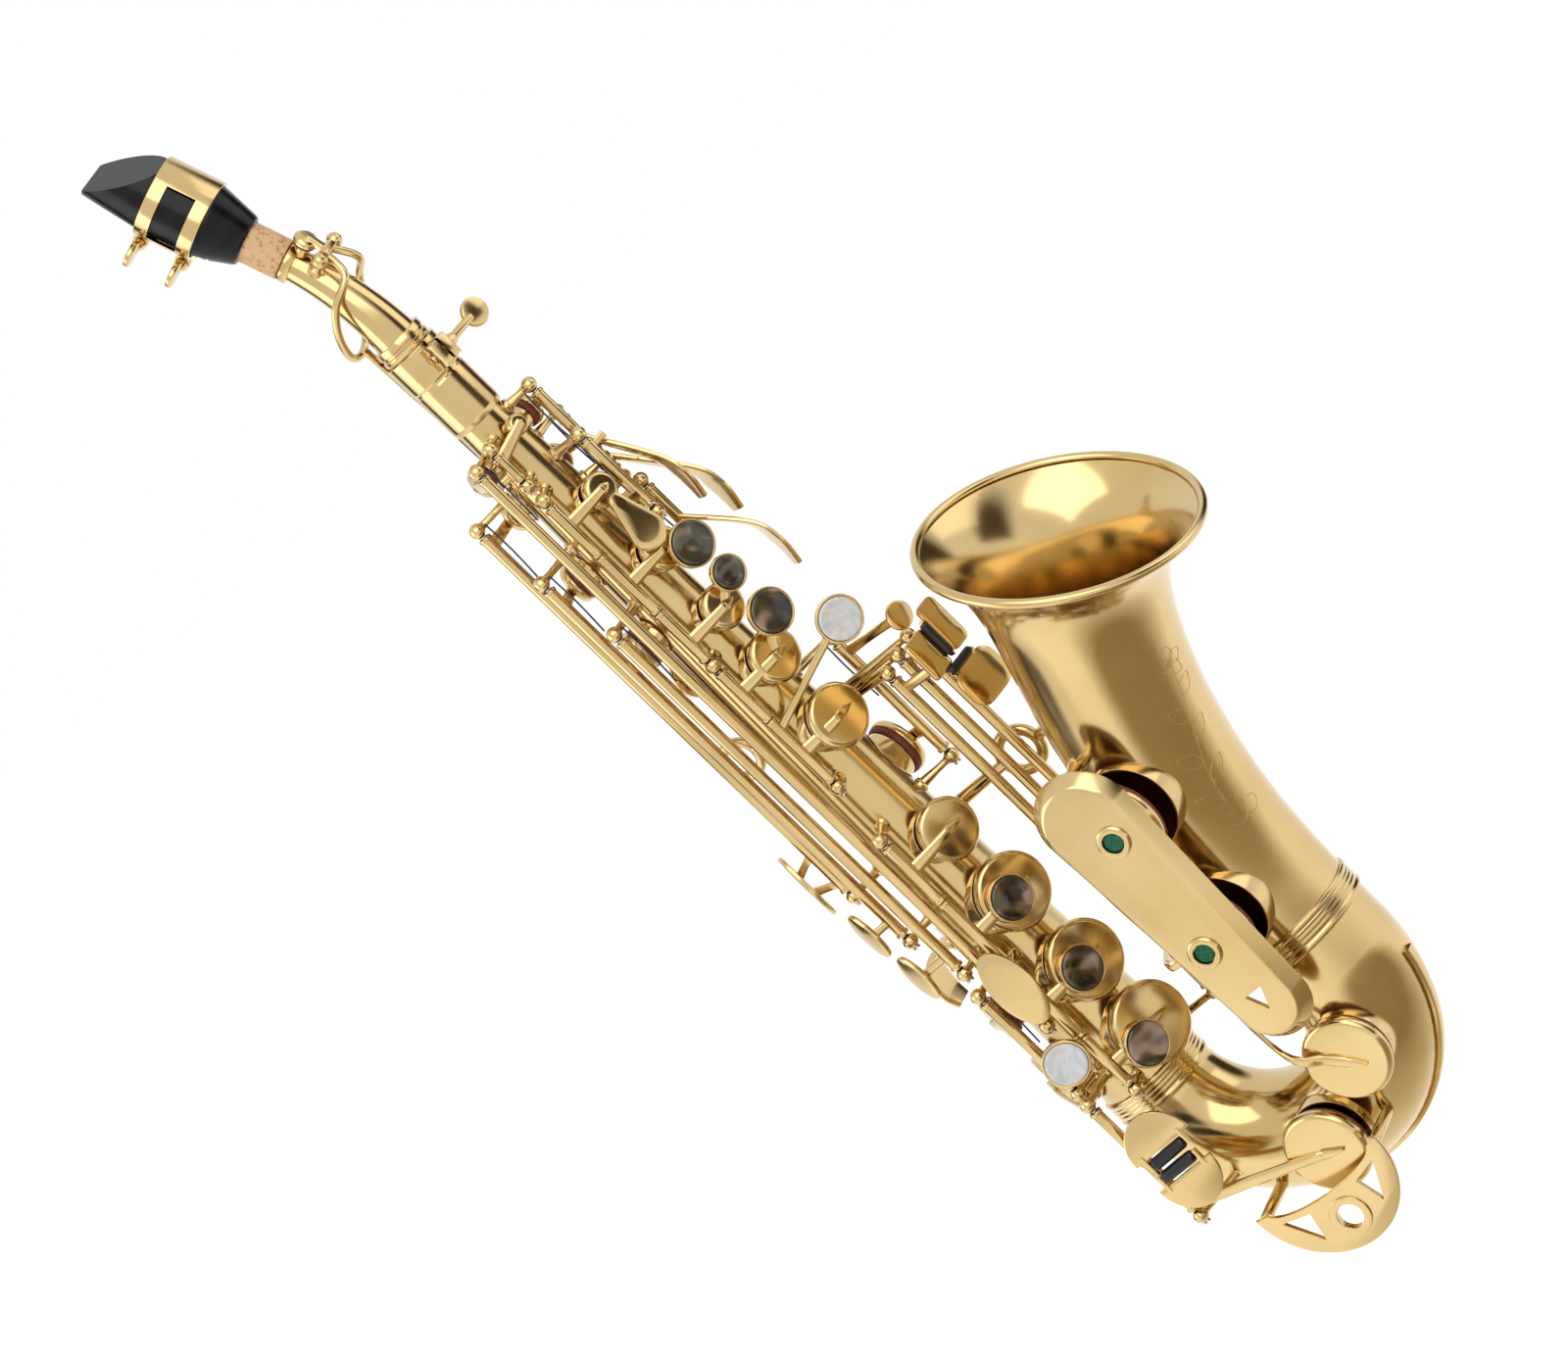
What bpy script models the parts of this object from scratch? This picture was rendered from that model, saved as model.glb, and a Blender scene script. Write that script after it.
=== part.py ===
"""Curved soprano saxophone, built as an assembly of its tubes, keys, guards and mouthpiece.

Lengths in this script are millimetres and are turned to metres when a piece is finished.
The instrument axes: Z runs up the body tube to the neck, -Y is the front where the bell is,
+Y faces the player and -X is the player's right hand side.  A place on the body tube is given
by d, its distance below the top of the neck receiver, by h, its distance from the tube's axis,
and by psi, an angle round the tube in degrees from the player's right towards the front.
The model's origin is the middle of the strap ring.
"""
from math import asin, atan2, cos, exp, pi, radians, sin

import bmesh
import bpy
from mathutils import Matrix, Vector

# Driving dimensions of the tubes
MM = 0.001
GAP = 0.3
WALL = 0.8
RECEIVER_LENGTH = 30.0
RECEIVER_RADIUS = 9.6
BODY_TOP_RADIUS = 7.6
BODY_TAPER = 0.030
BODY_END = 328.0
LEG_SPACING = 79.0
BOW_CENTRE = 330.0
BELL_RING = 313.0
BELL_STRAIGHT = 15.0
BELL_TILT = 35.5
BELL_CURVE_RADIUS = 220.0
BELL_RING_RADIUS = 21.6
BELL_TAPER = 0.045
BELL_RADIUS = 45.0
FLARE_LENGTH = 11.5
RIM_BEAD = 1.6
FERRULE_LENGTH = 9.0
FERRULE_HEIGHT = 1.0

# Driving dimensions of the neck and mouthpiece
NECK_BEND = 22.0
NECK_BEND_RADIUS = 100.0
NECK_STRAIGHT = 6.0
NECK_LENGTH = 47.0
NECK_FOOT_RADIUS = 7.3
NECK_TIP_RADIUS = 5.4
CORK_LENGTH = 26.0
CORK_RADIUS = 6.6
CORK_SHOWN = 13.0
MOUTHPIECE_LENGTH = 52.0
MOUTHPIECE_RADIUS = 12.0
SHANK_RADIUS = 7.8
BARREL_START = 13.0
BARREL_END = 33.0
BORE_END = 36.0
TABLE_START = 8.0
VAMP_START = 29.0
TENON_LENGTH = 18.0
NECK_COLLAR = 8.8
NECK_COLLAR_LENGTH = 6.0
CORK_SEAT_RADIUS = 5.0
OCTAVE_HINGE_S = 37.0
OCTAVE_HINGE_UP = 10.5
OCTAVE_CUP_S = 43.5
TENON_RADIUS = 7.4
TABLE_DROP = 7.0
REED_THICK = 2.0
REED_TIP = 0.35
REED_WIDTH = 12.0
LIGATURE_WALL = 0.9
LIGATURE_LENGTH = 19.0
LIGATURE_S = 13.5
LIGATURE_BAND = 4.6
LIGATURE_LUG = 15.4
LIGATURE_STRIP = 4.0
LIGATURE_WINDOW = 10.8
LIGATURE_SCREW = 1.2
LUG_SPREAD = 3.2
LUG_HALF = 1.3
SCREW_HEAD_THICK = 2.0
CLAMP_REACH = 7.5
CLAMP_Y = 13.2
CLAMP_D = 5.8
CLAMP_TURN = -25.0
CLAMP_HALF = 3.6
CLAMP_SCREW = 1.5
CLAMP_HEAD = 18.0

# Driving dimensions of the key work
CHIMNEY = 2.2
CHIMNEY_WALL = 0.7
PAD = 2.0
CUP_HEIGHT = 3.2
CUP_SHOULDER = 1.4
CUP_OVERLAP = 1.9
ROD_RADIUS = 1.9
POST_RADIUS = 2.6
STEM_RADIUS = 1.4
STEM_FOOT = 1.8
ARM_WIDTH = 3.4
ARM_THICK = 1.7
TOUCH_THICK = 1.6
PEARL_RADIUS = 6.6
PEARL_THICK = 1.8
PEARL_RIM = 0.8
DISH_DEPTH = 2.4
DISH_ARM = 1.6
STACK_LIFT = 2.6
FOOT_STEP = 0.05
SIDE_LIFT = 2.4
BELL_LIFT = 3.6
BELL_KEYS_PSI = -5.0
ROLLER_RADIUS = 2.1
ROLLER_LENGTH = 13.0
ROLLER_BEVEL = 0.8
EAR_THICK = 1.6
TABLE_FACE = 13.0
TABLE_H = 38.0
TABLE_MIDDLE = 340.0
OCTAVE_THUMB_TRAVEL = 8.0
NECK_OCTAVE_TRAVEL = 5.0
FRONT_F_TRAVEL = 8.0
FRONT_F_TAIL_D = 59.5
LEAF_THICK = 1.8
LEAF_ROOT = 7.0

# Facets round each kind of piece
TUBE_SIDES = 14
BELL_SIDES = 22
NECK_SIDES = 12
CUP_SIDES = 10
SMALL_SIDES = 8
SMALL_RADIUS = 8.0
HOLE_SIDES = 8
ROD_SIDES = 6
POST_SIDES = 5

# Rod lines of the key work, as an angle round the tube and a distance from its axis
UPPER_STACK_ROD = (23.0, 21.5)
LOWER_STACK_ROD = (20.0, 28.0)
UPPER_STACK_POSTS = (59.0, 132.0, 186.0)
LOWER_STACK_POSTS = (206.0, 264.0, 318.0)
C_TUBE_END = 83.0
B_TUBE_END = 108.0
A_TUBE_END = 156.0
FS_TUBE_END = 233.0
E_TUBE_END = 294.0
UPPER_STACK_FACE = 70.0
LOWER_STACK_FACE = 61.0

# Pearls: where each dish stands, as angle, distance from the axis and distance below the receiver
UPPER_PEARL_FACE = 66.0
BIS_PEARL_RADIUS = 4.9
UPPER_PEARLS = {
    "b_key": ((82.0, 23.5, 101.0), PEARL_RADIUS),
    "bis_key": ((86.0, 23.6, 115.5), BIS_PEARL_RADIUS),
    "a_key": ((85.0, 25.0, 133.0), PEARL_RADIUS),
}
G_PEARL = (95.0, 38.0, 149.0)
G_PEARL_FACE = 55.0
G_ARM_D = 161.0
TRILL_PEARL = (9.0, 37.0, 295.0)
TRILL_PEARL_FACE = 20.0
LOWER_PEARLS = {"f_key": (53.0, 0.0), "e_key": (52.0, 0.0), "d_key": (46.0, 2.5)}

STRAP_RING_D = 165.0
STRAP_RING_RADIUS = 6.2
STRAP_RING_WIRE = 1.7
STRAP_RING_STAND = 11.0

# Guards, brace and thumb fittings
GUARD_PSI = 3.0
GUARD_STAND = 42.0
GUARD_THICK = 1.8
GUARD_TOP = 237.0
GUARD_BOTTOM = 317.0
GUARD_MIDDLE_Y = 76.0
GUARD_TOP_RADIUS = 13.0
GUARD_END_RADIUS = 9.5
GUARD_SKIRT = 3.0
GUARD_SLOPE = 3.6
GUARD_FOOT = 2.1
FELT_RADIUS = 3.2
FELT_STAND = 2.2
BOW_GUARD_X = 37.0
BOW_GUARD_D = 372.0
BOW_SAG = 0.5
BRACE_BELOW_GS = 13.0
BRACE_PSI = 140.0
BRACE_BELL_PSI = 202.0
BRACE_FOOT = 2.4
BRACE_ARM = 1.9
BRACE_RING = 7.0
THUMB_HOOK_D = 252.0
THUMB_REST_D = 134.0

# Sizes that follow from these
BELL_LENGTH = BELL_STRAIGHT + BELL_CURVE_RADIUS * radians(BELL_TILT)
SHANK_S = NECK_LENGTH + CORK_SHOWN
END = POST_RADIUS + GAP

# Colour, roughness and metallic value of each material
GOLD = ((0.80, 0.60, 0.27), 0.16, 1.0)
EBONITE = ((0.012, 0.012, 0.013), 0.25, 0.0)
CORK = ((0.62, 0.36, 0.17), 0.8, 0.0)
CANE = ((0.78, 0.62, 0.34), 0.55, 0.0)
DARK_SHELL = ((0.08, 0.075, 0.085), 0.2, 0.0)
WHITE_SHELL = ((0.80, 0.80, 0.79), 0.2, 0.0)
FELT = ((0.02, 0.16, 0.08), 0.9, 0.0)
ROLLER_BLACK = ((0.01, 0.01, 0.01), 0.3, 0.0)

for old in list(bpy.data.objects):
    bpy.data.objects.remove(old, do_unlink=True)

X_AXIS = Vector((1.0, 0.0, 0.0))
Z_AXIS = Vector((0.0, 0.0, 1.0))


def body_radius(d):
    """Outer radius of the body tube, d below the receiver's top."""
    return BODY_TOP_RADIUS + BODY_TAPER * d


def around(psi):
    """Unit vector that points out of the body tube at the angle psi."""
    a = radians(psi)
    return Vector((-cos(a), -sin(a), 0.0))


def at(psi, h, d):
    """A point by its angle, its distance from the tube's axis and its distance below the receiver."""
    return around(psi) * h - Z_AXIS * d


STRAP_RING_CENTRE = at(-90.0, body_radius(STRAP_RING_D) + STRAP_RING_STAND, STRAP_RING_D)

root = bpy.data.objects.new("soprano_saxophone", None)
root.location = -STRAP_RING_CENTRE * MM
bpy.context.scene.collection.objects.link(root)


# Shapes: each function returns one closed shell as a bmesh in millimetres
def bridge(bm, lower, upper):
    """Faces between two rings of points, either of which may be a single point."""
    count = max(len(lower), len(upper))
    for k in range(count):
        n = (k + 1) % count
        if len(lower) == 1:
            bm.faces.new((lower[0], upper[n], upper[k]))
        elif len(upper) == 1:
            bm.faces.new((lower[k], lower[n], upper[0]))
        else:
            bm.faces.new((lower[k], lower[n], upper[n], upper[k]))


def outward(bm):
    bmesh.ops.recalc_face_normals(bm, faces=bm.faces)
    return bm


def loft(rings):
    """A shell through rings of points, closed by a flat face at each end."""
    bm = bmesh.new()
    loops = [[bm.verts.new(point) for point in ring] for ring in rings]
    for lower, upper in zip(loops, loops[1:]):
        bridge(bm, lower, upper)
    bm.faces.new(loops[0])
    bm.faces.new(loops[-1])
    return outward(bm)


def lathe(base, axis, profile, sides=16):
    """A turned piece: profile is a list of radius and height along the axis."""
    bm = bmesh.new()
    turn = axis.to_track_quat("Z", "Y")
    rings = []
    for r, h in profile:
        if r == 0.0:
            rings.append([bm.verts.new(base + turn @ Vector((0.0, 0.0, h)))])
            continue
        ring = []
        for k in range(sides):
            a = 2.0 * pi * k / sides
            ring.append(bm.verts.new(base + turn @ Vector((r * cos(a), r * sin(a), h))))
        rings.append(ring)
    for lower, upper in zip(rings, rings[1:]):
        bridge(bm, lower, upper)
    if profile[0][0] > 0.0:
        bridge(bm, rings[-1], rings[0])
    return outward(bm)


def rod(a, b, radius, sides=ROD_SIDES, end_radius=None):
    """A round bar from a to b, which tapers where an end radius is given."""
    end = radius if end_radius is None else end_radius
    length = (b - a).length
    return lathe(a, (b - a).normalized(), [(0.0, 0.0), (radius, 0.0), (end, length), (0.0, length)], sides)


def bar(points, widths, thick, across):
    """A flat bar through the points, as wide as the widths along across and thick the other way."""
    rings = []
    last = len(points) - 1
    for k, p in enumerate(points):
        along = (points[min(k + 1, last)] - points[max(k - 1, 0)]).normalized()
        side = (across - along * across.dot(along)).normalized() * (widths[k] / 2.0)
        lift = side.cross(along).normalized() * (thick / 2.0)
        rings.append([p + side + lift, p - side + lift, p - side - lift, p + side - lift])
    return loft(rings)


def plate(outline, origin, u, v, thick):
    """A flat plate: the outline's points lie along u and v from the origin, thick along u x v."""
    normal = u.cross(v).normalized()
    low = [origin + u * a + v * b for a, b in outline]
    return loft([low, [point + normal * thick for point in low]])


def sweep(stations, sides):
    """A round solid along a path in the Y-Z plane: stations hold a centre, a direction and a radius."""
    angles = [2.0 * pi * k / sides for k in range(sides)]
    rings = []
    for centre, along, radius in stations:
        across = along.cross(X_AXIS)
        rings.append([centre + (X_AXIS * cos(a) + across * sin(a)) * radius for a in angles])
    return loft(rings)


def wire(points, radius):
    """A round wire through the points."""
    angles = [2.0 * pi * k / ROD_SIDES for k in range(ROD_SIDES)]
    rings = []
    last = len(points) - 1
    side = (points[1] - points[0]).orthogonal()
    for k, p in enumerate(points):
        along = (points[min(k + 1, last)] - points[max(k - 1, 0)]).normalized()
        side = (side - along * side.dot(along)).normalized()
        other = along.cross(side)
        rings.append([p + (side * cos(a) + other * sin(a)) * radius for a in angles])
    return loft(rings)


def oval(length, width, steps=SMALL_SIDES):
    """Outline of an oval with its long side along u."""
    points = []
    for k in range(steps):
        a = 2.0 * pi * k / steps
        points.append((length / 2.0 * cos(a), width / 2.0 * sin(a)))
    return points


def lozenge(length, width, corner):
    """Outline of an oblong with cut corners, its long side along u."""
    a = length / 2.0
    b = width / 2.0
    return [(a, b - corner), (a - corner, b), (corner - a, b), (-a, b - corner),
            (-a, corner - b), (corner - a, -b), (a - corner, -b), (a, corner - b)]


def stadium(length, start_radius, end_radius, steps=7):
    """Outline of a plate with two round ends of unlike radius, length apart between their centres."""
    points = []
    for k in range(steps):
        a = -pi / 2.0 + pi * k / (steps - 1)
        points.append((length + end_radius * cos(a), end_radius * sin(a)))
    for k in range(steps):
        a = pi / 2.0 + pi * k / (steps - 1)
        points.append((start_radius * cos(a), start_radius * sin(a)))
    return points


def clear_of(radius, sides=TUBE_SIDES):
    """Inner radius, over the corners, of a faceted ring that clears a round piece of the given radius."""
    return (radius + GAP) / cos(pi / sides)


# Pieces: shells are united and cut, and the result is placed under the root
def shell_object(bm):
    mesh = bpy.data.meshes.new("shell")
    bm.to_mesh(mesh)
    bm.free()
    obj = bpy.data.objects.new("shell", mesh)
    bpy.context.scene.collection.objects.link(obj)
    return obj


def merged(shells):
    bm = bmesh.new()
    for shell in shells:
        mesh = bpy.data.meshes.new("shell")
        shell.to_mesh(mesh)
        shell.free()
        bm.from_mesh(mesh)
        bpy.data.meshes.remove(mesh)
    return shell_object(bm)


def combine(shells, cuts=()):
    """One closed mesh: the first shell united with the others, less the cuts."""
    base = shell_object(shells[0])
    tools = []
    for operation, group in (("UNION", list(shells[1:])), ("DIFFERENCE", list(cuts))):
        if not group:
            continue
        tool = merged(group)
        tools.append(tool)
        modifier = base.modifiers.new(operation.lower(), "BOOLEAN")
        modifier.operation = operation
        modifier.object = tool
        modifier.solver = "EXACT"
        modifier.use_self = True
    graph = bpy.context.evaluated_depsgraph_get()
    mesh = bpy.data.meshes.new_from_object(base.evaluated_get(graph))
    for used in [base] + tools:
        bpy.data.objects.remove(used, do_unlink=True)
    bm = bmesh.new()
    bm.from_mesh(mesh)
    bmesh.ops.remove_doubles(bm, verts=bm.verts, dist=0.002)
    bmesh.ops.dissolve_degenerate(bm, edges=bm.edges, dist=0.002)
    bmesh.ops.dissolve_limit(bm, angle_limit=radians(0.2), verts=bm.verts, edges=bm.edges)
    bm.to_mesh(mesh)
    bm.free()
    return mesh


def finish(name, mesh, look, origin=None, axis=None):
    """Name, place and colour a piece; a moving piece has its origin and its own Z on its joint's axis."""
    colour, roughness, metallic = look
    material = bpy.data.materials.new(name)
    material.use_nodes = True
    shader = material.node_tree.nodes["Principled BSDF"]
    shader.inputs["Base Color"].default_value = (*colour, 1.0)
    shader.inputs["Roughness"].default_value = roughness
    shader.inputs["Metallic"].default_value = metallic
    place = Matrix.Translation((origin if origin else Vector()) * MM)
    if axis:
        place = place @ axis.to_track_quat("Z", "Y").to_matrix().to_4x4()
    mesh.transform(Matrix.Scale(MM, 4))
    mesh.transform(place.inverted())
    mesh.name = name
    mesh.materials.clear()
    mesh.materials.append(material)
    mesh.shade_smooth()
    mesh.set_sharp_from_angle(angle=radians(35.0))
    obj = bpy.data.objects.new(name, mesh)
    obj.matrix_world = place
    obj.parent = root
    bpy.context.scene.collection.objects.link(obj)
    return obj


def fixed(name, shells, look=GOLD, cuts=()):
    return finish(name, combine(shells, cuts), look)


# Tone holes: the chimney that stands on a tube and the place of its cup
class Hole:
    """A tone hole: a point on its tube's axis, the way it faces, its tube's radius and its own radius."""

    def __init__(self, centre, normal, tube_radius, radius):
        self.centre = centre
        self.normal = normal
        self.radius = radius
        self.top = tube_radius + CHIMNEY

    def chimney(self):
        outer = self.radius + CHIMNEY_WALL
        return rod(self.centre, self.centre + self.normal * self.top, outer, HOLE_SIDES)

    def bore(self):
        return rod(self.centre, self.centre + self.normal * (self.top + 2.0), self.radius, HOLE_SIDES)

    def seat(self):
        """The middle of the cup's underside when its pad lies on the chimney."""
        return self.centre + self.normal * (self.top + PAD + GAP)


def body_hole(d, psi, radius):
    return Hole(-Z_AXIS * d, around(psi), body_radius(d), radius)


def bow_station(angle):
    """Centre, direction and radius of the bow, at an angle from 0 at the body to 180 at the bell."""
    a = radians(angle)
    half = LEG_SPACING / 2.0
    centre = Vector((0.0, -half * (1.0 - cos(a)), -BOW_CENTRE - half * sin(a)))
    along = Vector((0.0, -sin(a), -cos(a)))
    start = body_radius(BODY_END)
    return centre, along, start + (BELL_RING_RADIUS - start) * angle / 180.0


def bell_station(travel):
    """Centre, direction and outer radius of the bell, travel along its axis from its ring."""
    centre = Vector((0.0, -LEG_SPACING, -BELL_RING + min(travel, BELL_STRAIGHT)))
    angle = max(travel - BELL_STRAIGHT, 0.0) / BELL_CURVE_RADIUS
    centre.y -= BELL_CURVE_RADIUS * (1.0 - cos(angle))
    centre.z += BELL_CURVE_RADIUS * sin(angle)
    along = Vector((0.0, -sin(angle), cos(angle)))
    left = BELL_LENGTH - travel
    cone = BELL_RING_RADIUS + BELL_TAPER * travel
    flare = (BELL_RADIUS - BELL_RING_RADIUS - BELL_TAPER * BELL_LENGTH) * exp(-left / FLARE_LENGTH)
    return centre, along, cone + flare


def bow_clearance(point):
    """Distance of a point from the bow's outside."""
    half = LEG_SPACING / 2.0
    angle = atan2(-(point.z + BOW_CENTRE), point.y + half) * 180.0 / pi
    centre, along, radius = bow_station(angle % 360.0 if point.z < -BOW_CENTRE else 180.0)
    if point.z > -BOW_CENTRE:
        centre = centre + along * (point.z + BOW_CENTRE)
    return (point - centre).length - radius


def bell_clearance(point):
    """Distance of a point from the bell's outside."""
    rise = point.z + BELL_RING - BELL_STRAIGHT
    turned = atan2(rise, point.y + LEG_SPACING + BELL_CURVE_RADIUS)
    travel = BELL_STRAIGHT + (BELL_CURVE_RADIUS * turned if rise > 0.0 else rise)
    centre, _, radius = bell_station(travel)
    return (point - centre).length - radius


def body_clearance(point):
    """Distance of a point from the body tube's outside."""
    return Vector((point.x, point.y, 0.0)).length - body_radius(-point.z)


def foot_on(clearance, point, out, radius, sag=0.0):
    """Moves a foot's end from a point in a tube along out until the whole foot clears the tube's flats."""
    side = out.orthogonal().normalized()
    other = out.cross(side)
    rim = [(side * cos(pi * k / 4.0) + other * sin(pi * k / 4.0)) * radius for k in range(8)]
    while min(clearance(point + offset) for offset in rim) < GAP - sag:
        point = point + out * FOOT_STEP
    return point


def bow_hole(angle, psi, radius):
    centre, along, tube = bow_station(angle)
    across = along.cross(X_AXIS)
    a = radians(psi)
    return Hole(centre, -X_AXIS * cos(a) + across * sin(a), tube, radius)


def bell_hole(travel, psi, radius):
    centre, along, tube = bell_station(travel)
    across = X_AXIS.cross(along)
    a = radians(psi)
    return Hole(centre, -X_AXIS * cos(a) + across * sin(a), tube, radius)


HOLES = {
    "high_fs_key": body_hole(44.0, -34.0, 3.6),
    "high_e_key": body_hole(60.0, -84.0, 4.2),
    "side_c_key": body_hole(88.0, -68.0, 5.0),
    "side_bb_key": body_hole(116.0, -52.0, 5.6),
    "palm_f_key": body_hole(40.0, 158.0, 3.6),
    "palm_eb_key": body_hole(58.0, 190.0, 4.2),
    "palm_d_key": body_hole(84.0, 178.0, 4.8),
    "body_octave_key": body_hole(38.0, 62.0, 1.6),
    "c_key": body_hole(70.0, UPPER_STACK_FACE, 4.0),
    "b_key": body_hole(96.0, UPPER_STACK_FACE, 5.4),
    "bis_key": body_hole(122.0, UPPER_STACK_FACE, 5.6),
    "a_key": body_hole(144.0, UPPER_STACK_FACE, 7.0),
    "g_key": body_hole(171.0, UPPER_STACK_FACE, 8.6),
    "gs_key": body_hole(196.0, 150.0, 8.2),
    "fs_key": body_hole(220.0, LOWER_STACK_FACE, 8.4),
    "f_key": body_hole(248.0, LOWER_STACK_FACE, 10.8),
    "e_key": body_hole(279.0, LOWER_STACK_FACE, 11.2),
    "d_key": body_hole(307.5, LOWER_STACK_FACE, 11.6),
    "trill_fs_key": body_hole(277.0, -48.0, 6.0),
    "low_eb_key": body_hole(306.0, -52.0, 10.8),
    "low_c_key": bow_hole(98.0, 0.0, 12.6),
    "low_cs_key": bow_hole(150.0, 0.0, 12.6),
    "low_b_key": bell_hole(21.5, BELL_KEYS_PSI, 14.2),
    "low_bb_key": bell_hole(66.0, BELL_KEYS_PSI, 14.8),
}


# Key work: a key is built with its pads closed and then turned to the place where it rests
def cup(base, normal, radius):
    """A key cup: a low dished lid with a rounded shoulder."""
    profile = [(0.0, 0.0), (radius, 0.0), (radius, CUP_HEIGHT * 0.6),
               (radius - CUP_SHOULDER, CUP_HEIGHT), (0.0, CUP_HEIGHT)]
    return lathe(base, normal, profile, SMALL_SIDES if radius < SMALL_RADIUS else CUP_SIDES)


def holder(base, normal, radius):
    """The dish on a key that takes a pearl of the given radius; base is the dish's floor."""
    rim = radius + GAP + PEARL_RIM
    lip = PEARL_THICK * 0.7
    profile = [(0.0, -DISH_DEPTH), (rim * 0.5, -DISH_DEPTH), (rim, -DISH_DEPTH / 3.0), (rim, lip),
               (radius + GAP, lip), (radius + GAP, 0.0), (0.0, 0.0)]
    return lathe(base, normal, profile, SMALL_SIDES)


def pearl(name, base, normal, radius, turn, look):
    """A finger pearl: a disc with a hollow face, seated in its dish."""
    low = GAP
    high = GAP + PEARL_THICK
    profile = [(0.0, low), (radius, low), (radius, high), (radius * 0.6, high - 0.5), (0.0, high - 0.6)]
    mesh = combine([lathe(base, normal, profile, SMALL_SIDES)])
    mesh.transform(turn)
    return finish(name, mesh, look)


def key_turn(hinge, seat, normal, lift):
    """Angle about +Z that raises the cup by lift, as seen from its hinge."""
    rate = Z_AXIS.cross(seat - hinge).dot(normal)
    return lift / rate


def turning(hinge, angle):
    return Matrix.Translation(hinge) @ Matrix.Rotation(angle, 4, "Z") @ Matrix.Translation(-hinge)


def key(name, line, span, lift, stands_open, touches, via=(), arm_d=None):
    """A key: hinge tube, arm, cup and touches.  Its joint's positive turn is the finger's press."""
    hole = HOLES[name]
    psi, h = line
    start, end = span
    hinge = at(psi, h, (start + end) / 2.0)
    seat = hole.seat()
    lid = cup(seat, hole.normal, hole.radius + CUP_OVERLAP)
    foot = hinge.copy()
    foot.z = -min(max(-seat.z if arm_d is None else arm_d, start + 2.0), end - 2.0)
    crown = seat + hole.normal * (CUP_HEIGHT + ARM_THICK * 0.3)
    reach = (crown - (via[-1] if via else foot)).normalized()
    beyond = crown + (reach - hole.normal * reach.dot(hole.normal)) * (hole.radius * 0.55)
    route = [foot] + list(via) + [crown, beyond]
    widths = [ARM_WIDTH] * (len(route) - 1) + [ARM_WIDTH * 0.4]
    hinge_tube = rod(at(psi, h, start), at(psi, h, end), ROD_RADIUS)
    shells = [hinge_tube, lid, bar(route, widths, ARM_THICK, Z_AXIS)]
    angle = key_turn(hinge, seat, hole.normal, lift)
    turn = turning(hinge, angle if stands_open else 0.0)
    mesh = combine(shells + touches)
    mesh.transform(turn)
    press = -angle if stands_open else angle
    obj = finish(name, mesh, GOLD, hinge, Z_AXIS if press > 0.0 else -Z_AXIS)
    obj["travel"] = abs(angle)
    return turn


def body_post(psi, h, d):
    """A ball post on the body tube that holds the end of a key rod."""
    return free_post(at(psi, h, d), at(psi, body_radius(d) - WALL * 0.6, d))


def free_post(top, foot):
    """A turned post from its foot in a tube's wall to the middle of its round head."""
    rise = (top - foot).length
    profile = [(0.0, 0.0), (STEM_FOOT, 0.0), (STEM_RADIUS, rise - POST_RADIUS), (POST_RADIUS, rise),
               (POST_RADIUS * 0.6, rise + POST_RADIUS * 0.8), (0.0, rise + POST_RADIUS * 0.8)]
    return [lathe(foot, (top - foot).normalized(), profile, POST_SIDES)]


def between(first, last):
    """The stretch of a hinge tube between two posts."""
    return first + END, last - END


def touch_plate(centre, normal, along, outline, thick=TOUCH_THICK):
    """A finger plate whose outline runs along and across, its face at the centre."""
    across = normal.cross(along).normalized()
    return plate(outline, centre - normal * thick, along, across, thick)


def link(a, b, width=ARM_WIDTH, thick=ARM_THICK):
    """A straight arm, wide along the tube."""
    return bar([a, b], [width, width], thick, Z_AXIS)


# Rod lines that carry one key each: angle, distance from the tube's axis, and the places of the two posts
SIDE_LINES = {
    "high_fs_key": (6.0, 25.5, 38.0, 285.0),
    "side_bb_key": (-12.0, 25.5, 104.0, 256.0),
    "side_c_key": (-30.0, 25.5, 78.0, 238.0),
    "high_e_key": (-48.0, 25.5, 53.5, 217.0),
    "trill_fs_key": (-14.0, 27.5, 264.0, 308.0),
    "palm_f_key": (118.0, 18.0, 33.5, 66.0),
    "palm_eb_key": (152.0, 20.0, 47.0, 76.0),
    "palm_d_key": (140.0, 21.5, 80.0, 106.0),
    "body_octave_key": (19.0, 17.0, 37.0, 53.0),
    "front_f_key": (96.0, 20.0, 54.0, 88.0),
    "gs_key": (118.0, 27.0, 155.0, 208.0),
    "low_cs_key": (94.8, 36.1, 173.0, 316.0),
    "low_b_key": (98.2, 41.9, 171.0, 304.0),
    "low_bb_key": (100.8, 47.9, 169.0, 256.0),
    "octave_thumb_key": (-105.0, 17.0, 84.0, 122.0),
}
BOW_KEYS = ("low_c_key", "low_cs_key")
BELL_KEYS = ("low_b_key", "low_bb_key")
LEANING_POSTS = {"low_cs_key": 140.0, "low_b_key": 120.0, "low_bb_key": 120.0}
STACK_POSTS = [(UPPER_STACK_ROD, d) for d in UPPER_STACK_POSTS]
STACK_POSTS += [(LOWER_STACK_ROD, d) for d in LOWER_STACK_POSTS]
TABLE_LINE = (-5.0, 33.0, 311.0, 361.0)
LOW_B_BENDS = ((12.6, -42.5), (15.2, -50.0))


def line_of(name):
    psi, h, first, last = SIDE_LINES[name]
    return (psi, h), between(first, last)


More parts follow.
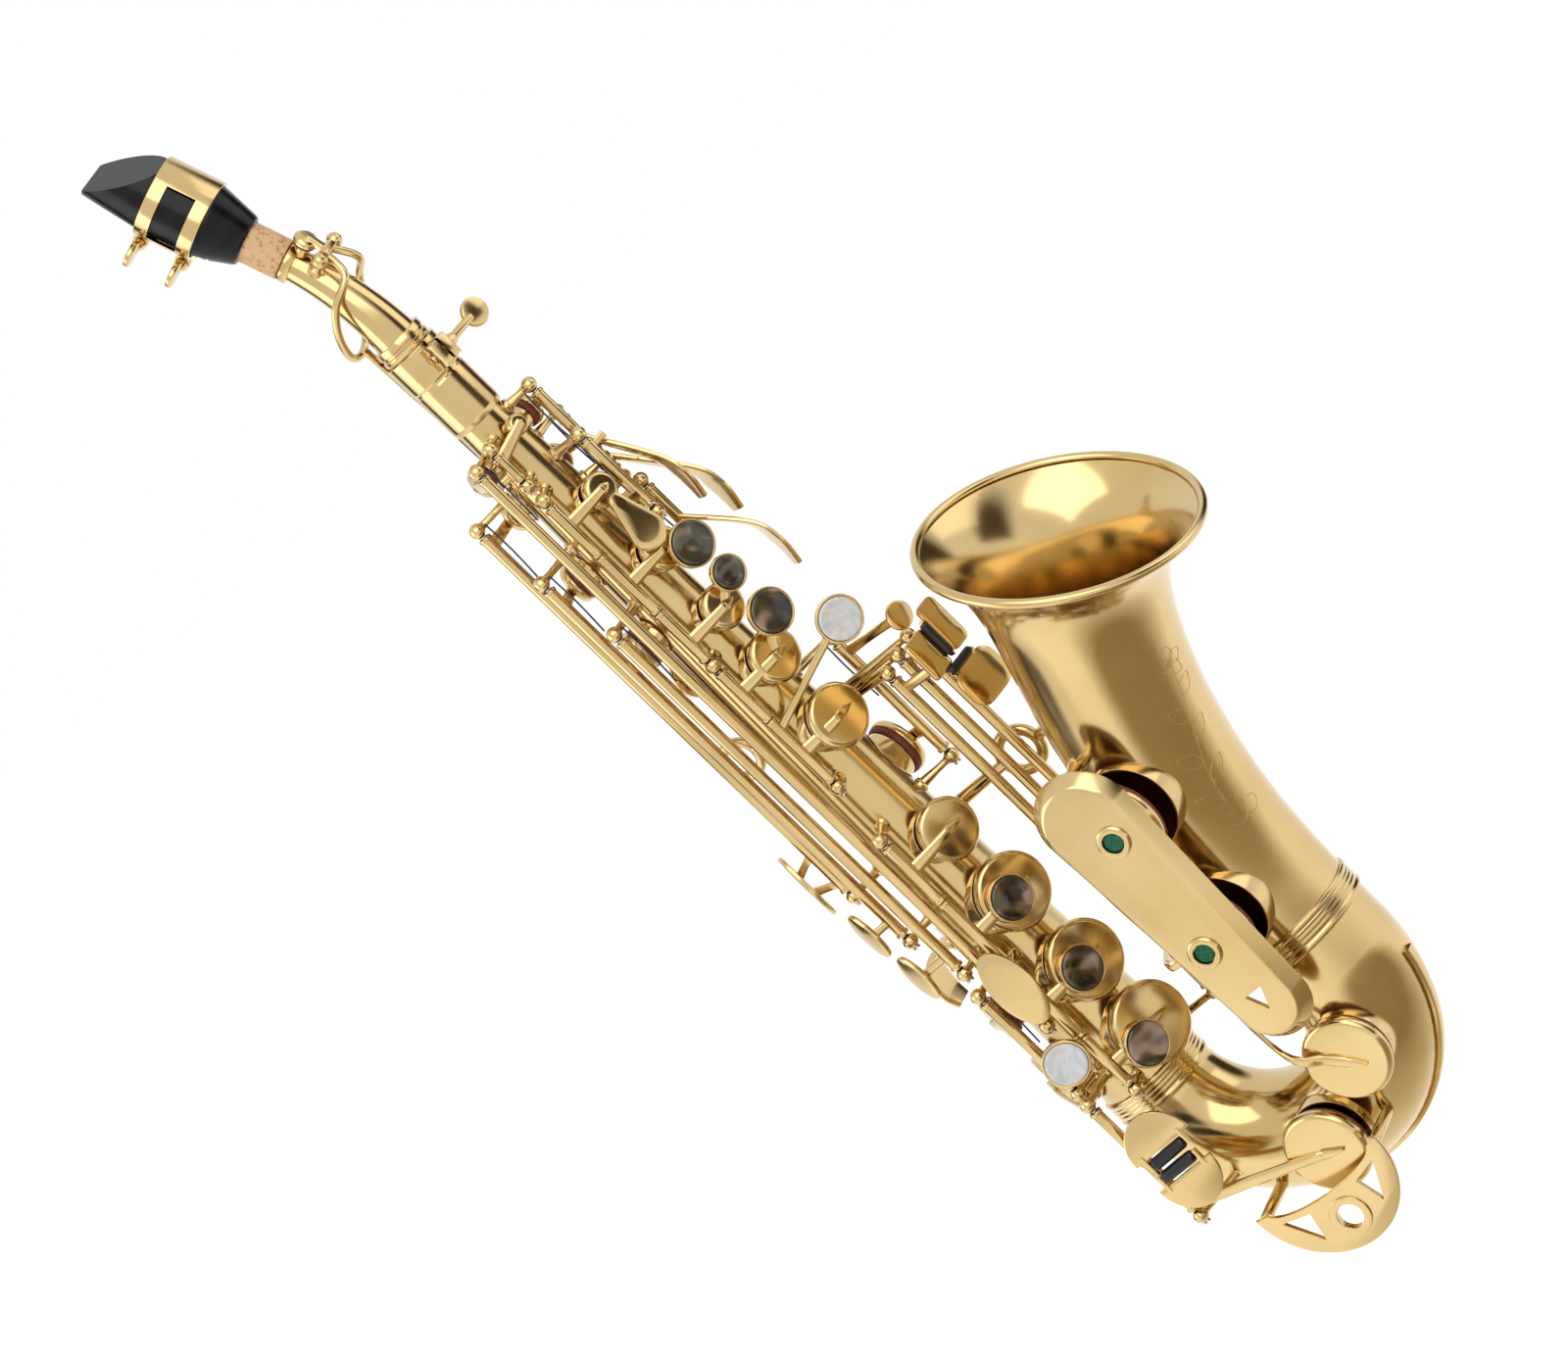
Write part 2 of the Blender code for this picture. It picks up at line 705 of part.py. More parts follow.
def stack_key(name, line, span, lift, shell, pearl_at, pearl_radius, face):
    """A stack key that stands open and carries a pearl."""
    psi, h, d = pearl_at
    base = at(psi, h, d)
    normal = around(face)
    crown = HOLES[name].seat() + HOLES[name].normal * (CUP_HEIGHT - 0.6)
    touches = [holder(base, normal, pearl_radius)]
    if (crown - base).length > pearl_radius * 0.8:
        touches.append(link(crown, base - normal * DISH_ARM))
    turn = key(name, line, span, lift, True, touches)
    return pearl(name.replace("_key", "_pearl"), base, normal, pearl_radius, turn, shell)


def make_stacks():
    up = UPPER_STACK_ROD
    low = LOWER_STACK_ROD
    first, middle, last = UPPER_STACK_POSTS
    key("c_key", up, (first + END, C_TUBE_END), STACK_LIFT, True, [])
    spans = {"b_key": (C_TUBE_END + GAP, B_TUBE_END), "bis_key": (B_TUBE_END + GAP, middle - END),
             "a_key": (middle + END, A_TUBE_END)}
    for name, span in spans.items():
        spot, radius = UPPER_PEARLS[name]
        stack_key(name, up, span, STACK_LIFT, DARK_SHELL, spot, radius, UPPER_PEARL_FACE)
    base = at(*G_PEARL)
    normal = around(G_PEARL_FACE)
    arm = link(at(*up, G_ARM_D), base - normal * DISH_ARM, 2.8, 2.0)
    touches = [holder(base, normal, PEARL_RADIUS), arm]
    turn = key("g_key", up, (A_TUBE_END + GAP, last - END), STACK_LIFT, True, touches)
    pearl("g_pearl", base, normal, PEARL_RADIUS, turn, WHITE_SHELL)
    first, middle, last = LOWER_STACK_POSTS
    key("fs_key", low, (first + END, FS_TUBE_END), STACK_LIFT, True, [])
    spans = {"f_key": (FS_TUBE_END + GAP, middle - END), "e_key": (middle + END, E_TUBE_END),
             "d_key": (E_TUBE_END + GAP, last - END)}
    for name, span in spans.items():
        hole = HOLES[name]
        h = hole.top + PAD + GAP + CUP_HEIGHT + DISH_DEPTH + 0.2
        psi, below = LOWER_PEARLS[name]
        spot = (psi, h, below - hole.centre.z)
        stack_key(name, low, span, STACK_LIFT, DARK_SHELL, spot, PEARL_RADIUS, LOWER_STACK_FACE)


def paddle(name, psi, h, d, length, width, arms):
    """The touch of a side key: a plate along the tube, on arms from its rod."""
    line = SIDE_LINES[name]
    centre = at(psi, h, d)
    shells = [touch_plate(centre, around(psi), Z_AXIS, oval(length, width))]
    for place in arms:
        foot = at(line[0], line[1], place)
        head = centre - around(psi) * (TOUCH_THICK / 2.0)
        head.z = -place + (centre.z + place) * 0.5
        shells.append(link(foot, head, 3.0, 2.0))
    return shells


def make_side_keys():
    for name, psi, h, d, length, width, arms in (
            ("high_e_key", -56.0, 34.0, 205.0, 25.0, 15.0, (198.0, 211.0)),
            ("side_c_key", -33.0, 34.0, 227.5, 18.0, 9.0, (229.0,)),
            ("side_bb_key", -27.0, 34.0, 247.0, 18.0, 9.0, (248.0,)),
            ("high_fs_key", 16.0, 35.0, 267.0, 29.0, 14.0, (268.0,))):
        line, span = line_of(name)
        key(name, line, span, SIDE_LIFT, False, paddle(name, psi, h, d, length, width, arms))
    line, span = line_of("trill_fs_key")
    base = at(*TRILL_PEARL)
    normal = around(TRILL_PEARL_FACE)
    arm = link(at(*line, TRILL_PEARL[2] + 2.0), base - normal * DISH_ARM, 3.0, 2.2)
    turn = key("trill_fs_key", line, span, SIDE_LIFT, False, [holder(base, normal, PEARL_RADIUS), arm])
    pearl("trill_pearl", base, normal, PEARL_RADIUS, turn, WHITE_SHELL)


def spatula(name, psi, h, first, last, width, bank):
    """A palm touch: a long leaf that runs down the tube from its hinge and widens to a round end."""
    line = SIDE_LINES[name]
    out = around(psi)
    tip = at(psi, h, last)
    knee = at(psi, h - 2.0, first)
    root_end = at(line[0], line[1], line[3] - END - LEAF_ROOT)
    leaf = bar([root_end, knee, (knee + tip) / 2.0 + out * 1.5, tip],
               [3.6, width * 0.7, width, width * 0.6], LEAF_THICK, around(psi + 90.0 + bank))
    return [leaf]


def make_palm_keys():
    for name, psi, h, first, last, width, bank in (
            ("palm_f_key", 108.0, 32.0, 75.0, 95.0, 11.0, 34.0),
            ("palm_eb_key", 134.0, 36.0, 88.0, 108.0, 12.0, 12.0),
            ("palm_d_key", 125.0, 36.5, 112.0, 132.0, 12.0, 12.0)):
        line, span = line_of(name)
        key(name, line, span, SIDE_LIFT, False, spatula(name, psi, h, first, last, width, bank))
    line, span = line_of("front_f_key")
    hinge = at(line[0], line[1], sum(span) / 2.0)
    drop = touch_plate(at(62.0, 25.5, 75.0), around(62.0), -Z_AXIS, stadium(13.0, 2.6, 6.4))
    arm = link(at(line[0], line[1], 80.0), at(64.0, 24.6, 78.0))
    tail = link(at(line[0], line[1], FRONT_F_TAIL_D), at(106.0, 24.5, FRONT_F_TAIL_D), 2.6)
    press = -Z_AXIS
    hinge_tube = rod(at(*line, span[0]), at(*line, span[1]), ROD_RADIUS)
    obj = finish("front_f_key", combine([hinge_tube, drop, arm, tail]), GOLD, hinge, press)
    obj["travel"] = radians(FRONT_F_TRAVEL)


# The left little finger's table and the keys of the bow and bell
def make_low_keys():
    line, span = line_of("gs_key")
    half = TOUCH_THICK / 2.0
    face = around(72.0)
    touch = Vector((3.0, -55.0, -161.0))
    arm = link(at(*line, 1.0 - touch.z), touch - face * half)
    key("gs_key", line, span, SIDE_LIFT, False, [touch_plate(touch, face, Z_AXIS, oval(9.4, 10.0)), arm])
    for name, place, outline, open_key, touch_d, arm_d, via in (
            ("low_cs_key", Vector((0.0, -54.0, -175.8)), lozenge(15.0, 9.5, 1.5), False, 180.0, 307.0,
             (Vector((-28.5, -59.0, -336.1)),)),
            ("low_b_key", Vector((12.4, -58.0, -173.0)), lozenge(18.0, 8.0, 2.0), True, 176.0, 292.0,
             (Vector((-29.5, -58.0, -291.5)),)),
            ("low_bb_key", Vector((9.3, -57.1, -193.5)), lozenge(15.0, 18.0, 5.0), True, 193.5, 247.0,
             (Vector((-32.0, -62.0, -247.5)),))):
        line, span = line_of(name)
        head = place - face * half
        head.z = -touch_d
        round_rod = [Vector((x, y, -touch_d)) for x, y in LOW_B_BENDS] if name == "low_b_key" else []
        bends = [at(*line, touch_d)] + round_rod + [head]
        arm = bar(bends, [ARM_WIDTH] * len(bends), ARM_THICK, Z_AXIS)
        key(name, line, span, BELL_LIFT if open_key else SIDE_LIFT, open_key,
            [touch_plate(place, face, Z_AXIS, outline), arm], via, arm_d)


def make_table_keys():
    """The right little finger's E flat and C keys, whose plates face each other across two rollers."""
    psi, h, first, last = TABLE_LINE
    middle = (first + last) / 2.0
    out = around(TABLE_FACE)
    across = Z_AXIS.cross(out)
    ear = ROLLER_LENGTH / 2.0 + GAP + EAR_THICK / 2.0
    for name, span, side, lift, stands_open in (
            ("low_eb_key", (first + END, middle - GAP / 2.0), 1.0, SIDE_LIFT, False),
            ("low_c_key", (middle + GAP / 2.0, last - END), -1.0, BELL_LIFT, True)):
        axis_point = at(TABLE_FACE, TABLE_H, TABLE_MIDDLE) + Z_AXIS * side * (ROLLER_RADIUS + 0.4)
        edge = axis_point + Z_AXIS * side * (ROLLER_RADIUS + 0.6)
        half = [(13.0 * sin(pi * k / 8.0), 11.0 * cos(pi * k / 8.0)) for k in range(9)]
        touches = [plate(half, edge + out * 0.8, Z_AXIS * side, across * side, TOUCH_THICK)]
        for hand in (-1.0, 1.0):
            start = edge + across * hand * ear + Z_AXIS * side * 2.0
            end = axis_point + across * hand * ear - Z_AXIS * side * 1.2
            touches.append(bar([start, end], [EAR_THICK, EAR_THICK], 2.4, across))
        arm_d = -(edge + Z_AXIS * side * 6.0).z
        arm_d = min(max(arm_d, span[0] + 2.0), span[1] - 2.0)
        touches.append(link(at(psi, h, arm_d), edge + Z_AXIS * side * 5.0, 4.0))
        turn = key(name, (psi, h), span, lift, stands_open, touches)
        centre = turn @ axis_point
        spin = (turn.to_3x3() @ across).normalized()
        low = centre - spin * ROLLER_LENGTH / 2.0
        profile = [(0.0, 0.0), (ROLLER_RADIUS * 0.8, 0.0), (ROLLER_RADIUS, ROLLER_BEVEL),
                   (ROLLER_RADIUS, ROLLER_LENGTH - ROLLER_BEVEL), (ROLLER_RADIUS * 0.8, ROLLER_LENGTH),
                   (0.0, ROLLER_LENGTH)]
        mesh = combine([lathe(low, spin, profile, SMALL_SIDES)])
        finish(name.replace("_key", "_roller"), mesh, ROLLER_BLACK, centre, spin)


def make_octave_keys():
    line, span = line_of("body_octave_key")
    lever = link(at(*line, 47.0), at(2.0, 20.0, 47.0), 3.0)
    key("body_octave_key", line, span, 1.6, False, [lever])
    line, span = line_of("octave_thumb_key")
    face = around(-125.0)
    thumb = at(-128.0, 20.0, 104.0)
    route = [at(*line, span[0] + 5.0), at(-122.0, 20.0, 85.0), at(-121.0, 19.5, 40.0), at(-98.0, 12.6, 2.0),
             Vector((-2.0, 10.4, 9.5))]
    finger = bar(route, [3.4, 3.0, 3.0, 2.4, 2.4], TOUCH_THICK, around(-20.0))
    pad = touch_plate(thumb, face, Z_AXIS, oval(17.0, 11.0))
    arm = link(at(*line, -thumb.z), thumb - face * (TOUCH_THICK / 2.0))
    shells = [rod(at(*line, span[0]), at(*line, span[1]), ROD_RADIUS), finger, pad, arm]
    obj = finish("octave_thumb_key", combine(shells), GOLD, at(*line, sum(span) / 2.0), -Z_AXIS)
    obj["travel"] = radians(OCTAVE_THUMB_TRAVEL)


# The tubes
def make_body():
    def cone(first, last, shrink):
        return sweep([(-Z_AXIS * d, -Z_AXIS, body_radius(d) - shrink) for d in (first, last)], TUBE_SIDES)

    outer = cone(TENON_LENGTH + 2.0, BODY_END, 0.0)
    bore = cone(TENON_LENGTH, BODY_END + 2.0, WALL)
    holes = [hole for name, hole in HOLES.items() if name not in BOW_KEYS + BELL_KEYS]
    shells = [outer] + [hole.chimney() for hole in holes]
    for name, (psi, h, first, last) in SIDE_LINES.items():
        if name in LEANING_POSTS:
            foot = at(LEANING_POSTS[name], body_radius(first) - WALL * 0.6, first)
            shells += free_post(at(psi, h, first), foot)
        else:
            shells += body_post(psi, h, first)
        if name not in BELL_KEYS:
            shells += body_post(psi, h, last)
    for (psi, h), d in STACK_POSTS:
        shells += body_post(psi, h, d)
    shells += body_post(TABLE_LINE[0], TABLE_LINE[1], TABLE_LINE[2])
    fixed("body_tube", shells, GOLD, [bore] + [hole.bore() for hole in holes])


def make_bow():
    count = 8
    angles = [180.0 * k / count for k in range(count + 1)]

    def stations(shrink, past):
        centre, along, radius = bow_station(0.0)
        path = [(centre - along * (BOW_CENTRE - BODY_END - GAP + past), along, radius - shrink)]
        path += [(c, a, r - shrink) for c, a, r in map(bow_station, angles[1:])]
        centre, along, radius = bow_station(180.0)
        path.append((centre + along * (BOW_CENTRE - BELL_RING + past), along, radius - shrink))
        return path

    strip_shells = []
    edge = []
    for angle in [50.0 + 15.0 * k for k in range(9)]:
        centre, along, radius = bow_station(angle)
        out = along.cross(X_AXIS) * -1.0
        edge.append(centre + out * (radius + 0.5))
    strip_shells.append(bar(edge, [5.0] * len(edge), 2.0, X_AXIS))
    holes = [HOLES[name] for name in BOW_KEYS]
    top = at(TABLE_LINE[0], TABLE_LINE[1], TABLE_LINE[3])
    centre, along, radius = bow_station(55.0)
    shells = [sweep(stations(0.0, 0.0), TUBE_SIDES)] + strip_shells + [hole.chimney() for hole in holes]
    shells += free_post(top, centre + (top - centre).normalized() * (radius - WALL * 0.6))
    fixed("bow", shells, GOLD, [sweep(stations(WALL, 2.0), TUBE_SIDES)] + [hole.bore() for hole in holes])


def make_bell():
    steps = [0.0, 15.0, 45.0, 75.0, 103.0, 122.0, 135.0, 143.0, 148.0]
    travels = [GAP] + [t for t in steps[1:] if t < BELL_LENGTH - 1.0] + [BELL_LENGTH]
    outer = [bell_station(t) for t in travels]
    inner = [(c, a, r - WALL * (1.0 + 0.6 * t / BELL_LENGTH)) for t, (c, a, r) in zip(travels, outer)]
    first = inner[0]
    inner.insert(0, (first[0] - first[1] * 2.0, first[1], first[2]))
    last = inner[-1]
    inner.append((last[0] + last[1] * 3.0, last[1], last[2] + 4.0))
    rim_centre, rim_axis, rim = outer[-1]
    bead = []
    for k in range(6):
        a = 2.0 * pi * k / 6.0
        bead.append((rim - RIM_BEAD * 0.5 + RIM_BEAD * cos(a), RIM_BEAD * sin(a)))
    holes = [HOLES[name] for name in BELL_KEYS]
    shells = [sweep(outer, BELL_SIDES), lathe(rim_centre, rim_axis, bead, BELL_SIDES)]
    shells += [hole.chimney() for hole in holes]
    for name in BELL_KEYS:
        psi, h, first_post, last_post = SIDE_LINES[name]
        top = at(psi, h, last_post)
        travel = max(BELL_RING - last_post, 0.0)
        centre, along, radius = bell_station(travel)
        shells += free_post(top, centre + (top - centre).normalized() * (radius - WALL * 0.6))
    fixed("bell", shells, GOLD, [sweep(inner, BELL_SIDES)] + [hole.bore() for hole in holes])


def ferrule(name, centre, along, radius):
    """A joint ring with two beads, slipped over two tube ends."""
    low = clear_of(radius)
    half = FERRULE_LENGTH / 2.0
    profile = [(low, -half), (low + FERRULE_HEIGHT, -half), (low + FERRULE_HEIGHT, -half * 0.3),
               (low + FERRULE_HEIGHT * 0.5, 0.0), (low + FERRULE_HEIGHT, half * 0.3),
               (low + FERRULE_HEIGHT, half), (low, half)]
    fixed(name, [lathe(centre, along, profile, TUBE_SIDES)])


def make_rings():
    middle = BOW_CENTRE - FERRULE_LENGTH / 2.0
    ferrule("body_to_bow_ring", -Z_AXIS * middle, Z_AXIS, body_radius(BOW_CENTRE))
    ferrule("bow_to_bell_ring", Vector((0.0, -LEG_SPACING, -BELL_RING)), Z_AXIS,
            BELL_RING_RADIUS + BELL_TAPER * FERRULE_LENGTH)


# The neck and what is on it; s is the distance along the neck from the receiver's top
def neck_place(s):
    """Point and direction of the neck's axis: straight, then a bend towards the player, then straight."""
    turned = min(max(s - NECK_STRAIGHT, 0.0) / NECK_BEND_RADIUS, radians(NECK_BEND))
    start = min(s, NECK_STRAIGHT)
    along = Vector((0.0, sin(turned), cos(turned)))
    bend = Vector((0.0, NECK_BEND_RADIUS * (1.0 - cos(turned)), NECK_BEND_RADIUS * sin(turned)))
    rest = max(s - NECK_STRAIGHT - NECK_BEND_RADIUS * radians(NECK_BEND), 0.0)
    return Z_AXIS * start + bend + along * rest, along


def neck_point(s, x, up):
    """A point beside the neck: x to the player's left, up towards the neck's front side."""
    centre, along = neck_place(s)
    return centre + X_AXIS * x + X_AXIS.cross(along) * up


def make_neck():
    def station(s, radius):
        centre, along = neck_place(s)
        return centre, along, radius

    cone = []
    for k in range(5):
        s = NECK_COLLAR_LENGTH + (NECK_LENGTH - 3.0 - NECK_COLLAR_LENGTH) * k / 4.0
        cone.append(station(s, NECK_FOOT_RADIUS + (NECK_TIP_RADIUS - NECK_FOOT_RADIUS) * k / 4.0))
    tenon = [station(-TENON_LENGTH, TENON_RADIUS), station(GAP, TENON_RADIUS)]
    collar = [station(GAP, NECK_COLLAR), station(NECK_COLLAR_LENGTH, NECK_COLLAR)]
    tip = [station(NECK_LENGTH - 3.0, CORK_RADIUS), station(NECK_LENGTH, CORK_RADIUS)]
    seat = [station(NECK_LENGTH, CORK_SEAT_RADIUS), station(NECK_LENGTH + CORK_LENGTH, CORK_SEAT_RADIUS)]
    outer = sweep(tenon + collar + cone + tip + seat, NECK_SIDES)
    ends = (-TENON_LENGTH - 2.0, NECK_STRAIGHT, 20.0, 36.0, NECK_LENGTH + CORK_LENGTH + 2.0)
    bore = [station(s, TENON_RADIUS - WALL - (TENON_RADIUS - CORK_SEAT_RADIUS) * max(k, 0) / 4.0)
            for k, s in enumerate(ends)]
    shells = [outer]
    for hand in (-1.0, 1.0):
        shells += free_post(neck_point(OCTAVE_HINGE_S, hand * 6.5, OCTAVE_HINGE_UP),
                            neck_point(OCTAVE_HINGE_S, hand * 3.4, NECK_TIP_RADIUS - 1.5))
    centre, along = neck_place(OCTAVE_CUP_S)
    up = X_AXIS.cross(along)
    vent = rod(centre, centre + up * (CORK_RADIUS + 1.2), 2.4, HOLE_SIDES)
    shells.append(vent)
    pip = rod(centre, centre + up * (CORK_RADIUS + 4.0), 1.2)
    fixed("neck_tube", shells, GOLD, [sweep(bore, NECK_SIDES), pip])
    low, along = neck_place(NECK_LENGTH + GAP)
    profile = [(CORK_SEAT_RADIUS + GAP, 0.0), (CORK_RADIUS, 0.0), (CORK_RADIUS, CORK_LENGTH - 1.5),
               (CORK_RADIUS - 0.6, CORK_LENGTH - 1.0), (CORK_SEAT_RADIUS + GAP, CORK_LENGTH - 1.0)]
    finish("neck_cork", combine([lathe(low, along, profile, NECK_SIDES)]), CORK)


def make_neck_octave_key():
    """The loop key of the neck: a cup over the neck's vent, and a loop round the neck down to its foot."""
    hinge = neck_point(OCTAVE_HINGE_S, 0.0, OCTAVE_HINGE_UP)
    width = 6.5 - POST_RADIUS - GAP
    a = neck_point(OCTAVE_HINGE_S, -width, OCTAVE_HINGE_UP)
    b = neck_point(OCTAVE_HINGE_S, width, OCTAVE_HINGE_UP)
    centre, along = neck_place(OCTAVE_CUP_S)
    up = X_AXIS.cross(along)
    seat = centre + up * (CORK_RADIUS + 1.2 + 1.2 + GAP)
    profile = [(0.0, 0.0), (4.0, 0.0), (4.0, 1.6), (2.6, 2.6), (0.0, 2.6)]
    shells = [rod(a, b, ROD_RADIUS), lathe(seat, up, profile, SMALL_SIDES),
              bar([hinge, seat + up * 2.2], [4.0, 3.2], 1.8, X_AXIS)]
    path = [(OCTAVE_HINGE_S, width * 0.5, OCTAVE_HINGE_UP), (29.0, 6.0, 10.5), (26.0, 10.6, 2.0),
            (20.0, 10.8, -6.0), (12.0, 7.0, -12.0), (9.0, 0.0, -13.5)]
    right = [neck_point(s, -x, rise) for s, x, rise in path]
    left = [neck_point(s, x, rise) for s, x, rise in reversed(path[:-1])]
    shells.append(wire(right + left, 1.3))
    obj = finish("neck_octave_key", combine(shells), GOLD, hinge, X_AXIS)
    obj["travel"] = radians(NECK_OCTAVE_TRAVEL)


def mouth_point(s, x, up):
    """A point of the mouthpiece, s from the shank's end."""
    return neck_point(SHANK_S + s, x, up)


def solid_block(low, high):
    """A block on the mouthpiece between two corners, each given by s, x and up."""
    corners = [(low[0], low[1]), (high[0], low[1]), (high[0], high[1]), (low[0], high[1])]
    return loft([[mouth_point(s, x, up) for s, x in corners] for up in (low[2], high[2])])


def wedge(profile, half):
    """A block with the given outline in s and up, as wide as twice half."""
    return loft([[mouth_point(s, x, up) for s, up in profile] for x in (-half, half)])


def make_mouthpiece():
    base, along = neck_place(SHANK_S)
    length = MOUTHPIECE_LENGTH
    wide = MOUTHPIECE_RADIUS
    over = wide + 2.0
    profile = [(0.0, 0.0), (SHANK_RADIUS, 0.0), (SHANK_RADIUS + 0.6, 1.0), (wide, BARREL_START),
               (wide, BARREL_END), (wide * 0.8, length), (0.0, length)]
    socket = lathe(base - along, along, [(0.0, 0.0), (CORK_RADIUS + GAP, 0.0), (CORK_RADIUS + GAP, 17.0),
                                         (4.6, 19.0), (4.6, BORE_END), (0.0, BORE_END)], NECK_SIDES)
    tip_rise = 1.4 - TABLE_DROP
    beyond = length + 1.0
    rise = BARREL_END - 1.0
    beak = wedge([(rise, over), (rise, wide - 0.2), (beyond, tip_rise), (beyond, over)], over)
    flat = -TABLE_DROP
    table = wedge([(TABLE_START, -over), (TABLE_START, flat), (beyond, flat), (beyond, -over)], over)
    below = -TABLE_DROP - 1.0
    window = wedge([(VAMP_START, below), (VAMP_START, 0.0), (BORE_END + 3.0, 0.0),
                    (length - 2.0, -TABLE_DROP - 0.2), (length - 2.0, below)], 4.2)
    mesh = combine([lathe(base, along, profile, TUBE_SIDES)], [socket, beak, table, window])
    finish("mouthpiece", mesh, EBONITE)
    face = -TABLE_DROP - GAP
    heel = TABLE_START + 1.0
    cane = wedge([(heel, face), (length, face), (length, face - REED_TIP), (VAMP_START, face - REED_THICK),
                  (heel, face - REED_THICK)], REED_WIDTH / 2.0)
    finish("reed", combine([cane]), CANE)


def make_ligature():
    base, along = neck_place(SHANK_S + LIGATURE_S)
    inner = MOUTHPIECE_RADIUS + GAP
    outer = inner + LIGATURE_WALL
    profile = [(inner, 0.0), (outer, 0.0), (outer, LIGATURE_LENGTH), (inner, LIGATURE_LENGTH)]
    shells = [lathe(base, along, profile, TUBE_SIDES)]
    cuts = []
    first = LIGATURE_S + LIGATURE_BAND
    last = LIGATURE_S + LIGATURE_LENGTH - LIGATURE_BAND
    for hand in (-1.0, 1.0):
        near = hand * LIGATURE_STRIP
        far = hand * (outer + 2.0)
        cuts.append(solid_block((first, min(near, far), -8.0), (last, max(near, far), LIGATURE_WINDOW)))
    bands = {"ligature_screw_rear": LIGATURE_S + LIGATURE_BAND / 2.0,
             "ligature_screw_front": LIGATURE_S + LIGATURE_LENGTH - LIGATURE_BAND / 2.0}
    for s in bands.values():
        for hand in (-1.0, 1.0):
            low = hand * LUG_SPREAD - LUG_HALF
            high = hand * LUG_SPREAD + LUG_HALF
            shells.append(solid_block((s - 2.0, low, -LIGATURE_LUG - 2.0), (s + 2.0, high, -inner - 0.1)))
        ends = [mouth_point(s, x, -LIGATURE_LUG) for x in (-8.0, 8.0)]
        cuts.append(rod(ends[0], ends[1], LIGATURE_SCREW + GAP, HOLE_SIDES))
    fixed("ligature", shells, GOLD, cuts)
    neck = LUG_SPREAD + LUG_HALF + GAP
    for name, s in bands.items():
        centre = mouth_point(s, 0.0, -LIGATURE_LUG)
        shaft = rod(centre + X_AXIS * neck, centre - X_AXIS * (neck + neck), LIGATURE_SCREW)
        collar = rod(centre - X_AXIS * neck, centre - X_AXIS * (neck + 2.4), 2.2, HOLE_SIDES, 1.4)
        middle = centre - X_AXIS * (neck + 6.4) - along * (SCREW_HEAD_THICK / 2.0)
        head = plate(oval(9.5, 8.4), middle, X_AXIS, along.cross(X_AXIS), SCREW_HEAD_THICK)
        finish(name, combine([shaft, collar, head]), GOLD, centre, X_AXIS)


def make_receiver():
    inner = clear_of(TENON_RADIUS)
    seat = TENON_LENGTH + 2.0 - GAP
    socket = clear_of(body_radius(RECEIVER_LENGTH))
    end = RECEIVER_LENGTH
    outer = RECEIVER_RADIUS
    profile = [(inner, 0.0), (outer, 0.0), (outer, end - 2.0), (outer - 0.4, end), (socket, end),
               (socket, seat), (inner, seat)]
    sleeve = lathe(Vector(), -Z_AXIS, profile, TUBE_SIDES)
    out = around(90.0 + CLAMP_TURN)
    side = Z_AXIS.cross(out)
    half = CLAMP_HALF
    lug = plate([(-half, 1.5), (half, 1.5), (half, 10.0), (-half, 10.0)], out * (RECEIVER_RADIUS - 0.5),
                side, -Z_AXIS, -CLAMP_REACH)
    slot = plate([(-0.5, -1.0), (0.5, -1.0), (0.5, 14.0), (-0.5, 14.0)], out * (inner - 2.0),
                 side, -Z_AXIS, -CLAMP_REACH - 6.0)
    centre = out * CLAMP_Y - Z_AXIS * CLAMP_D
    bore = rod(centre - side * 6.0, centre + side * 6.0, CLAMP_SCREW + GAP, HOLE_SIDES)
    fixed("neck_receiver", [sleeve, lug], GOLD, [slot, bore])
    start = half + GAP
    shaft = rod(centre - side * (half + 1.0), centre + side * (CLAMP_HEAD - 2.0), CLAMP_SCREW)
    collar = rod(centre + side * start, centre + side * (start + 2.8), 2.6, HOLE_SIDES, 1.8)
    head = plate(oval(9.6, 9.6, CUP_SIDES), centre + side * CLAMP_HEAD - out * 1.1, side, Z_AXIS, -2.2)
    finish("neck_clamp_screw", combine([shaft, collar, head]), GOLD, centre, side)


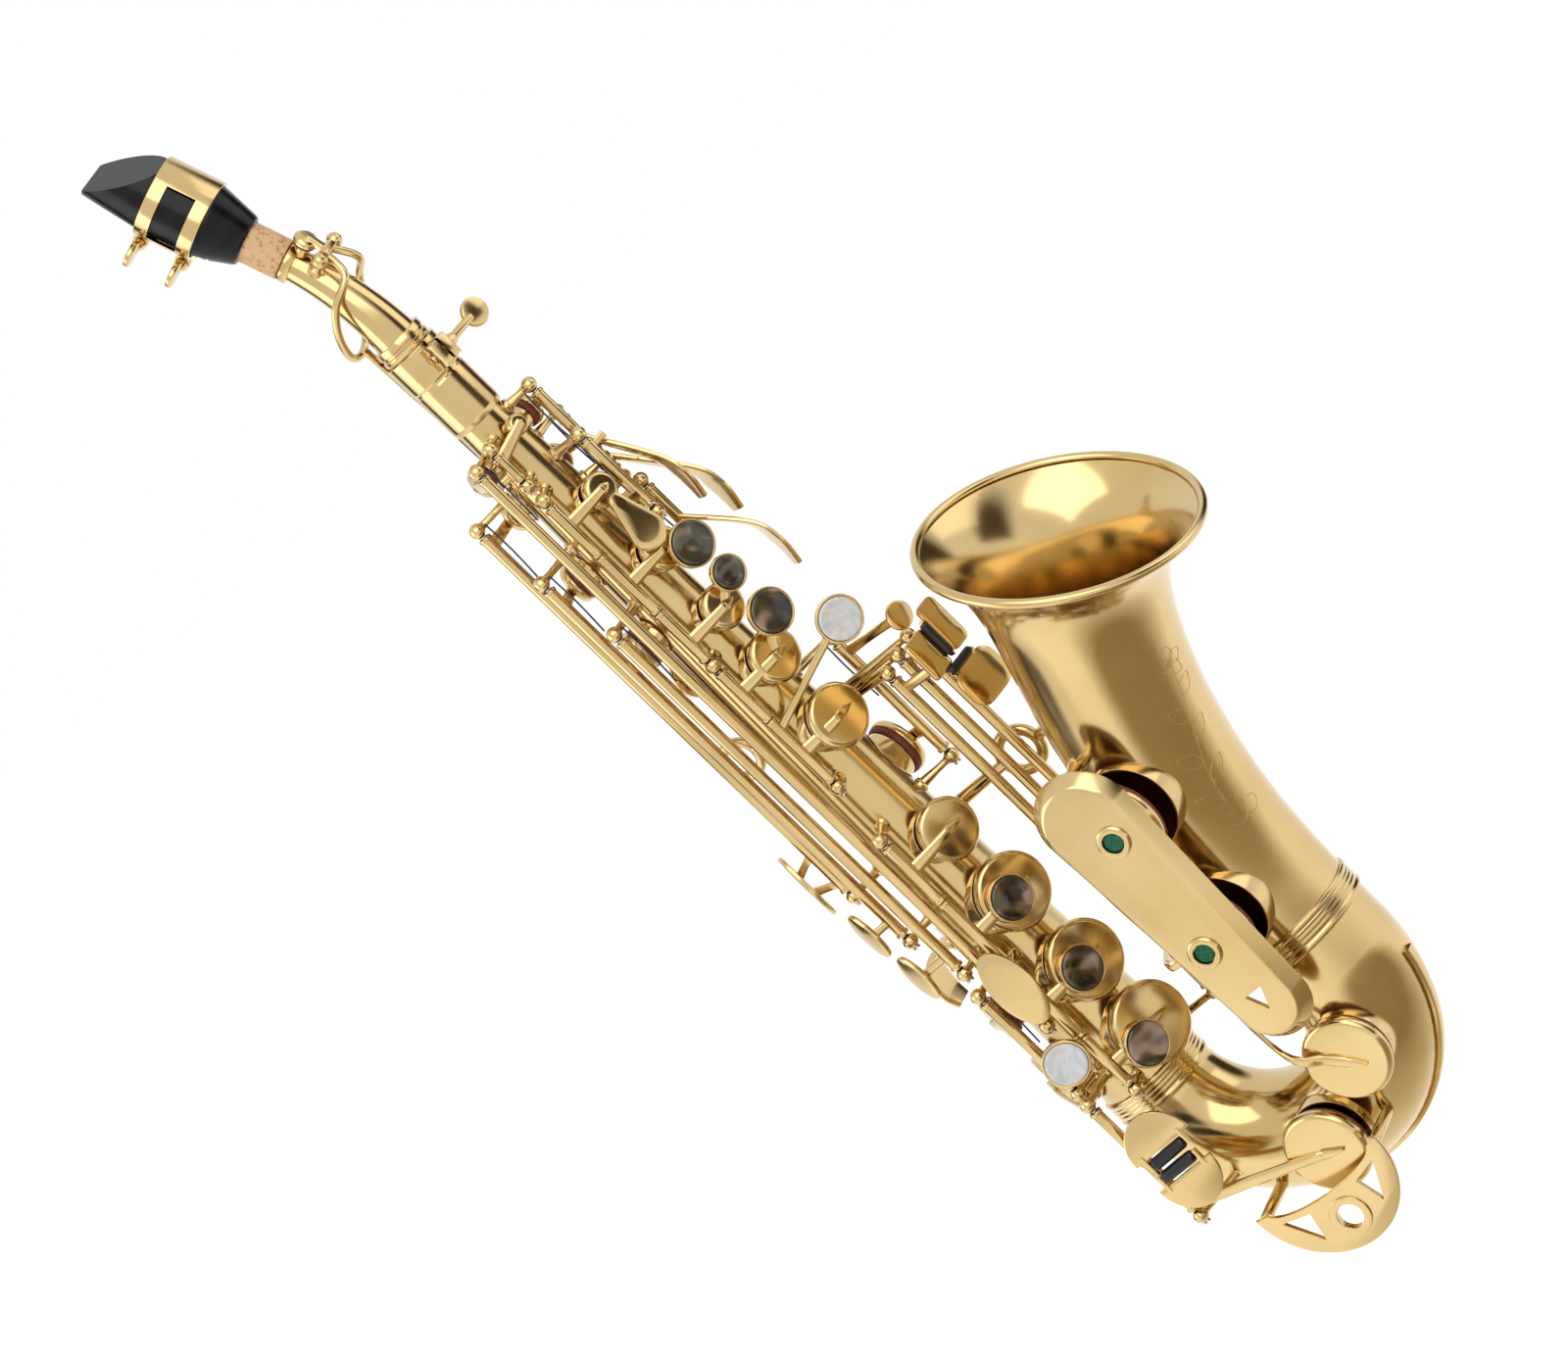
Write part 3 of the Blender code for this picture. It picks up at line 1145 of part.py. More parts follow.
# Guards, brace, strap ring and thumb fittings
def make_bell_key_guard():
    """The long plate over the two bell keys, on three feet, with a felt bumper over each cup."""
    out = around(GUARD_PSI)
    across = Z_AXIS.cross(out)
    middle = Vector((0.0, -GUARD_MIDDLE_Y, 0.0))
    inner = middle + out * GUARD_STAND
    rings = []
    for wider, rise in ((0.0, GUARD_THICK), (GUARD_SLOPE, -GUARD_SKIRT),
                        (GUARD_SLOPE - GUARD_THICK, -GUARD_SKIRT), (-GUARD_THICK, 0.0)):
        outline = stadium(GUARD_BOTTOM - GUARD_TOP, GUARD_TOP_RADIUS + wider, GUARD_END_RADIUS + wider, 8)
        rings.append([inner - Z_AXIS * (GUARD_TOP + a) + across * b + out * rise for a, b in outline])
    shells = [loft(rings)]
    cuts = []
    for d, tube in ((226.5, bell_clearance), (272.0, bell_clearance), (320.5, bow_clearance)):
        foot = foot_on(tube, middle - Z_AXIS * d, out, GUARD_FOOT)
        shells.append(rod(foot, inner - Z_AXIS * d + out * GUARD_THICK / 2.0, GUARD_FOOT))
    felts = {}
    for name in BELL_KEYS:
        hole = HOLES[name]
        crown = hole.seat() + hole.normal * (CUP_HEIGHT + ARM_THICK * 0.8 + BELL_LIFT)
        stand = (crown - middle).dot(out) + FELT_STAND
        spot = inner + across * (crown - middle).dot(across) + Z_AXIS * crown.z
        shells.append(rod(spot + out * 0.5, spot + out * (GUARD_THICK + 1.1), 5.6, CUP_SIDES))
        cuts.append(rod(spot - out * 3.0, spot + out * 6.0, FELT_RADIUS + GAP, CUP_SIDES))
        felts[name] = (spot + out * (stand - GUARD_STAND), spot + out * (GUARD_THICK + 0.4))
    tri = [(-3.2, -3.4), (-3.2, 3.4), (4.2, 0.0)]
    spot = inner - Z_AXIS * (GUARD_BOTTOM - 3.5) - out * 2.0
    cuts.append(plate(tri, spot, -Z_AXIS, across, GUARD_THICK + 4.0))
    fixed("bell_key_guard", shells, GOLD, cuts)
    for name, (low, high) in felts.items():
        fixed(name.replace("_key", "_felt"), [rod(low, high, FELT_RADIUS, CUP_SIDES)], FELT)


def make_bow_key_guard():
    """The crescent guard of the low C key: a ring between two arms that stand on the bow."""
    origin = Vector((-BOW_GUARD_X, -LEG_SPACING / 2.0, -BOW_GUARD_D))
    y_dir = Vector((0.0, -1.0, 0.0))
    outline = []
    for k in range(13):
        t = pi * k / 12.0
        outline.append((27.0 * cos(t), 27.0 * sin(t)))
    for k in range(1, 8):
        t = pi - pi * k / 8.0
        outline.append((23.0 * cos(t), 6.0 * sin(t)))
    shells = [plate(outline, origin, y_dir, -Z_AXIS, 1.6)]
    out = y_dir.cross(-Z_AXIS)
    for hand in (-1.0, 1.0):
        spot = origin + y_dir * hand * 24.6 - Z_AXIS * 1.6
        foot = foot_on(bow_clearance, Vector((0.0, spot.y, spot.z)), -out, 2.0, BOW_SAG)
        shells.append(rod(foot, spot + out * 0.8, 2.0))
    boss = origin - Z_AXIS * 16.0
    shells.append(rod(boss - out * 0.6, boss + out * 2.2, 7.0, CUP_SIDES))
    cuts = [rod(boss - out * 4.0, boss + out * 6.0, 4.4, CUP_SIDES)]
    for hand in (-1.0, 1.0):
        tri = [(hand * 10.5, 8.0), (hand * 20.5, 5.5), (hand * 13.0, 18.0)]
        cuts.append(plate(tri, origin - out * 3.0, y_dir, -Z_AXIS, 8.0))
    fixed("bow_key_guard", shells, GOLD, cuts)


def make_brace():
    """The brace between body and bell: a flat ring between two round feet."""
    brace_d = SIDE_LINES["gs_key"][3] + BRACE_BELOW_GS
    rise = BELL_RING - BELL_STRAIGHT - brace_d
    travel = BELL_STRAIGHT + BELL_CURVE_RADIUS * asin(rise / BELL_CURVE_RADIUS)
    centre, _, _ = bell_station(travel)
    body_point = at(BRACE_PSI, body_radius(brace_d) - WALL, brace_d)
    bell_point = centre + around(BRACE_BELL_PSI) * BELL_RING_RADIUS
    line = (bell_point - body_point).normalized()
    body_end = foot_on(body_clearance, body_point, line, BRACE_FOOT)
    bell_end = foot_on(bell_clearance, bell_point, -line, BRACE_FOOT)
    middle = (bell_end + body_end) / 2.0
    along = (bell_end - body_end).normalized()
    ring = [(BRACE_RING + 2.0 * cos(a), 1.6 * sin(a)) for a in [2.0 * pi * k / 6.0 for k in range(6)]]
    axis = along.cross(Z_AXIS).normalized()
    body_arm = rod(body_end, middle - along * (BRACE_RING - 1.0), BRACE_FOOT, ROD_SIDES, BRACE_ARM)
    bell_arm = rod(middle + along * (BRACE_RING - 1.0), bell_end, BRACE_ARM, ROD_SIDES, BRACE_FOOT)
    fixed("bell_brace", [lathe(middle, axis, ring, CUP_SIDES), body_arm, bell_arm])


def make_strap_ring():
    centre = STRAP_RING_CENTRE
    ring = []
    for k in range(6):
        a = 2.0 * pi * k / 6.0
        ring.append((STRAP_RING_RADIUS + STRAP_RING_WIRE * cos(a), STRAP_RING_WIRE * sin(a)))
    foot = at(-90.0, body_radius(STRAP_RING_D) + GAP, STRAP_RING_D)
    neck = at(-90.0, body_radius(STRAP_RING_D) + STRAP_RING_STAND - STRAP_RING_RADIUS, STRAP_RING_D)
    fixed("strap_ring", [lathe(centre, X_AXIS, ring, CUP_SIDES), rod(foot, neck, 2.8, ROD_SIDES, 2.0)])


def make_thumb_fittings():
    base = body_radius(THUMB_HOOK_D)
    path = [(1.0, 0.0), (7.0, -1.5), (12.5, 0.5), (15.5, 5.0), (16.5, 12.0), (15.5, 17.0)]
    points = [at(-90.0, base + h, THUMB_HOOK_D + drop) for h, drop in path]
    foot = rod(at(-90.0, base + GAP, THUMB_HOOK_D), at(-90.0, base + 2.4, THUMB_HOOK_D), 3.0, 10)
    fixed("thumb_hook", [bar(points, [9.0, 10.0, 12.0, 13.0, 12.0, 9.0], 2.0, X_AXIS), foot])
    base_point = at(-90.0, body_radius(THUMB_REST_D) + GAP, THUMB_REST_D)
    profile = [(0.0, 0.0), (2.6, 0.0), (3.0, 2.4), (7.0, 3.2), (7.2, 4.4), (5.5, 5.4), (0.0, 5.0)]
    fixed("thumb_rest", [lathe(base_point, around(-90.0), profile, SMALL_SIDES)])


make_body()
make_bow()
make_bell()
make_rings()
make_receiver()
make_neck()
make_neck_octave_key()
make_mouthpiece()
make_ligature()
make_stacks()
make_side_keys()
make_palm_keys()
make_low_keys()
make_table_keys()
make_octave_keys()
make_bell_key_guard()
make_bow_key_guard()
make_brace()
make_strap_ring()
make_thumb_fittings()
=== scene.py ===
# %% [markdown]
# # A curved soprano saxophone
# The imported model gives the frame: one object for each solid, already in its place, in metres.
# It is loaded first and never moved.  The lesson then dresses it piece by piece with finer meshes
# and with finishes made of shader nodes.

# %% Load the frame
from math import atan2, copysign, cos, exp, pi, radians, sin

import bmesh
import bpy
from mathutils import Matrix, Vector


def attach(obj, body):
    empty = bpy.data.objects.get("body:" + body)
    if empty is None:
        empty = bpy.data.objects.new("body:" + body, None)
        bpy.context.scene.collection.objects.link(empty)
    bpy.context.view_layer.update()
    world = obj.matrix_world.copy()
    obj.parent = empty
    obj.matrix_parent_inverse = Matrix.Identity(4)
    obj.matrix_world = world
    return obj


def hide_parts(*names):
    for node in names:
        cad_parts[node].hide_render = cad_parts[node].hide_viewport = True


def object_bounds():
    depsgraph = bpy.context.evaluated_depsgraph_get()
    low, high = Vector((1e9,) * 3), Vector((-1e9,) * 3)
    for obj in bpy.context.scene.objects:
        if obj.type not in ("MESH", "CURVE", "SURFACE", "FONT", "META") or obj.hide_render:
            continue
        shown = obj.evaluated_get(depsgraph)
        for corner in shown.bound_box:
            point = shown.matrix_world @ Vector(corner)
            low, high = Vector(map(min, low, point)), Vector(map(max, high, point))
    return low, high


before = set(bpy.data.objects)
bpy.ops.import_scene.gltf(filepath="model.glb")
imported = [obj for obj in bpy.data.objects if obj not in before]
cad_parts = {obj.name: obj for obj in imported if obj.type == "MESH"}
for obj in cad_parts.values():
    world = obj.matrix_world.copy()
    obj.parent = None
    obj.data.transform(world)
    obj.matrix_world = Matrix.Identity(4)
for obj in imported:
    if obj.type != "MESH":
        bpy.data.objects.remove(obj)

cad_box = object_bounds()
print("CAD box", cad_box)

# %% [markdown]
# The instrument maker's drawing is in millimetres, with its zero at the top of the neck receiver:
# Z runs up the body tube, -Y is the front with the bell, +Y the player, -X the player's right hand.
# The model's zero is the middle of the strap ring, so one shift and one scale bring a drawing point
# into the frame.  A place on the tube is given by an angle psi from the player's right towards the
# front, a distance h from the tube's axis and a distance d below the receiver's top.

# %% The drawing's axes
MM = 0.001
STRAP_RING = Vector((0.0, 23.55, -165.0))
X_AXIS = Vector((1.0, 0.0, 0.0))
Z_AXIS = Vector((0.0, 0.0, 1.0))
TO_FRAME = Matrix.Scale(MM, 4) @ Matrix.Translation(-STRAP_RING)


def around(psi):
    """Unit vector that points out of the body tube at the angle psi."""
    return Vector((-cos(radians(psi)), -sin(radians(psi)), 0.0))


def at(psi, h, d):
    """A point of the drawing by its angle, its distance from the tube's axis and its depth."""
    return around(psi) * h - Z_AXIS * d


print("receiver's top in the frame:", tuple(round(c, 4) for c in TO_FRAME @ Vector()))

# %% [markdown]
# The photograph looks at the player's right side, turned towards the front and a little from above,
# and the camera is rolled so that the body tube lies along the picture's diagonal.  The angles, the
# distance and the lens come from fitting the places of the bell's rim, the rings and the pearls.

# %% Camera
VIEW_TURN = 35.48
VIEW_RISE = 10.14
VIEW_ROLL = -45.84
VIEW_DISTANCE = 3.053
SENSOR_WIDTH = 36.0
IMAGE_WIDTH = 1600
FOCAL_PIXELS = 10200.0
AIM = Vector((-0.015, -0.0428, 0.0142))

turn, rise = radians(VIEW_TURN), radians(VIEW_RISE)
toward = Vector((-cos(rise) * cos(turn), -cos(rise) * sin(turn), sin(rise)))
level = Z_AXIS.cross(toward).normalized()
roll = radians(VIEW_ROLL)
right = level * cos(roll) + toward.cross(level) * sin(roll)
up = toward.cross(right)
lens = bpy.data.cameras.new("photo_camera")
lens.sensor_width = SENSOR_WIDTH
lens.lens = FOCAL_PIXELS / IMAGE_WIDTH * SENSOR_WIDTH
camera = bpy.data.objects.new("photo_camera", lens)
turned = Matrix((right, up, toward)).transposed().to_4x4()
camera.matrix_world = Matrix.Translation(AIM + toward * VIEW_DISTANCE) @ turned
scene = bpy.context.scene
scene.collection.objects.link(camera)
scene.camera = camera
print("camera", round(lens.lens, 1), "mm lens at", tuple(round(c, 3) for c in camera.location))

# %% [markdown]
# Every finish is made of shader nodes.  Colours are written as they look on a screen, in hex, and one
# function turns them into the linear values that shaders work with.  One more function adds a node of any
# kind, because a node is always the same four things: its settings, its sources, its stops and its target.

# %% Colours and nodes
def linear(code):
    """An sRGB hex colour as the linear colour that shaders work with."""
    parts = [int(code[k:k + 2], 16) / 255.0 for k in (1, 3, 5)]
    return tuple(c / 12.92 if c <= 0.04045 else ((c + 0.055) / 1.055) ** 2.4 for c in parts) + (1.0,)


def add(tree, kind, settings=None, links=None, stops=(), into=None):
    """Adds a shader node: its settings, the sources of its inputs, a ramp's stops and what it feeds."""
    node = tree.nodes.new("ShaderNode" + kind)
    for name, value in (settings or {}).items():
        if isinstance(name, int) or name in node.inputs:
            node.inputs[name].default_value = value
        else:
            setattr(node, name, value)
    for name, source in (links or {}).items():
        tree.links.new(source, node.inputs[name])
    for k, (place, colour) in enumerate(stops):
        element = node.color_ramp.elements[k] if k < 2 else node.color_ramp.elements.new(place)
        element.position = place
        element.color = linear(colour)
    if into:
        tree.links.new(node.outputs[0], into)
    return node


print("middle grey is", round(linear("#808080")[0], 3), "in linear light")

# %% [markdown]
# Small bright metal is photographed in a white tent, so that the brass has something pale to mirror.  The
# world is plain white to the camera, in mirrors and through anything clear, and a little dimmer for the
# soft light that falls on the object.  A lit picture of a room would do it too, but would need a file.

# %% White tent
def seen_straight(tree):
    """A value that is 1 for rays from the camera, in mirrors and through clear things, and else 0."""
    ray = add(tree, "LightPath")
    mirrored = add(tree, "Math", {"operation": "MAXIMUM"},
                   {0: ray.outputs["Is Glossy Ray"], 1: ray.outputs["Is Transmission Ray"]})
    seen = add(tree, "Math", {"operation": "MAXIMUM"},
               {0: ray.outputs["Is Camera Ray"], 1: mirrored.outputs[0]})
    return seen.outputs[0]


WHITE = (1.0, 1.0, 1.0, 1.0)
scene.view_settings.view_transform = "Standard"
world = bpy.data.worlds.new("studio")
scene.world = world
world.use_nodes = True
sky = world.node_tree
sky.nodes.clear()
dim = add(sky, "Background", {"Color": linear("#F6F4F0"), "Strength": 0.55})
white = add(sky, "Background", {"Color": WHITE, "Strength": 1.0})
both = add(sky, "MixShader", {}, {"Fac": seen_straight(sky), 1: dim.outputs[0], 2: white.outputs[0]})
add(sky, "OutputWorld", {}, {"Surface": both.outputs[0]})
print("world of", len(sky.nodes), "nodes")

# %% [markdown]
# Three large soft boxes give the form its lighter and darker sides: a window from the front and above, a
# weaker one from behind the player's right shoulder and a small one for the bell.  They are area lamps,
# whose size makes the shadows soft.

# %% Soft boxes
lamps = (("window_soft_box", (-0.75, -0.75, 0.85), 1.2, 7.0),
         ("side_soft_box", (-0.55, 0.75, 0.25), 0.8, 3.0),
         ("bell_strip", (0.5, -0.95, 0.35), 0.7, 1.0))
for name, spot, size, watts in lamps:
    data = bpy.data.lights.new(name, "AREA")
    data.size = size
    data.energy = watts
    lamp = bpy.data.objects.new(name, data)
    lamp.location = spot
    lamp.rotation_euler = (AIM - lamp.location).to_track_quat("-Z", "Y").to_euler()
    scene.collection.objects.link(lamp)
print("lamps", [name for name, _, _, _ in lamps])

# %% [markdown]
# The floor is a pale painted board below the instrument, which hangs from its strap ring.  A faint
# mottle keeps it from being a flat colour, and to the camera it is as white as the world, less the
# shadow: the plain board carries the shadow, and the camera and the mirrors see it brightened.

# %% Floor
FLOOR_DROP = 0.12
FLOOR_SIZE = 6.0
FLOOR_MOTTLE = 30.0  # patches to the metre


def new_finish(name, roughness, metallic=0.0):
    """A material with its tree, its shader and the piece's own coordinates in metres."""
    material = bpy.data.materials.new(name)
    material.use_nodes = True
    nodes = material.node_tree
    shader = nodes.nodes["Principled BSDF"]
    shader.inputs["Roughness"].default_value = roughness
    shader.inputs["Metallic"].default_value = metallic
    return material, nodes, shader, add(nodes, "TexCoord").outputs["Object"]


paint, tree, shader, spot = new_finish("painted_board_sprayed_white", 0.6)
grain = add(tree, "TexNoise", {"Scale": FLOOR_MOTTLE, "Detail": 4.0}, {"Vector": spot})
add(tree, "ValToRGB", {}, {"Fac": grain.outputs["Fac"]}, [(0.3, "#F7F6F4"), (0.7, "#FCFBFA")],
    shader.inputs["Base Color"])
glow = add(tree, "Emission", {"Color": WHITE, "Strength": 0.5})
lit = add(tree, "AddShader", {}, {0: shader.outputs[0], 1: glow.outputs[0]})
add(tree, "MixShader", {}, {"Fac": seen_straight(tree), 1: shader.outputs[0], 2: lit.outputs[0]},
    into=tree.nodes["Material Output"].inputs["Surface"])
board = bmesh.new()
bmesh.ops.create_grid(board, x_segments=8, y_segments=8, size=FLOOR_SIZE / 2.0)
mesh = bpy.data.meshes.new("floor")
board.to_mesh(mesh)
board.free()
mesh.materials.append(paint)
floor = bpy.data.objects.new("floor", mesh)
floor.location.z = cad_box[0][2] - FLOOR_DROP
scene.collection.objects.link(floor)
print("floor at", round(floor.location.z, 3))

# %% [markdown]
# Nearly every part is drawn or cast yellow brass, buffed bright and sprayed with a clear lacquer that
# is baked on.  The buff leaves a mirror with faint streaks, and the lacquer adds a warm gold tone that
# is a little uneven over some 25 mm, and a very slight orange peel.  A metal's colour is its mirror
# colour, so the base colour carries the gold and metallic is 1.

# %% Lacquered brass
LACQUER_CLOUD = 0.025
LACQUER_PEEL = 0.0022  # the real peel is under 1 mm and is drawn coarser so that it shows
brass, tree, shader, spot = new_finish("lacquered_brass_buffed", 0.16, 1.0)
cloud = add(tree, "TexNoise", {"Scale": 1.0 / LACQUER_CLOUD, "Detail": 2.0}, {"Vector": spot})
add(tree, "ValToRGB", {}, {"Fac": cloud.outputs["Fac"]}, [(0.25, "#C9AC72"), (0.75, "#D5BB86")],
    shader.inputs["Base Color"])
add(tree, "ValToRGB", {}, {"Fac": cloud.outputs["Fac"]}, [(0.3, "#666666"), (0.8, "#7E7E7E")],
    shader.inputs["Roughness"])
peel = add(tree, "TexNoise", {"Scale": 1.0 / LACQUER_PEEL, "Detail": 1.0}, {"Vector": spot})
add(tree, "Bump", {"Strength": 0.04, "Distance": 0.0002}, {"Height": peel.outputs["Fac"]},
    into=shader.inputs["Normal"])
shader.inputs["Coat Weight"].default_value = 0.35
shader.inputs["Coat Roughness"].default_value = 0.06
print("brass roughness from", round(linear("#666666")[0], 3), "to", round(linear("#7E7E7E")[0], 3))

# %% [markdown]
# The mouthpiece is ebonite, a hard black rubber, turned and buffed: a deep black with a soft shine and
# hair lines round it from the lathe.  The rollers are black acetal, moulded, a little more even.

# %% Black ebonite and acetal
WAVE_RADIANS = 20.0  # a wave texture of scale 1 runs through 20 radians in each unit
TURNING_WAVE = 0.0011  # metres to a radian: real turning lines are 0.1 mm apart, and too fine to show
ebonite, tree, shader, spot = new_finish("ebonite_turned", 0.22)
shader.inputs["IOR"].default_value = 1.6
shader.inputs["Specular IOR Level"].default_value = 0.16  # rubbed rubber is waxy and mirrors less than glass
lines = add(tree, "TexWave", {"Scale": 1.0 / TURNING_WAVE / WAVE_RADIANS, "Distortion": 2.0,
                              "bands_direction": "Z"}, {"Vector": spot})
add(tree, "ValToRGB", {}, {"Fac": lines.outputs["Fac"]}, [(0.0, "#08080A"), (1.0, "#131315")],
    shader.inputs["Base Color"])
add(tree, "Bump", {"Strength": 0.05, "Distance": 0.0001}, {"Height": lines.outputs["Fac"]},
    into=shader.inputs["Normal"])

ACETAL_MOTTLE = 0.003
acetal, tree, shader, spot = new_finish("acetal_moulded_black", 0.28)
shader.inputs["IOR"].default_value = 1.48
mottle = add(tree, "TexNoise", {"Scale": 1.0 / ACETAL_MOTTLE}, {"Vector": spot})
add(tree, "ValToRGB", {}, {"Fac": mottle.outputs["Fac"]}, [(0.3, "#0B0B0C"), (0.7, "#161617")],
    shader.inputs["Base Color"])
print("made", ebonite.name, acetal.name)

# %% [markdown]
# Cork sheet is glued round the neck's end and sanded round.  It is tan, with darker pores and lenticels
# of one or two millimetres, and quite matt.  The reed is a slip of cane, straw yellow with fibres along
# its length, cut and sanded.

# %% Cork and cane
CORK_GRAIN = 0.0016
cork, tree, shader, spot = new_finish("cork_sheet_sanded", 0.85)
cells = add(tree, "TexVoronoi", {"Scale": 1.0 / CORK_GRAIN}, {"Vector": spot})
pores = add(tree, "TexNoise", {"Scale": 0.6 / CORK_GRAIN, "Detail": 4.0}, {"Vector": spot})
mixed = add(tree, "Math", {"operation": "MULTIPLY"}, {0: cells.outputs["Distance"], 1: pores.outputs["Fac"]})
add(tree, "ValToRGB", {}, {"Fac": mixed.outputs[0]},
    [(0.08, "#B88660"), (0.30, "#E2BB8F"), (0.16, "#D6AA7D")], shader.inputs["Base Color"])
add(tree, "Bump", {"Strength": 0.3, "Distance": 0.0003}, {"Height": mixed.outputs[0]},
    into=shader.inputs["Normal"])

CANE_FIBRE = 0.0008
cane, tree, shader, spot = new_finish("cane_planed", 0.55)
stretch = (1.0 / CANE_FIBRE, 0.1 / CANE_FIBRE, 0.04 / CANE_FIBRE)
along = add(tree, "Mapping", {"Scale": stretch}, {"Vector": spot})
fibre = add(tree, "TexNoise", {"Scale": 1.0, "Detail": 3.0}, {"Vector": along.outputs["Vector"]})
add(tree, "ValToRGB", {}, {"Fac": fibre.outputs["Fac"]}, [(0.3, "#C9A968"), (0.7, "#E7D09A")],
    shader.inputs["Base Color"])
print("cork grain", CORK_GRAIN / MM, "mm, cane fibre", CANE_FIBRE / MM, "mm")

# %% [markdown]
# The finger touches are discs of shell, sawn, dished and polished.  The dark ones are abalone: grey to
# brown with green and rose bands that swirl over a few millimetres.  The white ones are mother of pearl
# with faint cool and warm bands.  Both have a hard gloss, so roughness is low and the coat is clear.

# %% Shell touches
SHELL_BAND = 0.011


def shell_finish(name, roughness, swirl, coat, tones):
    """A polished shell: bands of the given tones, bent by swirl, under a clear coat."""
    material, tree, shader, spot = new_finish(name, roughness)
    bands = add(tree, "TexNoise", {"Scale": 1.0 / SHELL_BAND, "Detail": 1.0, "Distortion": swirl},
                {"Vector": spot})
    add(tree, "ValToRGB", {}, {"Fac": bands.outputs["Fac"]}, tones, shader.inputs["Base Color"])
    shader.inputs["Coat Weight"].default_value = coat
    return material


dark_shell = shell_finish("abalone_polished", 0.14, 1.2, 0.35, [
    (0.34, "#1F1A14"), (0.66, "#A08A7A"), (0.44, "#453626"), (0.51, "#46442F"), (0.58, "#7F6756")])
white_shell = shell_finish("mother_of_pearl_polished", 0.16, 2.0, 0.6, [
    (0.3, "#C6CBCE"), (0.7, "#E9E7E2"), (0.45, "#D9DDDF"), (0.56, "#D6CFD0")])
print("shell bands of", SHELL_BAND / MM, "mm")

# %% [markdown]
# The soft stops are green felt in the guards and key pads of tanned leather over felt.  Felt is pressed
# wool, matt with a fibrous mottle, and the leather has a pebble of nearly a millimetre.  Springs are
# blued steel needles, and the screws are bright turned steel.

# %% Felt, leather and steel
FELT_TUFT = 0.0009
LEATHER_PEBBLE = 0.0008
TEMPER_BAND = 0.004
finishes = {}
for name, low, high, size, roughness in (("felt_green_pressed", "#0E4B34", "#2A7A58", FELT_TUFT, 0.95),
                                         ("pad_leather_tanned", "#552418", "#8C432B", LEATHER_PEBBLE, 0.6)):
    finishes[name], tree, shader, spot = new_finish(name, roughness)
    tuft = add(tree, "TexNoise", {"Scale": 1.0 / size, "Detail": 5.0}, {"Vector": spot})
    add(tree, "ValToRGB", {}, {"Fac": tuft.outputs["Fac"]}, [(0.3, low), (0.7, high)],
        shader.inputs["Base Color"])
    add(tree, "Bump", {"Strength": 0.4, "Distance": 0.0002}, {"Height": tuft.outputs["Fac"]},
        into=shader.inputs["Normal"])
for name, low, high, roughness in (("spring_steel_blued", "#27344F", "#4A5F86", 0.3),
                                   ("steel_turned_bright", "#B9B6AE", "#D8D5CC", 0.25)):
    finishes[name], tree, shader, spot = new_finish(name, roughness, 1.0)
    temper = add(tree, "TexNoise", {"Scale": 1.0 / TEMPER_BAND}, {"Vector": spot})
    add(tree, "ValToRGB", {}, {"Fac": temper.outputs["Fac"]}, [(0.3, low), (0.7, high)],
        shader.inputs["Base Color"])
print("made", list(finishes))

# %% [markdown]
# A tent that is white all round leaves a mirror without form, so a photographer stands grey cards beside
# the camera.  Each shows in the brass as a soft darker line.  They are sheets of painted gauze that fade
# to clear at their edges, placed by their angle to the left or right of the camera, and only mirrors see
# them.  The bell leans over the floor and mirrors that, so one paler card lies flat in front of it.

# %% Grey cards
CARD_DISTANCE = 1.6
CARD_OVER_FLOOR = 0.02
GAUZE_FLECK = 0.05
gauze = {}
for name, dark, light in (("gauze_painted_grey", "#3E3123", "#4D3D2C"),
                          ("gauze_painted_buff", "#AD9B7C", "#BAA889")):
    gauze[name], tree, shader, spot = new_finish(name, 0.9)
    fleck = add(tree, "TexNoise", {"Scale": 1.0 / GAUZE_FLECK}, {"Vector": spot})
    add(tree, "ValToRGB", {}, {"Fac": fleck.outputs["Fac"]}, [(0.3, dark), (0.7, light)],
        shader.inputs["Base Color"])
    middle = add(tree, "Mapping", {"Location": (-1.0, -1.0, -1.0), "Scale": (2.0, 2.0, 2.0)},
                 {"Vector": add(tree, "TexCoord").outputs["Generated"]})
    fade = add(tree, "TexGradient", {"gradient_type": "SPHERICAL"}, {"Vector": middle.outputs["Vector"]})
    add(tree, "ValToRGB", {}, {"Fac": fade.outputs["Fac"]}, [(0.0, "#000000"), (0.45, "#FFFFFF")],
        shader.inputs["Alpha"])


def card_on_edge(turned, width, low, high):
    """The rows of a standing card's points."""
    way = around(VIEW_TURN + turned)
    across = Z_AXIS.cross(way) * width / 2.0
    return [[AIM + way * CARD_DISTANCE + across * side + Z_AXIS * height for side in (-1.0, 0.0, 1.0)]
            for height in (low, (low + high) / 2.0, high)]


def card_on_floor(turned, away, width, depth):
    """The rows of a lying card's points, just over the floor."""
    middle = AIM + around(VIEW_TURN + turned) * away
    height = floor.location.z + CARD_OVER_FLOOR
    return [[Vector((middle.x + width * side, middle.y + depth * row, height)) for side in (-0.5, 0.0, 0.5)]
            for row in (-0.5, 0.0, 0.5)]


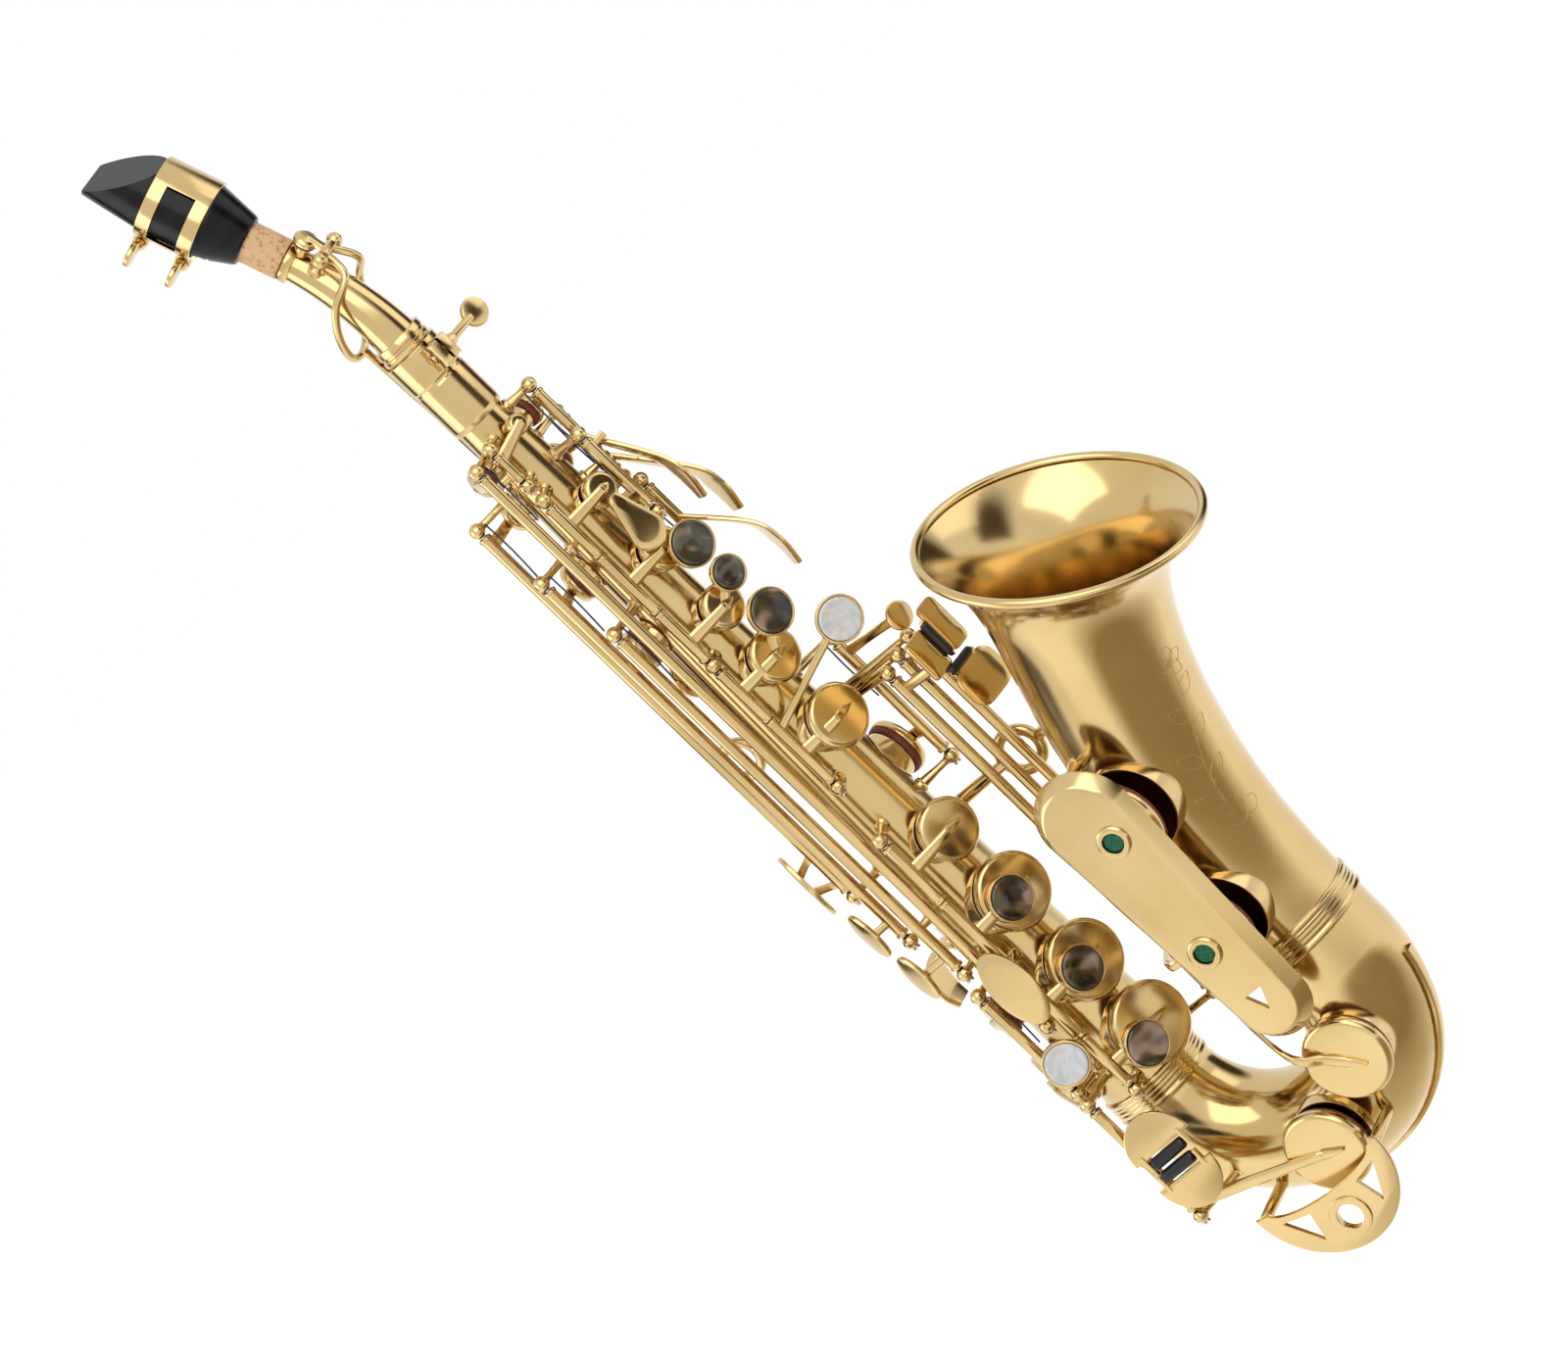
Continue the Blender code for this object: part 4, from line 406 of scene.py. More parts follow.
for name, cloth, points in (("card_left_edge", "gauze_painted_grey", card_on_edge(-115.0, 1.9, -1.5, 1.0)),
                            ("card_right_near", "gauze_painted_grey", card_on_edge(56.0, 1.7, -1.5, 0.9)),
                            ("card_right_edge", "gauze_painted_grey", card_on_edge(124.0, 1.7, -1.5, 1.2)),
                            ("card_floor_front", "gauze_painted_buff", card_on_floor(22.0, 0.40, 0.95, 0.95))):
    corners = [p for row in points for p in row]
    mesh = bpy.data.meshes.new(name)
    mesh.from_pydata(corners, [], [(k, k + 1, k + 4, k + 3) for k in (0, 1, 3, 4)])
    mesh.materials.append(gauze[cloth])
    card = bpy.data.objects.new(name, mesh)
    card.visible_camera = card.visible_diffuse = card.visible_transmission = card.visible_shadow = False
    scene.collection.objects.link(card)
print("cards stand", CARD_DISTANCE, "m away")

# %% [markdown]
# Shapes come next.  A real edge is filed and buffed, and a sharp mesh edge never catches the light.  A bevel
# modifier could round it, but most pieces here start as an outline, and to round the outline's corners
# first costs fewer faces.

# %% Rounded outlines
def softened(outline, soft_edge, steps=3):
    """The outline with its corners rounded; an outline that starts off the axis is a closed ring."""
    points = [Vector(p) for p in outline]
    ring = outline[0][0] > 0.0
    rounded = [] if ring else [points[0]]
    last = len(points)
    for k in range(0 if ring else 1, last if ring else last - 1):
        corner = points[k]
        before = points[k - 1] - corner
        after = points[(k + 1) % last] - corner
        reach = min(soft_edge, before.length * 0.45, after.length * 0.45)
        start = corner + before.normalized() * reach
        end = corner + after.normalized() * reach
        for j in range(steps + 1):
            t = j / steps
            rounded.append(start * (1.0 - t) ** 2 + corner * 2.0 * t * (1.0 - t) + end * t ** 2)
    if not ring:
        rounded.append(points[-1])
    return [tuple(p) for p in rounded]


print("a rounded corner has", len(softened([(0, 0), (4, 0), (4, 2), (0, 2)], 0.3)), "points")

# %% [markdown]
# Every mesh of this lesson is a skin over rings of points, from a hinge tube to a finger plate.  So one
# function makes the faces between the rings and closes the ends, and each shape only has to say where its
# rings lie.

# %% Skins over rings
def bridge(bm, lower, upper):
    """Faces between two rings of points, either of which may be a single point."""
    count = max(len(lower), len(upper))
    for k in range(count):
        n = (k + 1) % count
        if len(lower) == 1:
            bm.faces.new((lower[0], upper[n], upper[k]))
        elif len(upper) == 1:
            bm.faces.new((lower[k], lower[n], upper[0]))
        else:
            bm.faces.new((lower[k], lower[n], upper[n], upper[k]))


def skinned(rings, ends="flat"):
    """A closed mesh through rings of points, whose ends are flat, joined to each other or single points."""
    bm = bmesh.new()
    rings = [[bm.verts.new(p) for p in ring] for ring in rings]
    if ends == "joined":
        rings.append(rings[0])
    for lower, upper in zip(rings, rings[1:]):
        bridge(bm, lower, upper)
    if ends == "flat":
        bm.faces.new(rings[0])
        bm.faces.new(rings[-1])
    bmesh.ops.recalc_face_normals(bm, faces=bm.faces)
    return bm


trial = skinned([[Vector((cos(k), sin(k), h)) for k in range(8)] for h in range(3)])
print("a skin over 3 rings of 8 points has", len(trial.faces), "faces")
trial.free()

# %% [markdown]
# Most parts of a key are turned on a lathe, so one function spins an outline round an axis, and a plain
# bar is the simplest case of it.  The Screw modifier does the same, but it would have to be applied on
# each of some hundreds of shells.

# %% Turned pieces
ON_AXIS = 1e-6


def full_turn(count):
    """Angles that go once round in equal steps."""
    return [2.0 * pi * k / count for k in range(count)]


def spin(base, axis, outline, sides=40, soft_edge=0.25):
    """A turned piece: the outline is a list of radius and height along the axis."""
    turn = axis.to_track_quat("Z", "Y")
    profile = softened(outline, soft_edge) if soft_edge else outline
    rings = []
    for r, h in profile:
        angles = full_turn(sides) if r > ON_AXIS else [0.0]
        rings.append([base + turn @ Vector((r * cos(a), r * sin(a), h)) for a in angles])
    return skinned(rings, "joined" if profile[0][0] > ON_AXIS else "points")


def rod(a, b, radius, end_radius=None, sides=20, soft_edge=0.2):
    """A round bar from a to b, which tapers where an end radius is given."""
    end = radius if end_radius is None else end_radius
    length = (b - a).length
    outline = [(0.0, 0.0), (radius, 0.0), (end, length), (0.0, length)]
    return spin(a, (b - a).normalized(), outline, sides, soft_edge)


print("a circle is cut into steps of", round(full_turn(40)[1] * 180.0 / pi, 1), "degrees")

# %% [markdown]
# Key arms, loops and levers are cast or bent, so they follow a smooth path.  A curve object could carry
# them, but a path through a few control points keeps them easy to change and gives plain mesh at once.

# %% Smooth paths
def smooth_path(points, steps=6):
    """Points on a smooth curve through the control points, which may carry a width as well."""
    fine = []
    last = len(points) - 1
    for k in range(last):
        p0, p1, p2, p3 = points[max(k - 1, 0)], points[k], points[k + 1], points[min(k + 2, last)]
        for j in range(steps):
            t = j / steps
            fine.append((p1 * 2.0 + (p2 - p0) * t + (p0 * 2.0 - p1 * 5.0 + p2 * 4.0 - p3) * t ** 2
                         + (p1 * 3.0 - p0 - p2 * 3.0 + p3) * t ** 3) * 0.5)
    fine.append(points[last])
    return fine


print("a path through 3 points has", len(smooth_path([X_AXIS, X_AXIS + Z_AXIS, Z_AXIS])), "points")

# %% [markdown]
# A cast arm is wider than thick, with the soft ridge of a filed casting, so its section is an oblong with
# very round corners.  A wire is round all along.

# %% Arms and wires
SECTION_POWER = 0.55


def squared(part):
    """A sine or cosine pushed out towards 1 or -1, which turns a round section into a rounded oblong."""
    return copysign(abs(part) ** SECTION_POWER, part)


def strip(points, widths, thick, across, steps=6, corners=12):
    """A cast arm along a smooth path: as wide as the widths along across, thick the other way."""
    path = smooth_path([Vector((*p, w)) for p, w in zip(points, widths)], steps)
    rings = []
    last = len(path) - 1
    for k, p in enumerate(path):
        along = (path[min(k + 1, last)] - path[max(k - 1, 0)]).to_3d().normalized()
        side = (across - along * across.dot(along)).normalized()
        lift = side.cross(along)
        angles = [2.0 * pi * (j + 0.5) / corners for j in range(corners)]
        rings.append([p.to_3d() + side * squared(cos(a)) * p.w / 2.0 + lift * squared(sin(a)) * thick / 2.0
                      for a in angles])
    return skinned(rings)


def wire(points, radius, steps=6, sides=12):
    """A round wire along a smooth path."""
    path = smooth_path(points, steps)
    rings = []
    last = len(path) - 1
    side = (path[1] - path[0]).orthogonal()
    for k, p in enumerate(path):
        along = (path[min(k + 1, last)] - path[max(k - 1, 0)]).normalized()
        side = (side - along * side.dot(along)).normalized()
        other = along.cross(side)
        rings.append([p + (side * cos(a) + other * sin(a)) * radius for a in full_turn(sides)])
    return skinned(rings)


print("the corner of a section lies at", round(squared(cos(pi / 4.0)), 2), "of its half width")

# %% [markdown]
# Finger plates are filed to an oval, an oblong or a drop.  Each outline is a short list of points, so that
# the same plate function serves them all.

# %% Outlines of plates
def oval(length, width, steps=40):
    """Outline of an oval with its long side along u."""
    return [(length / 2.0 * cos(a), width / 2.0 * sin(a)) for a in full_turn(steps)]


def lozenge(length, width, corner):
    """Outline of an oblong with rounded corners, its long side along u."""
    points = []
    for turn, (u, v) in enumerate(((1.0, 1.0), (-1.0, 1.0), (-1.0, -1.0), (1.0, -1.0))):
        middle = Vector((u * (length / 2.0 - corner), v * (width / 2.0 - corner)))
        angles = [pi / 2.0 * (turn + k / 6.0) for k in range(7)]
        points += [(middle.x + corner * cos(a), middle.y + corner * sin(a)) for a in angles]
    return points


def stadium(length, start_radius, end_radius, steps=17):
    """Outline of a plate with two round ends of unlike radius, length apart between their centres."""
    turns = [pi * k / (steps - 1) for k in range(steps)]
    far = [(length + end_radius * cos(a - pi / 2.0), end_radius * sin(a - pi / 2.0)) for a in turns]
    return far + [(start_radius * cos(a + pi / 2.0), start_radius * sin(a + pi / 2.0)) for a in turns]


print("an oval has", len(oval(2.0, 1.0)), "corners, a lozenge", len(lozenge(2.0, 1.0, 0.1)))

# %% [markdown]
# A finger plate is pressed from sheet, with a crowned face that a finger feels.  Rings of the same outline,
# each a little smaller and higher, give the rounded edge and the crown together, with no modifier to apply.

# %% Pressed plates
PLATE_THICK = 1.6
PLATE_HALF = PLATE_THICK / 2.0


def plate(outline, origin, u, v, thick, crown=0.0, edge=0.4):
    """A plate with rounded edges: the outline lies along u and v, thick and crowned along u x v."""
    normal = u.cross(v).normalized()
    middle = Vector((sum(p[0] for p in outline), sum(p[1] for p in outline))) / len(outline)
    size = sum((Vector(p) - middle).length for p in outline) / len(outline)
    inset = 1.0 - edge / size
    levels = [(inset, 0.0), (1.0 - 0.3 * edge / size, 0.3 * edge), (1.0, edge), (1.0, thick - edge),
              (1.0 - 0.3 * edge / size, thick - 0.3 * edge), (inset, thick)]
    levels += [(inset * s, thick + crown * (1.0 - s * s)) for s in (0.75, 0.5, 0.25)] if crown else []
    rings = []
    for scale, height in levels:
        spots = [middle + (Vector(p) - middle) * scale for p in outline]
        rings.append([origin + u * p.x + v * p.y + normal * height for p in spots])
    return skinned(rings)


def finger_plate(centre, normal, along, outline, thick=PLATE_THICK, crown=0.4):
    """A finger plate whose outline runs along and across, with its face at the centre."""
    across = normal.cross(along).normalized()
    return plate(outline, centre - normal * thick, along, across, thick, crown)


print("finger plates are", PLATE_THICK, "mm thick")

# %% [markdown]
# A piece is one object made of several closed shells, as soldered parts of a key are one key.  It is
# moved into the frame, shaded smooth with sharp edges kept, tied to the body it moves with, and told
# which solid of the frame it stands for.

# %% Pieces
SHARP_ANGLE = 38.0
piece_count = 0


def joined(name, shells):
    """One mesh of several shells, which are used up."""
    bm = bmesh.new()
    for shell in shells:
        part = bpy.data.meshes.new("part")
        shell.to_mesh(part)
        shell.free()
        bm.from_mesh(part)
        bpy.data.meshes.remove(part)
    data = bpy.data.meshes.new(name)
    bm.to_mesh(data)
    bm.free()
    return data


def piece(name, shells, material, body, stands_for=(), turn=None, sharp=SHARP_ANGLE):
    """Joins shells into one object, places it, gives it its finish and lets it ride on its body."""
    global piece_count
    data = joined(name, shells)
    if turn:
        data.transform(turn)
    data.transform(TO_FRAME)
    data.materials.append(material)
    data.shade_smooth()
    data.set_sharp_from_angle(angle=radians(sharp))
    obj = bpy.data.objects.new(name, data)
    scene.collection.objects.link(obj)
    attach(obj, body)
    if stands_for:
        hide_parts(*stands_for)
    piece_count += 1
    return obj


print("edges of more than", SHARP_ANGLE, "degrees stay sharp")

# %% [markdown]
# The air column is a cone bent once: body tube, bow and bell.  The formulas below are the drawing's own,
# so the fine tubes lie on the frame's solids.  A place along a bent tube is a station: the axis's point and
# direction there, and the tube's radius.

# %% The tubes' lines
GAP = 0.3
WALL = 0.8
BODY_TOP_RADIUS = 7.6
BODY_TAPER = 0.030
BODY_END = 328.0
LEG_SPACING = 79.0
BOW_CENTRE = 330.0
BELL_RING = 313.0
BELL_STRAIGHT = 15.0
BELL_TILT = 35.5
BELL_CURVE_RADIUS = 220.0
BELL_RING_RADIUS = 21.6
BELL_TAPER = 0.045
BELL_RADIUS = 45.0
FLARE_LENGTH = 11.5
BELL_LENGTH = BELL_STRAIGHT + BELL_CURVE_RADIUS * radians(BELL_TILT)


def body_radius(d):
    """Outer radius of the body tube, d below the receiver's top."""
    return BODY_TOP_RADIUS + BODY_TAPER * d


def bow_station(angle):
    """Centre, direction and outer radius of the bow, from body end at 0 to bell end at 180 degrees."""
    a = radians(angle)
    half = LEG_SPACING / 2.0
    centre = Vector((0.0, -half * (1.0 - cos(a)), -BOW_CENTRE - half * sin(a)))
    start = body_radius(BODY_END)
    return centre, Vector((0.0, -sin(a), -cos(a))), start + (BELL_RING_RADIUS - start) * angle / 180.0


def bell_station(travel):
    """Centre, direction and outer radius of the bell, travel along its axis from its ring."""
    centre = Vector((0.0, -LEG_SPACING, -BELL_RING + min(travel, BELL_STRAIGHT)))
    angle = max(travel - BELL_STRAIGHT, 0.0) / BELL_CURVE_RADIUS
    centre.y -= BELL_CURVE_RADIUS * (1.0 - cos(angle))
    centre.z += BELL_CURVE_RADIUS * sin(angle)
    cone = BELL_RING_RADIUS + BELL_TAPER * travel
    flare = BELL_RADIUS - BELL_RING_RADIUS - BELL_TAPER * BELL_LENGTH
    radius = cone + flare * exp((travel - BELL_LENGTH) / FLARE_LENGTH)
    return centre, Vector((0.0, -sin(angle), cos(angle))), radius


print("bell length", round(BELL_LENGTH, 1), "mm, rim", BELL_RADIUS * 2.0, "mm across")

# %% [markdown]
# Posts, feet and guards are soldered to the tubes, so it helps to know how far any point is from a tube's
# outside.  The formulas turn round for that: from the point back to its station.  The slope of such a
# distance is also the wall's true direction, which smooth mirrors need later.

# %% How far from a wall
def body_clearance(point):
    """Distance of a point from the body tube's outside."""
    return Vector((point.x, point.y)).length - body_radius(-point.z)


def bow_clearance(point):
    """Distance of a point from the bow's outside."""
    angle = atan2(-(point.z + BOW_CENTRE), point.y + LEG_SPACING / 2.0) * 180.0 / pi
    body_side = point.y > -LEG_SPACING / 2.0
    if point.z > -BOW_CENTRE:
        angle = 0.0 if body_side else 180.0
    centre, along, radius = bow_station(angle % 360.0)
    if point.z > -BOW_CENTRE:
        centre = centre + along * (point - centre).dot(along)
    return (point - centre).length - radius


def bell_clearance(point):
    """Distance of a point from the bell's outside."""
    rise = point.z + BELL_RING - BELL_STRAIGHT
    turned = atan2(rise, point.y + LEG_SPACING + BELL_CURVE_RADIUS)
    travel = BELL_STRAIGHT + (BELL_CURVE_RADIUS * turned if rise > 0.0 else rise)
    centre, along, radius = bell_station(travel)
    if travel < 0.0:
        centre = centre + along * travel
    return (point - centre).length - radius


print("the strap ring's middle is", round(body_clearance(STRAP_RING), 1), "mm off the body tube")

# %% [markdown]
# Tone holes are drawn out of the tube's wall and filed level.  Each has a chimney, and a seat where the
# pad's cup comes to rest.  A small class keeps these together, because the tube, the cup and the arm of a
# key all have to agree on them.

# %% A tone hole
CHIMNEY = 2.2
CHIMNEY_WALL = 0.7
PAD = 2.0
PAST = 2.0  # how far a cutter goes past what it cuts


class Hole:
    """A tone hole: a point on its tube's axis, the way it faces, its tube's radius and its own radius."""

    def __init__(self, centre, normal, tube_radius, radius):
        self.centre = centre
        self.normal = normal
        self.radius = radius
        self.top = tube_radius + CHIMNEY

    def chimney(self):
        """The solid chimney, from the tube's axis to the seat of the pad."""
        outer = self.radius + CHIMNEY_WALL
        return rod(self.centre, self.centre + self.normal * self.top, outer, sides=48)

    def bore(self):
        """The hole's drill, which goes past the chimney's top."""
        return rod(self.centre, self.centre + self.normal * (self.top + PAST), self.radius, sides=48)

    def seat(self):
        """The middle of the cup's underside when its pad lies on the chimney."""
        return self.centre + self.normal * (self.top + PAD + GAP)


def body_hole(d, psi, radius):
    """A hole in the body tube, by its depth, its angle and its own radius."""
    return Hole(-Z_AXIS * d, around(psi), body_radius(d), radius)


def curved_hole(station, across, psi, radius):
    """A hole in the bow or the bell at a station; psi turns it from the player's right."""
    centre, along, tube = station
    side = along.cross(X_AXIS) * across
    return Hole(centre, -X_AXIS * cos(radians(psi)) + side * sin(radians(psi)), tube, radius)


print("a chimney stands", CHIMNEY, "mm over the wall")

# %% [markdown]
# The holes are named after the key that covers them.  On the body each row of the table is a depth, an
# angle and a radius; on the bow and the bell a station takes the place of the depth.

# %% Table of holes
UPPER_FACE = 70.0
LOWER_FACE = 61.0
HOLES = {
    "high_fs_key": body_hole(44.0, -34.0, 3.6),
    "high_e_key": body_hole(60.0, -84.0, 4.2),
    "side_c_key": body_hole(88.0, -68.0, 5.0),
    "side_bb_key": body_hole(116.0, -52.0, 5.6),
    "palm_f_key": body_hole(40.0, 158.0, 3.6),
    "palm_eb_key": body_hole(58.0, 190.0, 4.2),
    "palm_d_key": body_hole(84.0, 178.0, 4.8),
    "body_octave_key": body_hole(38.0, 62.0, 1.6),
    "c_key": body_hole(70.0, UPPER_FACE, 4.0),
    "b_key": body_hole(96.0, UPPER_FACE, 5.4),
    "bis_key": body_hole(122.0, UPPER_FACE, 5.6),
    "a_key": body_hole(144.0, UPPER_FACE, 7.0),
    "g_key": body_hole(171.0, UPPER_FACE, 8.6),
    "gs_key": body_hole(196.0, 150.0, 8.2),
    "fs_key": body_hole(220.0, LOWER_FACE, 8.4),
    "f_key": body_hole(248.0, LOWER_FACE, 10.8),
    "e_key": body_hole(279.0, LOWER_FACE, 11.2),
    "d_key": body_hole(307.5, LOWER_FACE, 11.6),
    "trill_fs_key": body_hole(277.0, -48.0, 6.0),
    "low_eb_key": body_hole(306.0, -52.0, 10.8),
    "low_c_key": curved_hole(bow_station(98.0), 1.0, 0.0, 12.6),
    "low_cs_key": curved_hole(bow_station(150.0), 1.0, 0.0, 12.6),
    "low_b_key": curved_hole(bell_station(21.5), -1.0, -5.0, 14.2),
    "low_bb_key": curved_hole(bell_station(66.0), -1.0, -5.0, 14.8),
}
BOW_HOLES = ("low_c_key", "low_cs_key")
BELL_HOLES = ("low_b_key", "low_bb_key")
print(len(HOLES), "tone holes")

# %% [markdown]
# A steel rod runs through the heads of two posts and carries a key's hinge tube.  Every rod line is a place
# round the tube and the depths of its two posts.  One table of lines serves the posts, the keys, the rods
# and the springs, so that they can't drift apart.

# %% Rod lines
POST_RADIUS = 2.6
POST_DEPTH = WALL * 0.6
END = POST_RADIUS + GAP
UPPER_ROD = (23.0, 21.5)
LOWER_ROD = (20.0, 28.0)
SIDE_LINES = {
    "high_fs_key": (6.0, 25.5, 38.0, 285.0),
    "side_bb_key": (-12.0, 25.5, 104.0, 256.0),
    "side_c_key": (-30.0, 25.5, 78.0, 238.0),
    "high_e_key": (-48.0, 25.5, 53.5, 217.0),
    "trill_fs_key": (-14.0, 27.5, 264.0, 308.0),
    "palm_f_key": (118.0, 18.0, 33.5, 66.0),
    "palm_eb_key": (152.0, 20.0, 47.0, 76.0),
    "palm_d_key": (140.0, 21.5, 80.0, 106.0),
    "body_octave_key": (19.0, 17.0, 37.0, 53.0),
    "front_f_key": (96.0, 20.0, 54.0, 88.0),
    "gs_key": (118.0, 27.0, 155.0, 208.0),
    "low_cs_key": (94.8, 36.1, 173.0, 316.0),
    "low_b_key": (98.2, 41.9, 171.0, 304.0),
    "low_bb_key": (100.8, 47.9, 169.0, 256.0),
    "octave_thumb_key": (-105.0, 17.0, 84.0, 122.0),
}
LEANING_POSTS = {"low_cs_key": 140.0, "low_b_key": 120.0, "low_bb_key": 120.0}
STACK_LINES = ((UPPER_ROD, (59.0, 132.0, 186.0)), (LOWER_ROD, (206.0, 264.0, 318.0)))
TABLE_LINE = (-5.0, 33.0, 311.0, 361.0)
print(len(SIDE_LINES) + len(STACK_LINES) + 1, "rod lines")

# %% [markdown]
# Posts are turned with a foot, a waist and a round head, and silver-soldered to the tubes.  They are spun
# from one outline, whose waist grows with the post's height.

# %% Posts
def post(top, foot):
    """A turned post from its foot in a tube's wall to the middle of its round head."""
    rise = (top - foot).length
    outline = [(0.0, 0.0), (2.5, 0.0), (2.5, 1.2), (1.7, 1.8), (1.25, rise * 0.55), (1.25, rise - 2.9),
               (1.4, rise - 2.5)]
    head = [radians(a) for a in range(-55, 80, 15)]
    outline += [(POST_RADIUS * cos(a), rise + POST_RADIUS * sin(a)) for a in head]
    outline.append((0.0, rise + POST_RADIUS))
    return spin(foot, (top - foot).normalized(), outline, sides=24, soft_edge=0.1)


def body_post(psi, h, d, foot_psi=None):
    """A post on the body tube; one that leans has its foot at another angle."""
    return post(at(psi, h, d), at(psi if foot_psi is None else foot_psi, body_radius(d) - POST_DEPTH, d))


def post_from(station, top):
    """A post on the bow or the bell, from a station's wall to the middle of its head."""
    centre, _, radius = station
    return post(top, centre + (top - centre).normalized() * (radius - POST_DEPTH))


body_posts = [body_post(*TABLE_LINE[:3])]
for name, (psi, h, first, last) in SIDE_LINES.items():
    body_posts.append(body_post(psi, h, first, LEANING_POSTS.get(name)))
    if name not in BELL_HOLES:
        body_posts.append(body_post(psi, h, last))
for (psi, h), places in STACK_LINES:
    body_posts += [body_post(psi, h, d) for d in places]
print(len(body_posts), "posts on the body tube")

# %% [markdown]
# A tube is swept along its axis, and its holes are cut with Booleans: the outside with its chimneys, less
# the bore and the drills.  The modifiers are evaluated once and their result is kept as plain mesh.

# %% Sweeps and cuts
MERGE = 0.002


def sweep(stations, sides=72):
    """A round solid along a path in the Y-Z plane: stations hold a centre, a direction and a radius."""
    rings = []
    for centre, along, radius in stations:
        side = along.cross(X_AXIS)
        rings.append([centre + (X_AXIS * cos(a) + side * sin(a)) * radius for a in full_turn(sides)])
    return skinned(rings)


def shell_object(shells):
    """A helper object for a Boolean."""
    obj = bpy.data.objects.new("part", joined("part", shells))
    scene.collection.objects.link(obj)
    return obj


def carved(shells, cuts):
    """One closed mesh: the first shell united with the others, less the cuts."""
    base = shell_object(shells[:1])
    tools = []
    for operation, group in (("UNION", shells[1:]), ("DIFFERENCE", cuts)):
        if not group:
            continue
        tools.append(shell_object(group))
        modifier = base.modifiers.new(operation.lower(), "BOOLEAN")
        modifier.operation = operation
        modifier.object = tools[-1]
        modifier.solver = "EXACT"
        modifier.use_self = True
    graph = bpy.context.evaluated_depsgraph_get()
    data = base.evaluated_get(graph).to_mesh()
    bm = bmesh.new()
    bm.from_mesh(data)
    for used in [base] + tools:
        bpy.data.objects.remove(used, do_unlink=True)
    bmesh.ops.remove_doubles(bm, verts=bm.verts, dist=MERGE)
    bmesh.ops.dissolve_degenerate(bm, edges=bm.edges, dist=MERGE)
    return bm


print("cuts merge points closer than", MERGE, "mm")

# %% [markdown]
# A Boolean leaves long odd faces whose blended normals would ripple in a mirror, so the corners of a
# tube's wall get their direction from the tube's own formula instead.  The body tube comes first.

# %% Body tube
WALL_DEPTHS = (-2.0, 0.25)  # a face whose middle lies between these depths belongs to the wall
WALL_FACING = 0.97
SLOPE_STEP = 0.02
TENON_LENGTH = 18.0


def slope(clearance, point):
    """The direction in which a clearance grows fastest: the wall's own normal."""
    here = clearance(point)
    steps = [Vector([SLOPE_STEP if k == n else 0.0 for k in range(3)]) for n in range(3)]
    return Vector([clearance(point + step) - here for step in steps]).normalized()


def true_walls(obj, clearance):
    """Gives each corner of a tube's wall the direction that the tube's formula has there."""
    data = obj.data
    back = TO_FRAME.inverted()
    places = [back @ v.co for v in data.vertices]
    normals = [Vector(n.vector) for n in data.corner_normals]
    for face in data.polygons:
        middle = back @ face.center
        if not WALL_DEPTHS[0] < clearance(middle) < WALL_DEPTHS[1]:
            continue
        facing = slope(clearance, middle).dot(face.normal)
        if abs(facing) < WALL_FACING:
            continue
        for corner in face.loop_indices:
            out = slope(clearance, places[data.loops[corner].vertex_index])
            normals[corner] = out if facing > 0.0 else -out
    data.normals_split_custom_set(normals)


def tube_piece(name, outside, bore, hole_names, extras, clearance):
    """A tube with its chimneys and holes, and whatever is soldered to it."""
    holes = [HOLES[hole] for hole in hole_names]
    walls = [outside] + [hole.chimney() for hole in holes]
    cuts = [bore] + [hole.bore() for hole in holes]
    obj = piece(name, [carved(walls, cuts)] + extras, brass, "body", [name])
    true_walls(obj, clearance)
    print(name, len(obj.data.polygons), "faces")


body_holes = [name for name in HOLES if name not in BOW_HOLES + BELL_HOLES]
outside = sweep([(-Z_AXIS * d, -Z_AXIS, body_radius(d)) for d in (TENON_LENGTH + PAST, BODY_END)])
bore = sweep([(-Z_AXIS * d, -Z_AXIS, body_radius(d) - WALL) for d in (TENON_LENGTH, BODY_END + PAST)])
tube_piece("body_tube", outside, bore, body_holes, body_posts, body_clearance)

# %% [markdown]
# The bow is half a turn of the cone with a short straight end on each side.  A wear strip is soldered
# along its outside, where the instrument is set down, and it carries a post of the right hand's table.

# %% Bow
WEAR_WIDTH = 5.0
WEAR_THICK = 2.0


def bow_stations(shrink, past):
    """Stations along the bow, thinner by shrink and longer by past at both ends."""
    first, along, radius = bow_station(0.0)
    path = [(first - along * (BOW_CENTRE - BODY_END - GAP + past), along, radius - shrink)]
    path += [(c, a, r - shrink) for c, a, r in [bow_station(5.0 * k) for k in range(37)]]
    last, along, radius = bow_station(180.0)
    path.append((last + along * (BOW_CENTRE - BELL_RING + past), along, radius - shrink))
    return path


wear_strip = []
for angle in range(50, 171, 5):
    centre, along, radius = bow_station(angle)
    wear_strip.append(centre - along.cross(X_AXIS) * (radius + 0.5))
psi, h, _, last = TABLE_LINE
extras = [strip(wear_strip, [WEAR_WIDTH] * len(wear_strip), WEAR_THICK, X_AXIS, 1),
          post_from(bow_station(55.0), at(psi, h, last))]
outside, bore = sweep(bow_stations(0.0, 0.0)), sweep(bow_stations(WALL, PAST))
tube_piece("bow", outside, bore, BOW_HOLES, extras, bow_clearance)

# %% [markdown]
# The bell goes on along the cone, leans forward and flares in its last part.  Stations lie closer together
# towards the rim, where the wall bends most.  The rim is rolled over a wire, so it ends in a round bead.

# %% Bell
RIM_BEAD = 1.6
BELL_STEPS = 44
BELL_CROWDING = 1.7


def bead(middle, across, high):
    """The round section of a ring: its middle radius, and half its width and height."""
    return [(middle + across * cos(pi * k / 8.0), high * sin(pi * k / 8.0)) for k in range(16)]


